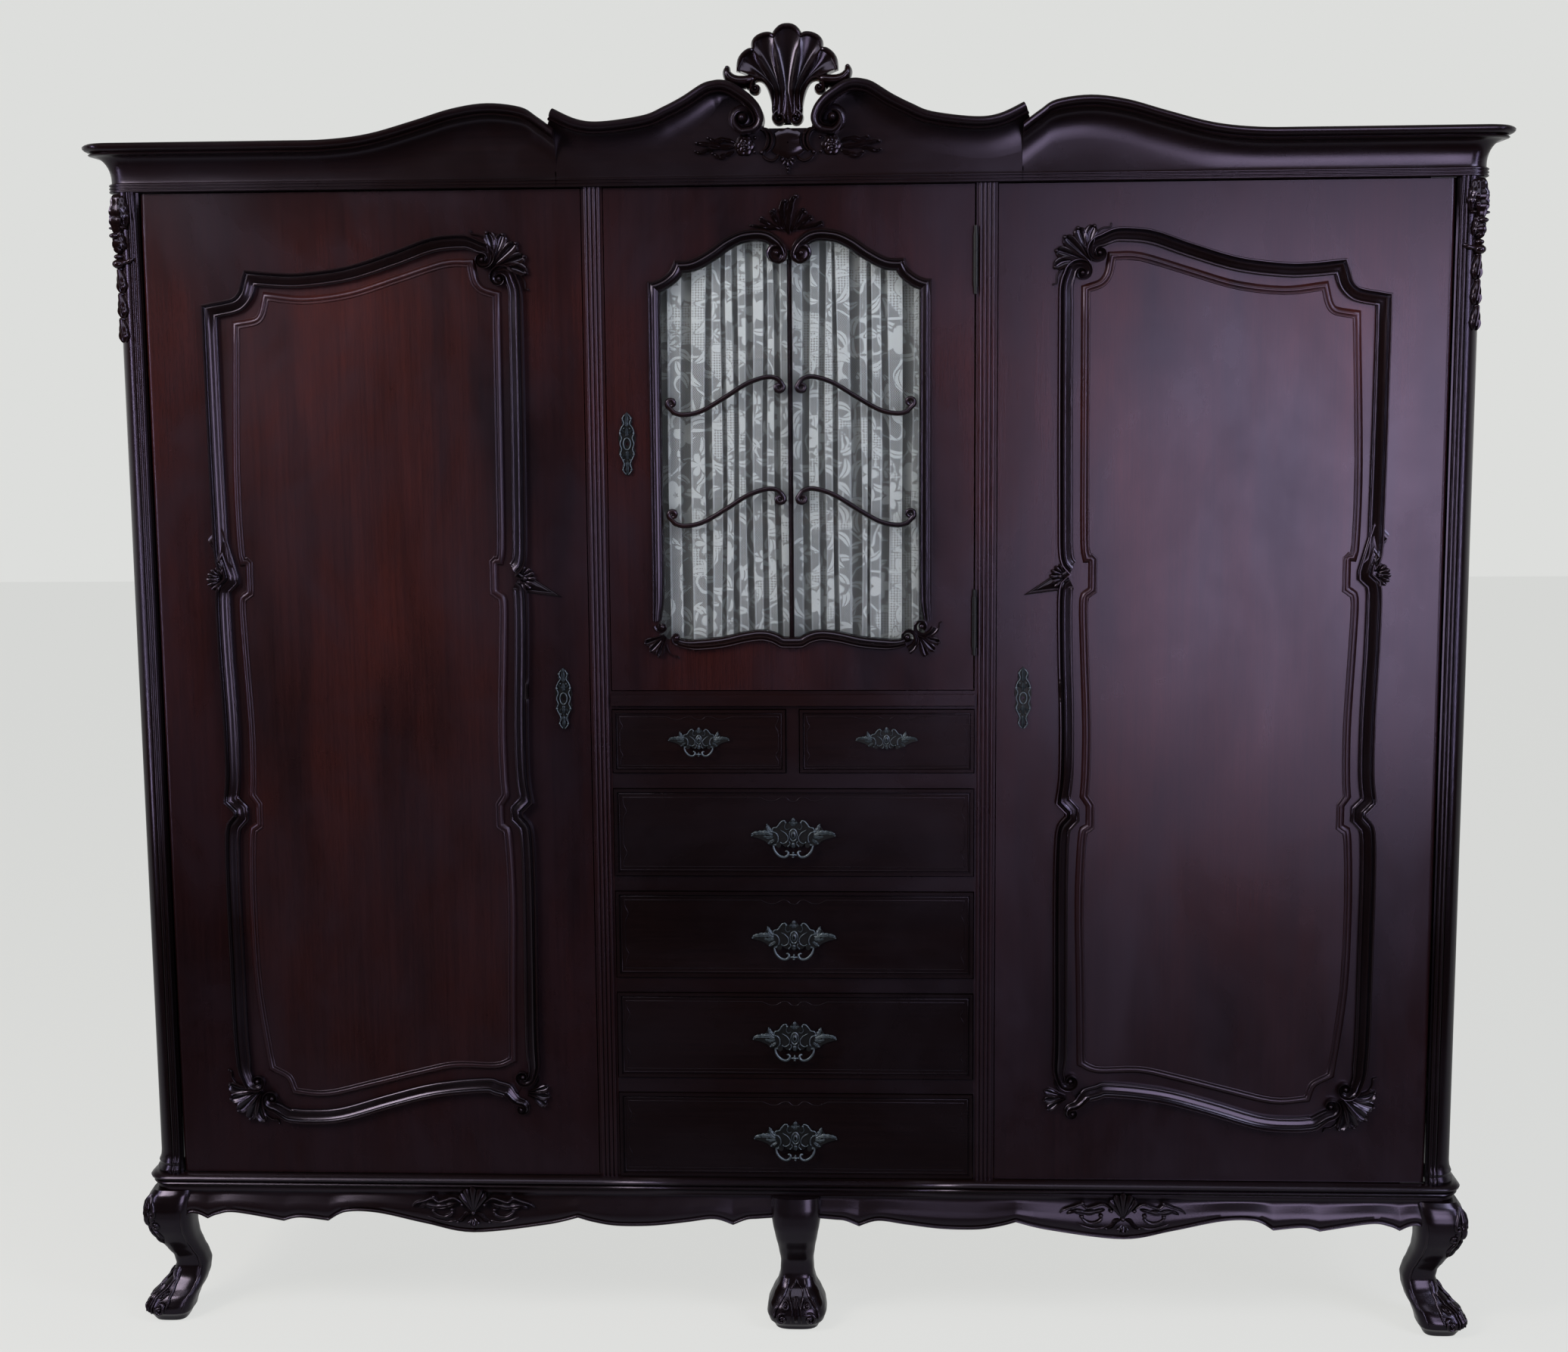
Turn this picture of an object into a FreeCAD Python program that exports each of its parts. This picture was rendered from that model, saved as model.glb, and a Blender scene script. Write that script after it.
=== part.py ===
# A three bay carved wardrobe cupboard: two full height panelled doors, a glazed door above six drawers,
# a serpentine cornice with a pierced shell crest, and a shaped apron on cabriole legs.
# Millimetres. X runs to the right, the front faces minus Y, Z is up from the floor.
# The origin is at the middle of the space the cupboard takes up, on the floor.

import FreeCAD
import Part
import Sketcher
import math
import os
import re

doc = FreeCAD.newDocument("wardrobe")

# Driving dimensions

SIZES = [
    ("overall_depth", 602, "front of the cornice to the back"),
    ("carcass_width", 2200, "outer faces of the two sides"),
    ("post_width", 44, "corner post seen from the front"),
    ("post_radius", 32, "rounded outer corner of a post"),
    ("post_reach", 5, "flat front of a post in front of the doors"),
    ("post_ring", 4, "how far a ring stands out of a post"),
    ("post_base_height", 28, "base ring of a post"),
    ("post_capital_height", 120, "carved head of a post"),
    ("pilaster_width", 34, "flat strip between two bays"),
    ("reed_radius", 2.6, "half round reed on a pilaster"),
    ("reed_count", 4, "reeds on a pilaster"),
    ("reed_margin", 6, "plain edge beside the reeds"),
    ("centre_width", 600, "middle bay between the pilasters"),
    ("stand_height", 262, "floor to the top of the stand"),
    ("opening_height", 1653, "stand to the underside of the cornice"),
    ("door_thickness", 24, "frame of a door"),
    ("door_gap", 1.5, "running gap round doors and drawer fronts"),
    ("front_recess", 6, "space behind a door before the carcass"),
    ("side_thickness", 22, "side board"),
    ("partition_thickness", 20, "upright between two bays"),
    ("top_thickness", 22, "top board"),
    ("back_thickness", 8, "back board"),
    ("shelf_thickness", 18, "shelf"),
    ("hat_shelf_height", 1358, "stand to the underside of the hat shelf"),
    ("rod_drop", 60, "hat shelf to the middle of the hanging rod"),
    ("rod_radius", 12.5, "hanging rod"),
    ("socket_radius", 20, "cup that holds the hanging rod"),
    ("socket_length", 14, "depth of that cup"),
    ("rod_clearance", 0.15, "rod in its cup"),
    ("cupboard_shelf_pitch", 272, "between the shelves of the glazed cupboard"),
    ("cupboard_shelf_count", 2, "loose shelves in the glazed cupboard"),
    ("shelf_setback", 34, "shelf edge behind the carcass front"),
    ("moulding_height", 22, "moulded top frame of the stand"),
    ("moulding_reach", 17, "that frame in front of the doors"),
    ("moulding_depth", 60, "that frame behind the door front"),
    ("apron_height", 68, "front apron at its lowest point"),
    ("apron_thickness", 24, "front apron"),
    ("apron_reach", 14, "bulge of the apron in front of the doors"),
    ("apron_setback", 4, "top of the apron in front of the doors"),
    ("side_apron_height", 50, "side apron and back rail"),
    ("leg_block", 74, "square top of a corner leg"),
    ("leg_block_height", 44, "height of that square top"),
    ("leg_setback", 30, "corner leg axis behind the door front"),
    ("leg_inset", 38, "corner leg axis inside the carcass side"),
    ("centre_block", 84, "width of the square top of the centre leg"),
    ("back_leg_top", 60, "square top of a back leg"),
    ("back_leg_foot", 38, "square foot of a back leg"),
    ("carving_thickness", 9, "applied carving on the apron"),
    ("carving_width", 206, "applied carving on the apron"),
    ("carving_height", 70, "applied carving on the apron"),
    ("carving_offset", 552, "middle of that carving from the centre line"),
    ("cornice_height", 77, "flat wings of the cornice"),
    ("wave_height", 84, "highest wave above the wings"),
    ("centre_rise", 18, "flat middle of the cornice above the wings"),
    ("cornice_projection", 42, "nose of the cornice in front of the doors"),
    ("cornice_inset", 14, "cornice back of the door front line"),
    ("nose_height", 20, "rounded nose of the cornice"),
    ("nose_round", 5, "how much the nose edge is rounded"),
    ("cove_height", 45, "cove below the nose"),
    ("bead_height", 14, "triple bead at the foot of the cornice"),
    ("bead_reach", 10, "that bead in front of the doors"),
    ("fascia_reach", 6, "plain fascia in front of the doors"),
    ("crest_height", 152, "shell crest above the cornice centre"),
    ("crest_half_width", 101, "half the width of the shell crest"),
    ("crest_thickness", 30, "shell crest from front to back"),
    ("spray_half_width", 150, "half the width of the carved leaf sprays"),
    ("spray_height", 76, "cartouche and sprays"),
    ("spray_thickness", 9, "cartouche and sprays, out of the fascia"),
    ("spray_rise", 18, "lowest point of the cartouche above the cornice foot"),
    ("stile_width", 115, "upright of an outer door"),
    ("panel_margin", 121.3, "edge of the door opening to the inner edge of the panel moulding"),
    ("jog_depth", 18, "how far the moulding jogs inwards"),
    ("jog_width", 13, "block that widens a stile where the moulding jogs inwards"),
    ("jog_height", 90, "height of that block"),
    ("panel_foot", 87, "edge of the panel board above the stand"),
    ("panel_top", 70, "edge of the panel board below the cornice"),
    ("panel_lap", 11, "panel board behind the frame, past its opening"),
    ("foot_rail_share", 0.142, "lower rail of an outer door before its opening is cut, of its height"),
    ("head_rail_share", 0.134, "upper rail of an outer door before its opening is cut, of its height"),
    ("panel_back", 10, "board behind the raised panel"),
    ("panel_recess", 5, "ground of the panel behind the frame face"),
    ("field_rise", 5, "raised field above its ground"),
    ("panel_moulding_width", 24, "moulding round a panel"),
    ("panel_moulding_lap", 10, "moulding over the edge of its frame"),
    ("panel_moulding_rise", 5, "flat part of that moulding"),
    ("panel_moulding_crown", 10, "highest reed of that moulding"),
    ("glass_moulding_width", 20, "moulding round the glass"),
    ("glass_moulding_lap", 10, "that moulding over the edge of its frame"),
    ("glass_moulding_rise", 7, "that moulding in front of its frame"),
    ("glass_stile_width", 82, "upright of the glazed door and its gap"),
    ("glass_foot_rise", 70, "edge of the glass above the foot of the opening"),
    ("glass_top_drop", 72, "edge of the glass below the top of the opening"),
    ("glass_thickness", 3, "glass"),
    ("glass_depth", 14, "glass behind the door front"),
    ("glass_lap", 8, "glass behind its frame"),
    ("glass_foot_rail_share", 0.15, "lower rail of the glazed door before its opening is cut, of its height"),
    ("glass_head_rail_share", 0.22, "upper rail of the glazed door before its opening is cut, of its height"),
    ("bar_width", 8, "glazing bar"),
    ("bar_depth", 10, "glazing bar from front to back"),
    ("pivot_inset", 8, "centre pin from the edges of its door"),
    ("pivot_radius", 3.5, "centre pin"),
    ("pivot_length", 12, "centre pin in the door"),
    ("pivot_gap", 2, "gap above and below an outer door"),
    ("pivot_plate_thickness", 1.2, "plate that carries a centre pin"),
    ("pivot_plate_width", 12, "plate that carries a centre pin"),
    ("pivot_plate_length", 40, "plate that carries a centre pin"),
    ("pin_clearance", 0.05, "radial clearance of a turning pin"),
    ("slide_clearance", 0.3, "clearance of a sliding or loose piece"),
    ("hinge_gap", 2.6, "gap at the hinge side of the glazed door"),
    ("hinge_reach", 5, "hinge axis in front of the door"),
    ("knuckle_radius", 4.4, "hinge knuckle"),
    ("hinge_pin_radius", 2, "hinge pin"),
    ("hinge_length", 84, "hinge without its finials"),
    ("finial_length", 12, "finial of a hinge"),
    ("finial_radius", 3.2, "finial of a hinge"),
    ("leaf_thickness", 1.2, "hinge leaf"),
    ("leaf_width", 20, "hinge leaf on the edge of the door"),
    ("hinge_top_drop", 121, "middle of the top hinge below the door top"),
    ("hinge_foot_rise", 113, "middle of the lower hinge above the door foot"),
    ("lock_height", 824, "lock of an outer door above the stand"),
    ("glass_lock_height", 407, "lock of the glazed door above its foot"),
    ("lock_setback", 43.5, "keyhole from the edge of an outer door"),
    ("glass_lock_setback", 32.5, "keyhole from the edge of the glazed door"),
    ("lock_case_length", 58, "lock case"),
    ("lock_case_height", 70, "lock case"),
    ("lock_case_depth", 17, "lock case"),
    ("bolt_length", 42, "lock bolt"),
    ("bolt_height", 20, "lock bolt"),
    ("bolt_thickness", 7, "lock bolt"),
    ("plate_thickness", 2.2, "escutcheons and backplates"),
    ("escutcheon_width", 28, "door escutcheon"),
    ("escutcheon_height", 104, "door escutcheon"),
    ("keyhole_radius", 3, "keyhole"),
    ("large_drawer_height", 149.5, "opening of a wide drawer"),
    ("small_drawer_height", 108, "opening of a small drawer"),
    ("drawer_rail_height", 25, "rail between two drawers"),
    ("rail_depth", 50, "drawer rail from front to back"),
    ("mid_rail_height", 30, "rail below the glazed door"),
    ("mid_bead_reach", 6, "bead on that rail"),
    ("divider_width", 21, "upright between the small drawers"),
    ("runner_width", 26, "drawer runner"),
    ("drawer_front_thickness", 20, "drawer front"),
    ("drawer_side_thickness", 12, "drawer side"),
    ("drawer_bottom_thickness", 8, "drawer bottom"),
    ("drawer_bottom_rise", 6, "drawer bottom above the lower edge of the sides"),
    ("drawer_box_depth", 480, "drawer behind its front"),
    ("drawer_top_room", 12, "drawer side below the top of its opening"),
    ("drawer_side_gap", 1.5, "drawer side inside the edge of its front"),
    ("cock_bead_width", 5, "bead round a drawer front"),
    ("cock_bead_rise", 3, "that bead in front of the drawer"),
    ("backplate_width", 142, "handle plate"),
    ("backplate_height", 53, "handle plate"),
    ("plate_foot", 18, "lowest point of a handle plate below its middle"),
    ("large_handle_drop", 9, "handle below the middle of a wide drawer"),
    ("small_handle_drop", 1, "handle below the middle of a small drawer"),
    ("small_handle_share", 0.72, "handle of a small drawer against a wide one"),
    ("post_spread", 24, "handle post from the middle of its plate"),
    ("post_drop", 10, "handle posts below the middle of the plate"),
    ("handle_post_radius", 4, "handle post"),
    ("handle_post_length", 11.5, "handle post"),
    ("bail_reach", 8.5, "bail pivot in front of its plate"),
    ("bail_spread", 32.5, "end of the bail from its middle"),
    ("bail_drop", 24, "lowest point of the bail below its pivot"),
    ("bail_radius", 2.3, "bail rod"),
    ("bail_pin_radius", 1.8, "bail pivot pin"),
    ("bail_pin_length", 9, "bail pivot pin"),
    ("curtain_top_drop", 78, "upper hem below the top of the door opening"),
    ("curtain_thickness", 1.6, "lace with its gathers"),
    ("curtain_setback", 27, "middle of the curtain behind the door front"),
    ("fold_depth", 4.2, "main folds of the curtain, each way"),
    ("fold_count", 9, "main folds of one width"),
    ("curtain_rod_radius", 3, "curtain rod"),
    ("curtain_gap", 2, "inner edge of the lace from the middle of the door"),
    ("curtain_rod_inset", 8, "curtain rod from the hem"),
    ("rod_eye_width", 8, "eye that holds a curtain rod"),
    ("rod_eye_height", 11, "eye that holds a curtain rod"),
    ("curtain_foot_rise", 76, "lower hem above the foot of the door opening"),
    ("overrun", 4, "how far a cut runs past what it cuts"),
]

sheet = doc.addObject("Spreadsheet::Sheet", "Sizes")
for row, (alias, value, meaning) in enumerate(SIZES, start=1):
    sheet.set("A" + str(row), meaning)
    sheet.set("B" + str(row), str(value))
    sheet.setAlias("B" + str(row), alias)
doc.recompute()

# Places worked out from the driving dimensions

PLACES = [
    ("face", "cornice_projection - overall_depth / 2"),
    ("back", "overall_depth / 2"),
    ("half_width", "carcass_width / 2"),
    ("carcass_front", "face + door_thickness + front_recess"),
    ("bay_back", "back - back_thickness"),
    ("inner_side", "half_width - side_thickness"),
    ("door_outer", "half_width - post_width"),
    ("bay_half", "centre_width / 2"),
    ("door_inner", "bay_half + pilaster_width"),
    ("door_opening", "door_outer - door_inner"),
    ("door_centre", "(door_outer + door_inner) / 2"),
    ("cornice_foot", "stand_height + opening_height"),
    ("partition_middle", "bay_half + pilaster_width / 2"),
    ("partition_inner", "partition_middle - partition_thickness / 2"),
    ("partition_outer", "partition_middle + partition_thickness / 2"),
    ("small_foot", "stand_height + 4 * large_drawer_height + 4 * drawer_rail_height"),
    ("small_top", "small_foot + small_drawer_height"),
    ("glass_foot", "small_top + mid_rail_height"),
    ("glass_height", "cornice_foot - glass_foot"),
    ("glass_half", "bay_half - glass_stile_width"),
    ("glass_sight", "glass_half - (glass_moulding_width - glass_moulding_lap)"),
    ("panel_sight", "door_opening / 2 - panel_margin"),
    ("panel_edge", "panel_sight + panel_moulding_width - panel_moulding_lap + panel_lap"),
    ("moulding_foot", "stand_height - moulding_height"),
    ("cornice_back", "face + cornice_inset"),
    ("cornice_inner", "half_width - cornice_inset"),
    ("wing_top", "cornice_foot + cornice_height"),
    ("centre_top", "wing_top + centre_rise"),
    ("spray_foot", "cornice_foot + spray_rise"),
    ("pivot_x", "door_outer - door_gap - pivot_inset"),
    ("pivot_y", "face + pivot_inset"),
    ("door_foot", "stand_height + pivot_gap"),
    ("door_top", "cornice_foot - pivot_gap"),
    ("hinge_x", "bay_half - hinge_gap / 2"),
    ("hinge_y", "face - hinge_reach"),
    ("lock_z", "stand_height + lock_height"),
    ("glass_lock_z", "glass_foot + glass_lock_height"),
    ("keyhole_x", "door_inner + door_gap + lock_setback"),
    ("glass_keyhole_x", "door_gap + glass_lock_setback - bay_half"),
    ("door_back", "face + door_thickness"),
    ("leg_x", "half_width - leg_inset"),
    ("leg_y", "face + leg_setback"),
    ("curtain_y", "face + curtain_setback"),
    ("curtain_foot", "glass_foot + curtain_foot_rise"),
    ("curtain_width", "glass_half - curtain_gap - curtain_thickness"),
    ("curtain_drop", "glass_height - curtain_foot_rise - curtain_top_drop"),
    ("curtain_rod_y", "curtain_y + fold_depth + curtain_thickness / 2 + slide_clearance + curtain_rod_radius"),
    ("hat_shelf", "stand_height + hat_shelf_height"),
    ("rod_z", "hat_shelf - rod_drop"),
    ("rod_y", "(carcass_front + bay_back) / 2"),
    ("bolt_y", "door_back + lock_case_depth - bolt_thickness - 3 * slide_clearance - plate_thickness"),
]

aliases = [row[0] for row in SIZES]
places = doc.addObject("App::VarSet", "Places")
place_names = []


def bound(text):
    # Write a sum of named sizes as an expression that the document can follow.
    def owner(match):
        word = match.group(0)
        if word in aliases:
            return "Sizes." + word
        if word in place_names:
            return "Places." + word
        return word
    return re.sub(r"[a-z][a-z_]*[a-z]", owner, text)


for place_name, rule in PLACES:
    places.addProperty("App::PropertyFloat", place_name)
    places.setExpression(place_name, bound(rule))
    place_names.append(place_name)
    doc.recompute()


def size(alias):
    return float(sheet.get(alias))


def place(name):
    return float(getattr(places, name))


# Small helpers that make bound objects

def bind(item, **rules):
    for key, rule in rules.items():
        item.setExpression(key.replace("__", "."), bound(rule))
    return item


def put(item, x, y, z):
    return bind(item, Placement__Base__x=x, Placement__Base__y=y, Placement__Base__z=z)


def board(name, x, y, z, length, width, height):
    # A squared board from its lowest corner, each size and place a bound rule.
    item = doc.addObject("Part::Box", name)
    bind(item, Length=length, Width=width, Height=height)
    return put(item, x, y, z)


def rod(name, x, y, z, radius, length, axis):
    # A round rod that starts at a point and runs along X, Y or Z.
    item = doc.addObject("Part::Cylinder", name)
    bind(item, Radius=radius, Height=length)
    turns = {
        "x": FreeCAD.Rotation(FreeCAD.Vector(0, 1, 0), 90),
        "y": FreeCAD.Rotation(FreeCAD.Vector(1, 0, 0), -90),
        "z": FreeCAD.Rotation(),
    }
    item.Placement = FreeCAD.Placement(FreeCAD.Vector(), turns[axis])
    return put(item, x, y, z)


def shape_of(name, shape):
    item = doc.addObject("Part::Feature", name)
    item.Shape = shape
    return item


def thick(name, outline, y, depth):
    # A closed outline in the X and Z plane, at a depth rule, pushed back by a thickness rule.
    corners = [FreeCAD.Vector(x, 0, z) for x, z in outline]
    wire = Part.makePolygon(corners + corners[:1])
    face_item = shape_of(name + "_outline", Part.Face(wire))
    item = doc.addObject("Part::Extrusion", name)
    item.Base = face_item
    item.DirMode = "Custom"
    item.Dir = FreeCAD.Vector(0, 1, 0)
    item.Solid = True
    bind(item, LengthFwd=depth, Placement__Base__y=y)
    return item


def cut(name, base, tool):
    item = doc.addObject("Part::Cut", name)
    item.Base = base
    item.Tool = tool
    return item


def joined(name, pieces):
    item = doc.addObject("Part::MultiFuse", name)
    item.Shapes = pieces
    return item


def group(name, pieces):
    # Separate solids that share one node.
    item = doc.addObject("Part::Compound", name)
    item.Links = pieces
    return item


def mirrored(name, item):
    twin = doc.addObject("Part::Mirroring", name)
    twin.Source = item
    twin.Normal = FreeCAD.Vector(1, 0, 0)
    return twin


nodes = []


def node(name, item):
    item.Label = name
    nodes.append(item)
    return item


# Curves that the outlines share

def smooth(points, steps):
    # A curve through the points, by the rule of Catmull and Rom. Two points stay a straight line.
    if len(points) == 2:
        return [points[0]]
    padded = [points[0]] + list(points) + [points[-1]]
    curve = []
    for a, b, c, d in zip(padded, padded[1:], padded[2:], padded[3:]):
        for step in range(steps):
            t = step / steps
            curve.append(tuple(
                (2 * q + (r - p) * t + (2 * p - 5 * q + 4 * r - s) * t * t
                 + (3 * q - p - 3 * r + s) * t * t * t) / 2
                for p, q, r, s in zip(a, b, c, d)))
    return curve


def traced(runs, steps):
    # Runs of points joined end to end: smooth inside a run, with a corner between two runs.
    points = []
    for run in runs:
        points += smooth(run, steps)
    return points


def placed(points, centre, width, foot, height, side):
    # Shares of a width and a height, set out from a centre line and a foot.
    return [(centre + side * x * width, foot + z * height) for x, z in points]


def both_halves(shares):
    # A right half, listed from the middle round to the middle, and its mirror image.
    return shares + [(-x, z) for x, z in shares[::-1] if x > 0]


def nearest(point, outline):
    # The least distance from a point to a closed outline.
    best = math.inf
    for a, b in zip(outline, outline[1:] + outline[:1]):
        run = (b[0] - a[0], b[1] - a[1])
        reach = (point[0] - a[0], point[1] - a[1])
        share = (reach[0] * run[0] + reach[1] * run[1]) / (run[0] * run[0] + run[1] * run[1])
        share = min(max(share, 0), 1)
        best = min(best, math.hypot(reach[0] - share * run[0], reach[1] - share * run[1]))
    return best


near_share = 0.99


def spread(points, distance):
    # The closed outline moved outwards with mitred corners, less the loops that tight bends leave.
    area = sum(a[0] * b[1] - b[0] * a[1] for a, b in zip(points, points[1:] + points[:1]))
    turn = 1 if area > 0 else -1
    moved = []
    for before, here, after in zip(points[-1:] + points[:-1], points, points[1:] + points[:1]):
        way_in = math.atan2(here[1] - before[1], here[0] - before[0])
        way_out = math.atan2(after[1] - here[1], after[0] - here[0])
        half = math.remainder(way_out - way_in, 2 * math.pi) / 2
        normal = way_in + half - turn * math.pi / 2
        reach = distance / math.cos(half)
        moved.append((here[0] + reach * math.cos(normal), here[1] + reach * math.sin(normal)))
    return uncrossed([point for point in moved if nearest(point, points) > abs(distance) * near_share])


def crossing(a, b, c, d):
    # Where the line from a to b crosses the line from c to d, if it does.
    run = (b[0] - a[0], b[1] - a[1])
    other = (d[0] - c[0], d[1] - c[1])
    turn = run[0] * other[1] - run[1] * other[0]
    if not turn:
        return None
    gap = (c[0] - a[0], c[1] - a[1])
    here = (gap[0] * other[1] - gap[1] * other[0]) / turn
    there = (gap[0] * run[1] - gap[1] * run[0]) / turn
    if 0 <= here <= 1 and 0 <= there <= 1:
        return (a[0] + here * run[0], a[1] + here * run[1])
    return None


loop_reach = 12


def uncrossed(points):
    # The closed outline with its small loops cut off where they cross.
    kept = []
    i = 0
    while i < len(points):
        kept.append(points[i])
        step = 1
        for j in range(min(len(points) - 2, i + loop_reach), i + 1, -1):
            if j + 1 < len(points) and points[i] != points[j]:
                meeting = crossing(points[i], points[i + 1], points[j], points[j + 1])
                if meeting:
                    kept.append(meeting)
                    step = j + 1 - i
                    break
        i += step
    return kept


def ring(name, outline, inner, outer, y, depth):
    # A flat ring between two spreads of one outline.
    whole = thick(name + "_whole", spread(outline, outer), y, depth)
    hole = thick(name + "_hole", spread(outline, inner) if inner else outline,
                 y + " - overrun", depth + " + 2 * overrun")
    return cut(name, whole, hole)


def strip(path, width):
    # The outline of a strip of constant width along an open path.
    left = []
    right = []
    for i, here in enumerate(path):
        before = path[max(i - 1, 0)]
        after = path[min(i + 1, len(path) - 1)]
        angle = math.atan2(after[1] - before[1], after[0] - before[0]) + math.pi / 2
        step = (width / 2 * math.cos(angle), width / 2 * math.sin(angle))
        left.append((here[0] + step[0], here[1] + step[1]))
        right.append((here[0] - step[0], here[1] - step[1]))
    return left + right[::-1]


curve_steps = 2

# Carcass: boards behind the fronts


def carcass():
    node("bottom_board", board(
        "bottom_board", "-(half_width - moulding_depth)", "face + moulding_depth", "moulding_foot",
        "2 * (half_width - moulding_depth)", "back - face - moulding_depth", "moulding_height"))
    node("top_board", board(
        "top_board", "-cornice_inner", "cornice_back", "cornice_foot",
        "2 * cornice_inner", "back - cornice_back", "top_thickness"))
    side = board("side_board", "inner_side", "carcass_front", "stand_height",
                 "side_thickness", "back - carcass_front", "opening_height")
    node("carcass_sides", group("carcass_sides", [side, mirrored("side_twin", side)]))
    part = board("partition", "partition_inner", "carcass_front", "stand_height",
                 "partition_thickness", "bay_back - carcass_front", "opening_height")
    node("partitions", group("partitions", [part, mirrored("partition_twin", part)]))
    middle = board("back_middle", "-partition_middle", "bay_back", "stand_height",
                   "2 * partition_middle", "back_thickness", "opening_height")
    outer = board("back_outer", "partition_middle", "bay_back", "stand_height",
                  "inner_side - partition_middle", "back_thickness", "opening_height")
    node("back_boards", group("back_boards", [middle, outer, mirrored("back_twin", outer)]))


def post_plan(grow):
    # Plan of a corner post with its rounded outer corner, grown for the rings.
    reach = size("post_ring") * grow
    inner = place("door_outer")
    outer = place("half_width") + reach
    front = place("face") - size("post_reach") - reach
    rear = place("carcass_front")
    radius = size("post_radius")
    middle = radius * (1 - math.sqrt(1 / 2))
    corner = Part.Arc(
        FreeCAD.Vector(outer, front + radius, 0),
        FreeCAD.Vector(outer - middle, front + middle, 0),
        FreeCAD.Vector(outer - radius, front, 0)).toShape()
    corners = [(outer - radius, front), (inner, front), (inner, rear), (outer, rear), (outer, front + radius)]
    points = [FreeCAD.Vector(x, y, 0) for x, y in corners]
    sides = [Part.makeLine(a, b) for a, b in zip(points, points[1:])]
    return Part.Face(Part.Wire([corner] + sides))


def upright(name, plan, z, height):
    # A plan pushed up from a height.
    item = doc.addObject("Part::Extrusion", name)
    item.Base = shape_of(name + "_plan", plan)
    item.DirMode = "Custom"
    item.Dir = FreeCAD.Vector(0, 0, 1)
    item.Solid = True
    return bind(item, LengthFwd=height, Placement__Base__z=z)


def corner_posts():
    shaft = upright("post_shaft", post_plan(0), "stand_height", "opening_height")
    base = upright("post_base", post_plan(1), "stand_height", "post_base_height")
    head = upright("post_head", post_plan(1), "cornice_foot - post_capital_height", "post_capital_height")
    post = joined("post", [shaft, base, head])
    node("corner_posts", group("corner_posts", [post, mirrored("post_twin", post)]))


def pilasters():
    pieces = [board("pilaster_strip", "bay_half", "face", "stand_height",
                    "pilaster_width", "carcass_front - face", "opening_height")]
    pitch = "(pilaster_width - 2 * reed_margin) / reed_count"
    for count in range(int(size("reed_count"))):
        x = "bay_half + reed_margin + " + pitch + " * (" + str(2 * count + 1) + " / 2)"
        pieces.append(rod("reed_" + str(count), x, "face", "stand_height", "reed_radius", "opening_height", "z"))
    pilaster = joined("pilaster", pieces)
    node("pilasters", group("pilasters", [pilaster, mirrored("pilaster_twin", pilaster)]))


# Drawer openings from the floor up: name, column from left to right, rules for the foot and the height

def drawer_openings():
    openings = []
    foot = "stand_height"
    for count in range(4, 0, -1):
        openings.append(("drawer_" + str(count), 0, foot, "large_drawer_height"))
        foot += " + large_drawer_height + drawer_rail_height"
    openings.append(("drawer_small_left", -1, foot, "small_drawer_height"))
    openings.append(("drawer_small_right", 1, foot, "small_drawer_height"))
    return openings


def drawer_rails():
    rails = []
    for name, column, foot, height in drawer_openings()[1:5]:
        rails.append(board(name + "_rail", "-bay_half", "face", foot + " - drawer_rail_height",
                           "centre_width", "rail_depth", "drawer_rail_height"))
    middle = board("rail_middle", "-bay_half", "face", "small_top",
                   "centre_width", "rail_depth", "mid_rail_height")
    bead = board("rail_bead", "-bay_half", "face - mid_bead_reach", "small_top + mid_bead_reach",
                 "centre_width", "mid_bead_reach", "mid_rail_height - 2 * mid_bead_reach")
    rails.append(joined("rail_beaded", [middle, bead]))
    rails.append(board("divider", "-divider_width / 2", "face", "small_foot",
                       "divider_width", "bay_back - face", "small_drawer_height"))
    node("drawer_rails", group("drawer_rails", rails))


def drawer_runners():
    runners = []
    for name, column, foot, height in drawer_openings()[1:5]:
        runner = board(name + "_runner", "partition_inner - runner_width", "face + rail_depth",
                       foot + " - drawer_rail_height",
                       "runner_width", "bay_back - face - rail_depth", "drawer_rail_height")
        runners += [runner, mirrored(name + "_runner_twin", runner)]
    runners.append(board("runner_centre", "-divider_width", "face + rail_depth",
                         "small_foot - drawer_rail_height", "2 * divider_width",
                         "bay_back - face - rail_depth", "drawer_rail_height"))
    node("drawer_runners", group("drawer_runners", runners))


def shelves():
    boards = [board("cupboard_floor", "-partition_inner", "face + rail_depth",
                    "glass_foot - shelf_thickness",
                    "2 * partition_inner", "bay_back - face - rail_depth", "shelf_thickness")]
    front = "carcass_front + shelf_setback"
    for count in range(1, int(size("cupboard_shelf_count")) + 1):
        z = "glass_foot + cupboard_shelf_pitch * " + str(count)
        boards.append(board("cupboard_shelf_" + str(count), "-partition_inner", front, z,
                            "2 * partition_inner", "bay_back - (" + front + ")", "shelf_thickness"))
    hat = board("hat_shelf_board", "partition_outer", front, "hat_shelf",
                "inner_side - partition_outer", "bay_back - (" + front + ")", "shelf_thickness")
    boards += [hat, mirrored("hat_twin", hat)]
    node("shelves", group("shelves", boards))


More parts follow.
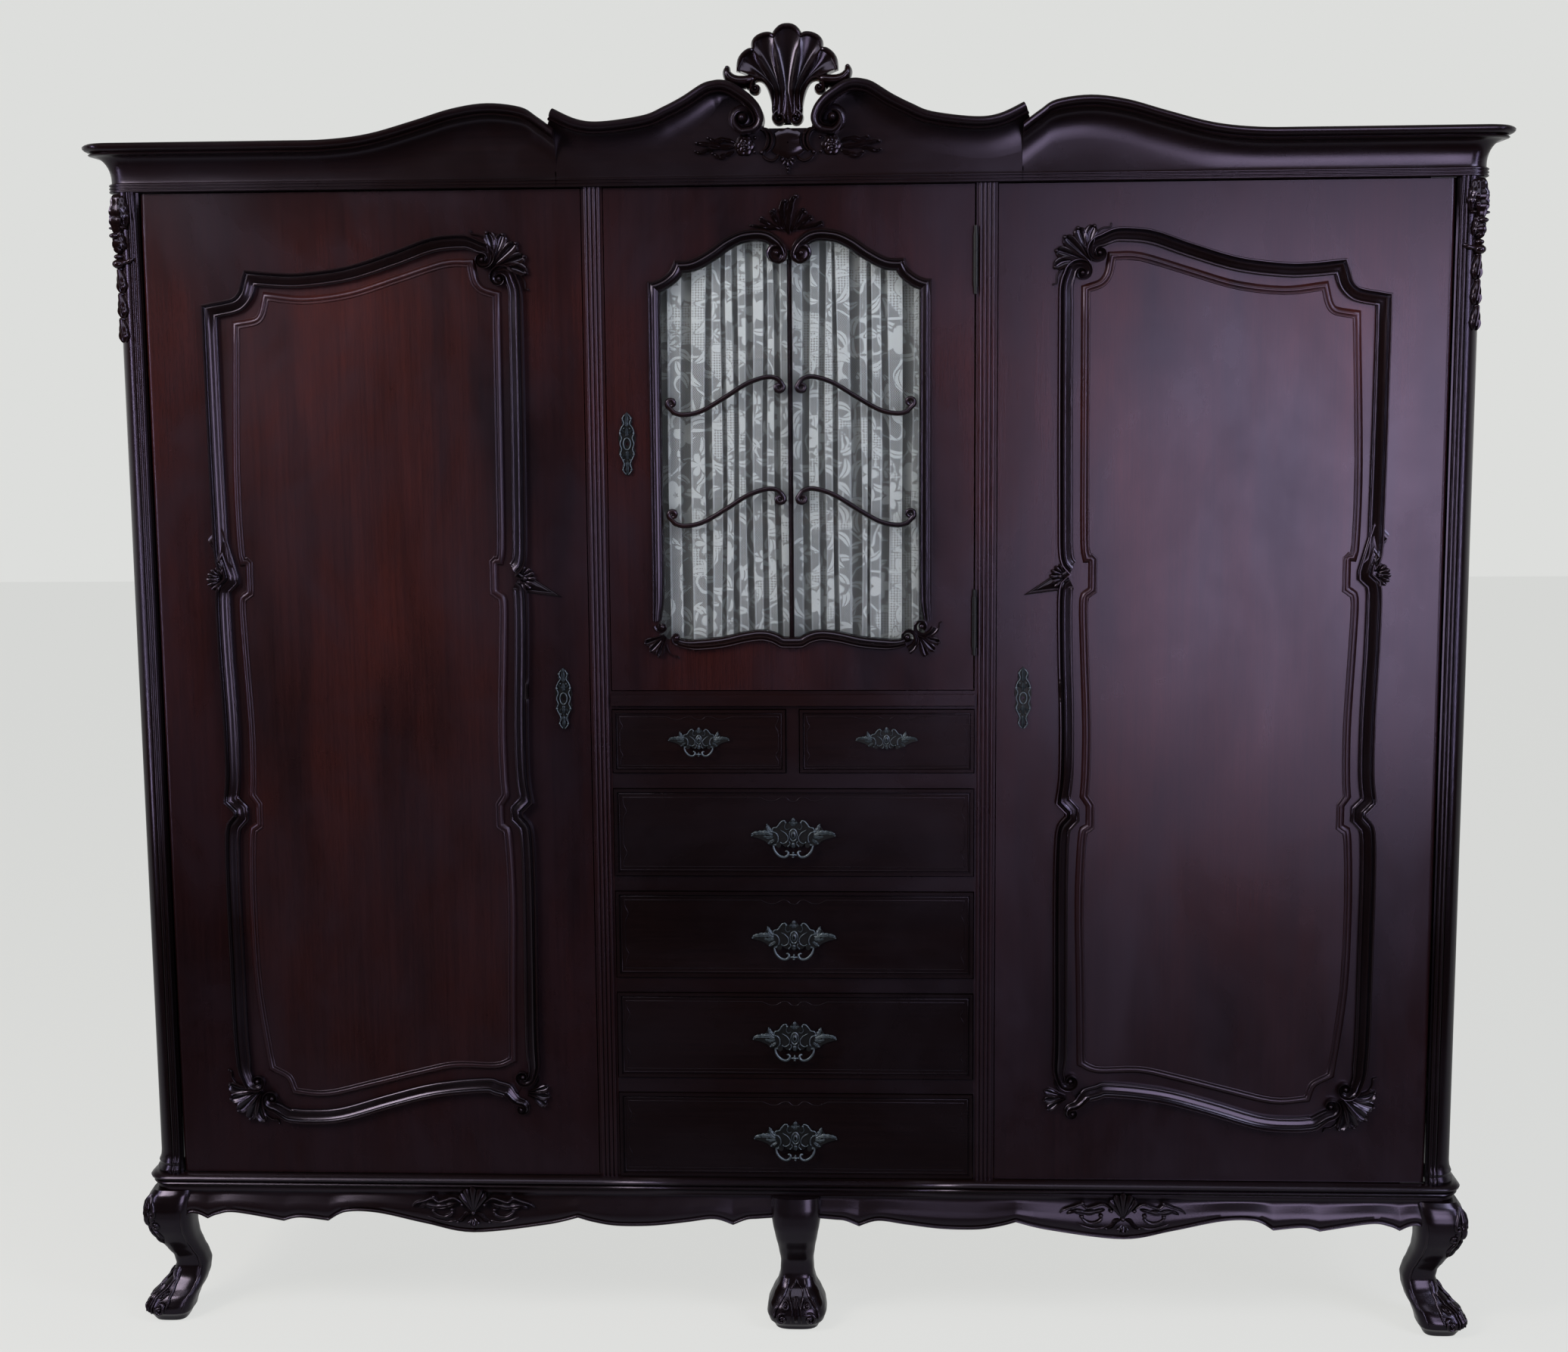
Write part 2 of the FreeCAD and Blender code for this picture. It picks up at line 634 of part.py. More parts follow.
def hanging_rods():
    bar = rod("rod_bar", "partition_outer", "rod_y", "rod_z",
              "rod_radius", "inner_side - partition_outer", "x")
    pieces = [bar, mirrored("rod_twin", bar)]
    for name, x in (("in", "partition_outer"), ("out", "inner_side - socket_length")):
        cup = rod("cup_" + name, x, "rod_y", "rod_z", "socket_radius", "socket_length", "x")
        bore = rod("bore_" + name, x + " - overrun", "rod_y", "rod_z",
                   "rod_radius + rod_clearance", "socket_length + 2 * overrun", "x")
        socket = cut("socket_" + name, cup, bore)
        pieces += [socket, mirrored("socket_twin_" + name, socket)]
    node("hanging_rods", group("hanging_rods", pieces))


# Mouldings that run round the front and the two sides with mitred corners

def section(points, x, y):
    # One closed section of a moulding, given how far out and how high each corner is.
    corners = [FreeCAD.Vector(x(out), y(out), z) for out, z in points]
    return Part.makePolygon(corners + corners[:1])


def corner_section(points, side):
    return section(points, lambda out: side * (place("half_width") + out), lambda out: place("face") - out)


def front_section(points, x):
    return section(points, lambda out: x, lambda out: place("face") - out)


def back_section(points):
    return section(points, lambda out: place("half_width") + out, lambda out: place("back"))


def run_of(name, sections):
    # A straight sided solid through sections with the same number of corners.
    return shape_of(name, Part.makeLoft(sections, True, True))


def stand_profile():
    reach = size("moulding_reach")
    top = size("stand_height")
    foot = place("moulding_foot")
    step = size("moulding_height") / 6
    inner = -size("moulding_depth")
    return [(inner, foot), (inner, top), (reach - step, top), (reach, top - step),
            (reach - step / 2, top - 2 * step), (reach, top - 3 * step),
            (reach - step / 2, top - 4 * step), (reach - 2 * step, foot)]


def base_moulding():
    profile = stand_profile()
    front = run_of("stand_front", [corner_section(profile, -1), corner_section(profile, 1)])
    side = run_of("stand_side", [corner_section(profile, 1), back_section(profile)])
    node("base_moulding", group("base_moulding", [front, side, mirrored("stand_side_twin", side)]))


# Half of the cornice line: shares of half the carcass width and of the highest wave

wave_shares = [(0.055, 0.60), (0.068, 0.86), (0.094, 1.0), (0.124, 0.93), (0.151, 0.70),
               (0.208, 0.38), (0.268, 0.27), (0.304, 0.32), (0.338, 0.52)]
wing_shares = [(0.338, 0.15), (0.362, 0.38), (0.385, 0.55), (0.434, 0.63), (0.485, 0.54),
               (0.542, 0.33), (0.607, 0.11), (0.671, 0.015), (0.75, 0)]
wave_joint = 5
wing_joint = 6
cove_shares = (0.25, 0.5, 0.75, 1.0)


def cornice_profile(top, least):
    # The section of the cornice under one height of its wavy top: bead, fascia, cove and nose.
    foot = place("cornice_foot")
    bead = foot + size("bead_height")
    nose = top - size("nose_height")
    edge = size("nose_round")
    cove = max(nose - size("cove_height"), bead + edge / 4, least)
    fascia = size("fascia_reach")
    reach = size("cornice_projection")
    inner = -size("cornice_inset")
    points = [(inner, foot), (size("bead_reach"), foot), (size("bead_reach"), bead), (fascia, bead),
              (fascia, cove)]
    for share in cove_shares:
        angle = share * math.pi / 2
        points.append((fascia + (reach - edge - fascia) * (1 - math.cos(angle)),
                       cove + (nose - cove) * math.sin(angle)))
    points += [(reach, nose + edge), (reach, top - edge), (reach - edge, top), (inner, top)]
    return points


def cornice():
    half = place("half_width")
    base = place("wing_top")
    rise = size("wave_height")
    carved = place("spray_foot") + size("spray_height") * spray_flat_share

    def lengths(name, shares, joint, end):
        # The stations of one curve, glued up from two lengths that meet at one of them.
        curve = smooth(shares, curve_steps) + shares[-1:]
        sections = []
        for x, z in curve:
            least = carved if half * x < size("spray_half_width") / 2 else 0
            sections.append(front_section(cornice_profile(base + rise * z, least), half * x))
        split = joint * curve_steps
        return [run_of(name + "_inner", sections[:split + 1]), run_of(name + "_outer", sections[split:] + end)]

    straight = cornice_profile(base, 0)
    pieces = (lengths("wave", wave_shares, wave_joint, [])
              + lengths("wing", wing_shares, wing_joint, [corner_section(straight, 1)]))
    inner = str(wave_shares[0][0]) + " * half_width"
    centre = board("cornice_centre", "-" + inner, "face - fascia_reach", "cornice_foot",
                   "2 * " + inner, "fascia_reach + cornice_inset", "centre_top - cornice_foot")
    twins = [mirrored(piece.Name + "_twin", piece) for piece in pieces]
    node("cornice_front", group("cornice_front", [centre] + pieces + twins))
    side = run_of("cornice_side", [corner_section(straight, 1), back_section(straight)])
    node("cornice_returns", group("cornice_returns", [side, mirrored("cornice_side_twin", side)]))


# Half of the shell crest: shares of its half width and of its height, from the top round to the foot

crest_shares = [(0, 1), (0.09, 0.985), (0.176, 0.93), (0.21, 0.883), (0.30, 0.92), (0.385, 0.91),
                (0.53, 0.83), (0.54, 0.76), (0.655, 0.735), (0.75, 0.66), (0.79, 0.54), (0.86, 0.565),
                (0.945, 0.588), (1.0, 0.54), (0.965, 0.475), (0.915, 0.44), (0.72, 0.40), (0.55, 0.36),
                (0.46, 0.31), (0.435, 0.37), (0.485, 0.44), (0.41, 0.455), (0.30, 0.41), (0.25, 0.28),
                (0.26, 0.17), (0.24, 0.09), (0.17, 0)]
spray_shares = [(0, 0), (0.07, 0.09), (0.17, 0.29), (0.30, 0.38), (0.41, 0.33), (0.5, 0.33), (0.6, 0.42),
                (0.73, 0.44), (0.99, 0.55), (1.0, 0.68), (0.73, 0.65), (0.6, 0.76), (0.5, 0.78),
                (0.395, 0.76), (0.35, 0.88), (0.36, 0.98), (0.13, 0.98), (0.0, 0.93)]
spray_flat_share = 0.8


def crest():
    outline = placed(both_halves(crest_shares), 0, size("crest_half_width"),
                     place("centre_top"), size("crest_height"), 1)
    node("crest_shell", thick(
        "crest_shell", outline, "face + cornice_inset - crest_thickness", "crest_thickness"))
    outline = placed(both_halves(spray_shares), 0, size("spray_half_width"),
                     place("spray_foot"), size("spray_height"), 1)
    node("crest_cartouche", thick(
        "crest_cartouche", outline, "face - fascia_reach - spray_thickness", "spray_thickness"))


# Front aprons: shares from the corner leg to the centre leg, and of the depth below the moulding

apron_shares = [
    [(0, 0.63), (0.025, 0.71)],
    [(0.025, 0.71), (0.057, 0.54), (0.1465, 0.75), (0.225, 0.735)],
    [(0.225, 0.735), (0.257, 0.50), (0.313, 0.515), (0.397, 0.78), (0.480, 1.0), (0.604, 0.79),
     (0.663, 0.59), (0.730, 0.79), (0.791, 0.78), (0.899, 0.59), (0.932, 0.735)],
    [(0.932, 0.735), (0.974, 0.57), (1, 0.54)]]
apron_bulge_shares = (0.4, 0.7)
carving_shares = [(0, 0), (0.10, 0.10), (0.17, 0.30), (0.32, 0.28), (0.5, 0.42), (0.75, 0.40), (1.0, 0.52),
                  (0.8, 0.66), (0.5, 0.78), (0.25, 0.82), (0.2, 0.96), (0.1, 1.0), (0, 0.94)]


def apron_profile(foot):
    # The bulging section of a front apron over one height of its scalloped edge.
    top = place("moulding_foot")
    fall = top - foot
    reach = size("apron_reach")
    inner = reach - size("apron_thickness")
    step = size("apron_setback")
    high, low = apron_bulge_shares
    return [(inner, top), (step, top), ((step + 2 * reach) / 3, top - fall * high),
            (reach, top - fall * low), (reach - step / 2, foot), (inner, foot)]


def aprons():
    top = place("moulding_foot")
    start = place("leg_x") - size("leg_block") / 2
    end = size("centre_block") / 2
    curve = traced(apron_shares, curve_steps) + [apron_shares[-1][-1]]
    cuts = [front_section(apron_profile(top - z * size("apron_height")), start + (end - start) * x)
            for x, z in curve]
    apron = run_of("apron_front", cuts)
    node("aprons_front", group("aprons_front", [apron, mirrored("apron_front_twin", apron)]))
    foot = top - size("apron_height") + size("apron_setback") / 2
    outline = placed(both_halves(carving_shares), size("carving_offset"), size("carving_width") / 2,
                     foot, size("apron_height") - size("apron_setback"), 1)
    carving = thick("carving", outline, "face - apron_reach - carving_thickness", "carving_thickness")
    node("apron_carvings", group("apron_carvings", [carving, mirrored("carving_twin", carving)]))


def stand_rails():
    z = "moulding_foot - side_apron_height"
    side = board("apron_side", "half_width - apron_thickness", "leg_y + leg_block / 2", z,
                 "apron_thickness", "back - back_leg_top - leg_y - leg_block / 2", "side_apron_height")
    rear = board("back_rail_half", "back_leg_top / 2", "back - apron_thickness", z,
                 "half_width - 3 * back_leg_top / 2", "apron_thickness", "side_apron_height")
    node("stand_rails", group("stand_rails", [
        side, mirrored("apron_side_twin", side), rear, mirrored("back_rail_twin", rear)]))


# Cabriole legs: height share of the stand, step outwards and half width as shares of the leg block

corner_leg_shares = [(0.86, 0.20, 0.56), (0.78, 0.23, 0.63), (0.695, 0.23, 0.66), (0.615, 0.16, 0.62),
                     (0.538, 0.07, 0.554), (0.46, -0.05, 0.45), (0.397, -0.12, 0.378), (0.33, -0.08, 0.385),
                     (0.271, 0.05, 0.432), (0.17, 0.25, 0.50), (0.084, 0.37, 0.54), (0.03, 0.39, 0.47),
                     (0, 0.365, 0.35)]
centre_leg_shares = [(0.86, 0.30, 0.52), (0.78, 0.36, 0.54), (0.68, 0.35, 0.54), (0.60, 0.26, 0.50),
                     (0.538, 0.15, 0.47), (0.46, 0.0, 0.43), (0.397, -0.08, 0.405), (0.33, -0.06, 0.42),
                     (0.271, 0.03, 0.48), (0.17, 0.14, 0.62), (0.10, 0.17, 0.70), (0.04, 0.17, 0.65),
                     (0, 0.16, 0.55)]


def carved_leg(shares, x, x_step):
    # A leg lofted through rings that step outwards and back in on the way down to a flat foot.
    block = size("leg_block")
    rings = []
    for z, step, half in shares:
        centre = FreeCAD.Vector(x + x_step * step * block, place("leg_y") - step * block,
                                z * size("stand_height"))
        rings.append(Part.Wire(Part.Circle(centre, FreeCAD.Vector(0, 0, 1), half * block).toShape()))
    return Part.makeLoft(rings, True, True)


def front_legs():
    top = board("corner_block", "leg_x - leg_block / 2", "leg_y - leg_block / 2",
                "moulding_foot - leg_block_height", "leg_block", "leg_block", "leg_block_height")
    shin = shape_of("corner_shin", carved_leg(corner_leg_shares, place("leg_x"), 1))
    leg = node("leg_front_right", joined("corner_leg", [top, shin]))
    node("leg_front_left", mirrored("corner_leg_twin", leg))
    top = board("centre_block_top", "-centre_block / 2", "leg_y - leg_block / 2",
                "moulding_foot - leg_block_height", "centre_block", "leg_block", "leg_block_height")
    shin = shape_of("centre_shin", carved_leg(centre_leg_shares, 0, 0))
    node("leg_front_centre", joined("centre_leg", [top, shin]))


def tapered_leg(name, anchor, share):
    # A plain square leg with a smaller foot. The share tells which part of its width keeps to the anchor.
    rear = place("back")
    knee = place("moulding_foot") - size("side_apron_height")

    def square(edge, height):
        x = anchor - edge * share
        corners = [(x, rear - edge), (x + edge, rear - edge), (x + edge, rear), (x, rear)]
        points = [FreeCAD.Vector(a, b, height) for a, b in corners]
        return Part.makePolygon(points + points[:1])

    top = size("back_leg_top")
    upper = run_of(name + "_upper", [square(top, place("moulding_foot")), square(top, knee)])
    lower = run_of(name + "_lower", [square(top, knee), square(size("back_leg_foot"), 0)])
    return joined(name, [upper, lower])


def back_legs():
    right = tapered_leg("back_leg_right", place("half_width"), 1)
    middle = tapered_leg("back_leg_middle", 0, 1 / 2)
    node("legs_back", group("legs_back", [right, mirrored("back_leg_left", right), middle]))


# Outer doors: heights are shares of the door opening. Along the top and the foot, the other value is
# a share of half the sight width of the panel, from the hinge side (minus) to the lock side (plus).
# Down a side, it is how far the line steps in from that half, in depths of a jog.

door_side_shares = [
    [(0, 0.904), (0.04, 0.770), (0.12, 0.685), (0.2, 0.643), (0.561, 0.634), (1.003, 0.629)],
    [(1.003, 0.629), (1.003, 0.613)],
    [(1.003, 0.613), (0.441, 0.608), (0.16, 0.600), (0.2, 0.547), (0.401, 0.480), (0.401, 0.423),
     (0.16, 0.397)],
    [(0.16, 0.397), (0.962, 0.388)],
    [(0.962, 0.388), (1.003, 0.373)],
    [(1.003, 0.373), (0.441, 0.367), (0.12, 0.358), (0, 0.314), (0.04, 0.230), (0.2, 0.146),
     (0.401, 0.115)]]
door_top_shares = [
    [(-0.988, 0.879), (-0.843, 0.884), (-0.759, 0.895), (-0.723, 0.909)],
    [(-0.723, 0.909), (-0.56, 0.907), (-0.389, 0.907), (-0.072, 0.913), (0.25, 0.927), (0.488, 0.939),
     (0.648, 0.942), (0.771, 0.939), (0.855, 0.925)],
    [(0.855, 0.925), (1, 0.904)]]
door_foot_shares = [
    [(0.97, 0.115), (0.898, 0.095)],
    [(0.898, 0.095), (0.696, 0.1035), (0.334, 0.098), (-0.003, 0.0855), (-0.343, 0.071), (-0.575, 0.0685),
     (-0.777, 0.0745)],
    [(-0.777, 0.0745), (-0.97, 0.115)]]
field_side_shares = [
    [(1.484, 0.895), (1.564, 0.730), (1.644, 0.650), (1.925, 0.642), (2.366, 0.637)],
    [(2.366, 0.637), (2.366, 0.603)],
    [(2.366, 0.603), (1.845, 0.599), (1.564, 0.592), (1.684, 0.547), (1.965, 0.470), (1.925, 0.420),
     (1.805, 0.400)],
    [(1.805, 0.400), (2.366, 0.391)],
    [(2.366, 0.391), (2.366, 0.366)],
    [(2.366, 0.366), (1.925, 0.362), (1.644, 0.354), (1.444, 0.290), (1.644, 0.200), (1.765, 0.126)]]
field_top_shares = [
    [(-0.846, 0.8675), (-0.723, 0.871), (-0.669, 0.879), (-0.639, 0.894)],
    [(-0.639, 0.894), (-0.392, 0.8905), (-0.075, 0.896), (0.247, 0.910), (0.563, 0.924), (0.723, 0.925)],
    [(0.723, 0.925), (0.744, 0.910), (0.798, 0.900), (0.889, 0.895)]]
field_foot_shares = [
    [(0.867, 0.126), (0.768, 0.121), (0.488, 0.1216), (0.238, 0.114), (-0.099, 0.1016), (-0.437, 0.090),
     (-0.651, 0.092)],
    [(-0.651, 0.092), (-0.693, 0.106), (-0.804, 0.1155)]]
jog_shares = (0.621, 0.381)


def up_the_hinge_side(shares, first, last):
    # The hinge side repeats the lock side, from its foot to its top, between two end points.
    runs = [[(-x, z) for x, z in run[::-1]] for run in shares[::-1]]
    runs[0] = [first] + runs[0][1:]
    runs[-1] = runs[-1][:-1] + [last]
    return runs


def door_outline(top, side, foot):
    half = place("panel_sight")
    lock_side = [[(half - x * size("jog_depth"), z) for x, z in run] for run in side]
    head = [[(x * half, z) for x, z in run] for run in top]
    base = [[(x * half, z) for x, z in run] for run in foot]
    head[-1][-1] = lock_side[0][0]
    base[0][0] = lock_side[-1][-1]
    runs = head + lock_side + base + up_the_hinge_side(lock_side, base[-1][-1], head[0][0])
    return placed(traced(runs, curve_steps), place("door_centre"), 1,
                  size("stand_height"), size("opening_height"), -1)


def hinge_stile_plan():
    # Plan of the stile that turns on the centre pins: its front outer edge is round about the pin.
    radius = size("pivot_inset")
    outer = place("pivot_x") + radius
    inner = place("door_outer") - size("door_gap") - size("stile_width")
    front = place("face")
    rear = place("door_back")
    middle = radius * (1 - math.sqrt(1 / 2))
    corner = Part.Arc(
        FreeCAD.Vector(outer, front + radius, 0),
        FreeCAD.Vector(outer - middle, front + middle, 0),
        FreeCAD.Vector(outer - radius, front, 0)).toShape()
    corners = [(outer - radius, front), (inner, front), (inner, rear), (outer, rear), (outer, front + radius)]
    points = [FreeCAD.Vector(x, y, 0) for x, y in corners]
    sides = [Part.makeLine(a, b) for a, b in zip(points, points[1:])]
    return Part.Face(Part.Wire([corner] + sides))


def jogs(name, x):
    blocks = []
    for count, share in enumerate(jog_shares):
        z = "stand_height + opening_height * " + str(share) + " - jog_height / 2"
        blocks.append(board(name + "_jog_" + str(count), x, "face", z, "jog_width", "door_thickness", "jog_height"))
    return blocks


def door_frame(outline):
    # Two stiles and two rails, each cut by the shaped opening and rebated for the panel board.
    hinge = upright("hinge_stile", hinge_stile_plan(), "door_foot", "door_top - door_foot")
    inner = "door_outer - door_gap - stile_width"
    free = board("free_stile", "door_inner + door_gap", "face", "door_foot",
                 "stile_width", "door_thickness", "door_top - door_foot")
    start = "door_inner + door_gap + stile_width"
    length = "door_opening - 2 * door_gap - 2 * stile_width"
    stiles = [joined("hinge_side", [hinge] + jogs("hinge", inner + " - jog_width")),
              joined("free_side", [free] + jogs("free", start))]
    rails = [board("foot_rail", start, "face", "door_foot", length, "door_thickness",
                   "opening_height * foot_rail_share"),
             board("head_rail", start, "face", "door_top - opening_height * head_rail_share", length,
                   "door_thickness", "opening_height * head_rail_share")]
    opening = thick("door_opening", spread(outline, size("panel_moulding_width") - size("panel_moulding_lap")),
                    "face - overrun", "door_thickness + 2 * overrun")
    rebate = board("panel_rebate", "door_centre - panel_edge", "face + door_thickness - panel_back",
                   "stand_height + panel_foot", "2 * panel_edge", "panel_back + overrun",
                   "opening_height - panel_foot - panel_top")
    pieces = []
    for piece in stiles + rails:
        pieces.append(cut(piece.Name + "_rebated", cut(piece.Name + "_shaped", piece, opening), rebate))
    bore = "pivot_radius + pin_clearance"
    for name, z in (("foot", "door_foot - overrun"), ("head", "door_top - pivot_length - door_gap")):
        hole = rod("pivot_bore_" + name, "pivot_x", "pivot_y", z, bore, "pivot_length + door_gap + overrun", "z")
        pieces[0] = cut("hinge_side_" + name, pieces[0], hole)
    return group("door_frame", pieces)


def door_panel(outline, field):
    # A board in the rebate, its shaped ground, and the raised field in front.
    fit = "slide_clearance"
    rear = board("panel_board", "door_centre - panel_edge + " + fit, "door_back - panel_back",
                 "stand_height + panel_foot + " + fit, "2 * (panel_edge - " + fit + ")", "panel_back",
                 "opening_height - panel_foot - panel_top - 2 * " + fit)
    lap = size("panel_moulding_width") - size("panel_moulding_lap")
    ground = thick("panel_ground", spread(outline, lap - size("slide_clearance")), "face + panel_recess",
                   "door_thickness - panel_back - panel_recess")
    raised = thick("panel_field", field, "face + panel_recess - field_rise", "field_rise")
    return joined("door_panel", [rear, ground, raised])


def door_moulding(outline):
    # A moulding that laps the frame, drops to the panel inside, and has a raised reed.
    width = size("panel_moulding_width")
    lap = size("panel_moulding_lap")
    reed = width / 4
    flat = ring("moulding_flat", outline, 0, width, "face - panel_moulding_rise", "panel_moulding_rise")
    inner = ring("moulding_inner", outline, 0, width - lap - size("slide_clearance"), "face", "panel_recess")
    crown = ring("moulding_crown", outline, reed, width - reed, "face - panel_moulding_crown",
                 "panel_moulding_crown - panel_moulding_rise")
    return joined("door_moulding", [flat, inner, crown])


escutcheon_shares = [(0, 0), (0.25, 0.06), (0.2, 0.13), (0.55, 0.20), (0.5, 0.29), (1.0, 0.38), (0.75, 0.47),
                     (1.0, 0.55), (0.95, 0.63), (0.5, 0.70), (0.65, 0.78), (0.35, 0.84), (0.4, 0.93), (0, 1.0)]


def box_lock(name, edge, case, slot, keyhole, z):
    # A box lock on the back of a door with a channel for its bolt, and an escutcheon on the front.
    # The edge, the case and the slot are rules for places along X.
    channel = "bolt_length + 3 * slide_clearance"
    body = board(name + "_body", case, "door_back", z + " - lock_case_height / 2",
                 "lock_case_length", "lock_case_depth", "lock_case_height")
    hollow = board(name + "_slot", slot, "bolt_y - slide_clearance", z + " - bolt_height / 2 - slide_clearance",
                   channel + " + overrun", "bolt_thickness + 2 * slide_clearance",
                   "bolt_height + 2 * slide_clearance")
    height = size("escutcheon_height")
    plate = thick(name + "_plate", placed(both_halves(escutcheon_shares), place(keyhole),
                                          size("escutcheon_width") / 2, place(z) - height / 2, height, edge),
                  "face - plate_thickness", "plate_thickness")
    hole = rod(name + "_keyhole", keyhole, "face - plate_thickness - overrun", z, "keyhole_radius",
               "plate_thickness + 2 * overrun", "y")
    return [cut(name + "_case", body, hollow), cut(name + "_escutcheon", plate, hole)]


def lock_bolt(name, x, z):
    # The bolt is a padded sketch: a rectangle seen from its end, as long as the bolt.
    body = doc.addObject("PartDesign::Body", name + "_body")
    sketch = body.newObject("Sketcher::SketchObject", name + "_sketch")
    plane = [item for item in body.Origin.OriginFeatures if item.Role == "YZ_Plane"][0]
    sketch.AttachmentSupport = [(plane, "")]
    sketch.MapMode = "FlatFace"
    add_rectangle(sketch, "bolt_thickness", "bolt_height")
    pad = body.newObject("PartDesign::Pad", name + "_pad")
    pad.Profile = sketch
    bind(pad, Length="bolt_length")
    body.Tip = pad
    put(body, x, "bolt_y", z + " - bolt_height / 2")
    return node(name, body)


def add_rectangle(sketch, width, height):
    # A rectangle from the origin of a sketch, with its two sizes bound.
    corners = [FreeCAD.Vector(0, 0, 0), FreeCAD.Vector(1, 0, 0), FreeCAD.Vector(1, 1, 0), FreeCAD.Vector(0, 1, 0)]
    for a, b in zip(corners, corners[1:] + corners[:1]):
        sketch.addGeometry(Part.LineSegment(a, b), False)
    for first, second in ((0, 1), (1, 2), (2, 3), (3, 0)):
        sketch.addConstraint(Sketcher.Constraint("Coincident", first, 2, second, 1))
    for line, way in ((0, "Horizontal"), (2, "Horizontal"), (1, "Vertical"), (3, "Vertical")):
        sketch.addConstraint(Sketcher.Constraint(way, line))
    sketch.addConstraint(Sketcher.Constraint("Coincident", 0, 1, -1, 1))
    wide = sketch.addConstraint(Sketcher.Constraint("DistanceX", 0, 1, 0, 2, 1))
    tall = sketch.addConstraint(Sketcher.Constraint("DistanceY", 1, 1, 1, 2, 1))
    sketch.setExpression("Constraints[" + str(wide) + "]", bound(width))
    sketch.setExpression("Constraints[" + str(tall) + "]", bound(height))


def outer_doors():
    outline = door_outline(door_top_shares, door_side_shares, door_foot_shares)
    field = door_outline(field_top_shares, field_side_shares, field_foot_shares)
    edge = "door_inner + door_gap"
    lock = group("door_lock", box_lock("door_lock", 1, edge, edge + " - overrun", "keyhole_x", "lock_z"))
    for name, piece in (("frame", door_frame(outline)), ("panel", door_panel(outline, field)),
                        ("moulding", door_moulding(outline)), ("lock", lock)):
        node("right_door_" + name, piece)
        node("left_door_" + name, mirrored(name + "_twin", piece))
    lock_bolt("right_door_bolt", edge, "lock_z")
    lock_bolt("left_door_bolt", "-(" + edge + ") - bolt_length", "lock_z")


# Glazed door: half of the sight line, from the middle of the top round to the middle of the foot, in
# shares of half the sight width and of the height of the door opening

glass_shares = [
    [(0, 0.8605), (0.095, 0.871), (0.207, 0.888), (0.297, 0.890), (0.418, 0.884), (0.527, 0.869),
     (0.651, 0.848), (0.795, 0.833)],
    [(0.795, 0.833), (0.836, 0.826), (0.914, 0.805), (1, 0.795)],
    [(1, 0.795), (1, 0.118)],
    [(1, 0.118), (0.853, 0.111), (0.735, 0.108), (0.562, 0.111), (0.421, 0.119), (0.294, 0.123),
     (0.17, 0.121), (0.078, 0.108), (0, 0.105)]]
bar_shares = [(0.971, 0.579), (0.939, 0.563), (0.836, 0.554), (0.697, 0.562), (0.51, 0.589),
              (0.337, 0.616), (0.182, 0.629), (0.081, 0.622), (0.063, 0.606)]
lower_bar_share = 0.2215
bar_end_share = 0.5


def glass_outline():
    half = traced(glass_shares, curve_steps) + [glass_shares[-1][-1]]
    points = half + [(-x, z) for x, z in half[::-1] if x > 0]
    return placed(points, 0, place("glass_sight"), place("glass_foot"), place("glass_height"), 1)


def glazed_frame(outline):
    # Two stiles and two rails, cut by the shaped opening and rebated behind for a square pane.
    height = "glass_height - 2 * door_gap"
    foot = "glass_foot + door_gap"
    hung = board("glass_hung_stile", "glass_half", "face", foot,
                 "bay_half - hinge_gap - glass_half", "door_thickness", height)
    free = board("glass_free_stile", "door_gap - bay_half", "face", foot,
                 "bay_half - door_gap - glass_half", "door_thickness", height)
    low = board("glass_foot_rail", "-glass_half", "face", foot, "2 * glass_half", "door_thickness",
                "glass_height * glass_foot_rail_share")
    high = board("glass_head_rail", "-glass_half", "face",
                 "cornice_foot - door_gap - glass_height * glass_head_rail_share",
                 "2 * glass_half", "door_thickness", "glass_height * glass_head_rail_share")
    lap = size("glass_moulding_width") - size("glass_moulding_lap")
    opening = thick("glass_opening", spread(outline, lap), "face - overrun", "door_thickness + 2 * overrun")
    rebate = board("glass_rebate", "-glass_half - glass_lap", "face + glass_depth", "glass_foot + glass_foot_rise",
                   "2 * (glass_half + glass_lap)", "door_thickness - glass_depth + overrun",
                   "glass_height - glass_foot_rise - glass_top_drop")
    pieces = []
    for piece in (hung, free, low, high):
        pieces.append(cut(piece.Name + "_rebated", cut(piece.Name + "_shaped", piece, opening), rebate))
    node("glazed_door_frame", group("glazed_door_frame", pieces))


def glazed_moulding(outline):
    width = size("glass_moulding_width")
    lap = size("glass_moulding_lap")
    flat = ring("glass_moulding_flat", outline, 0, width, "face - glass_moulding_rise", "glass_moulding_rise")
    inner = ring("glass_moulding_inner", outline, 0, width - lap - size("slide_clearance"), "face", "glass_depth")
    node("glazed_door_moulding", joined("glazed_door_moulding", [flat, inner]))


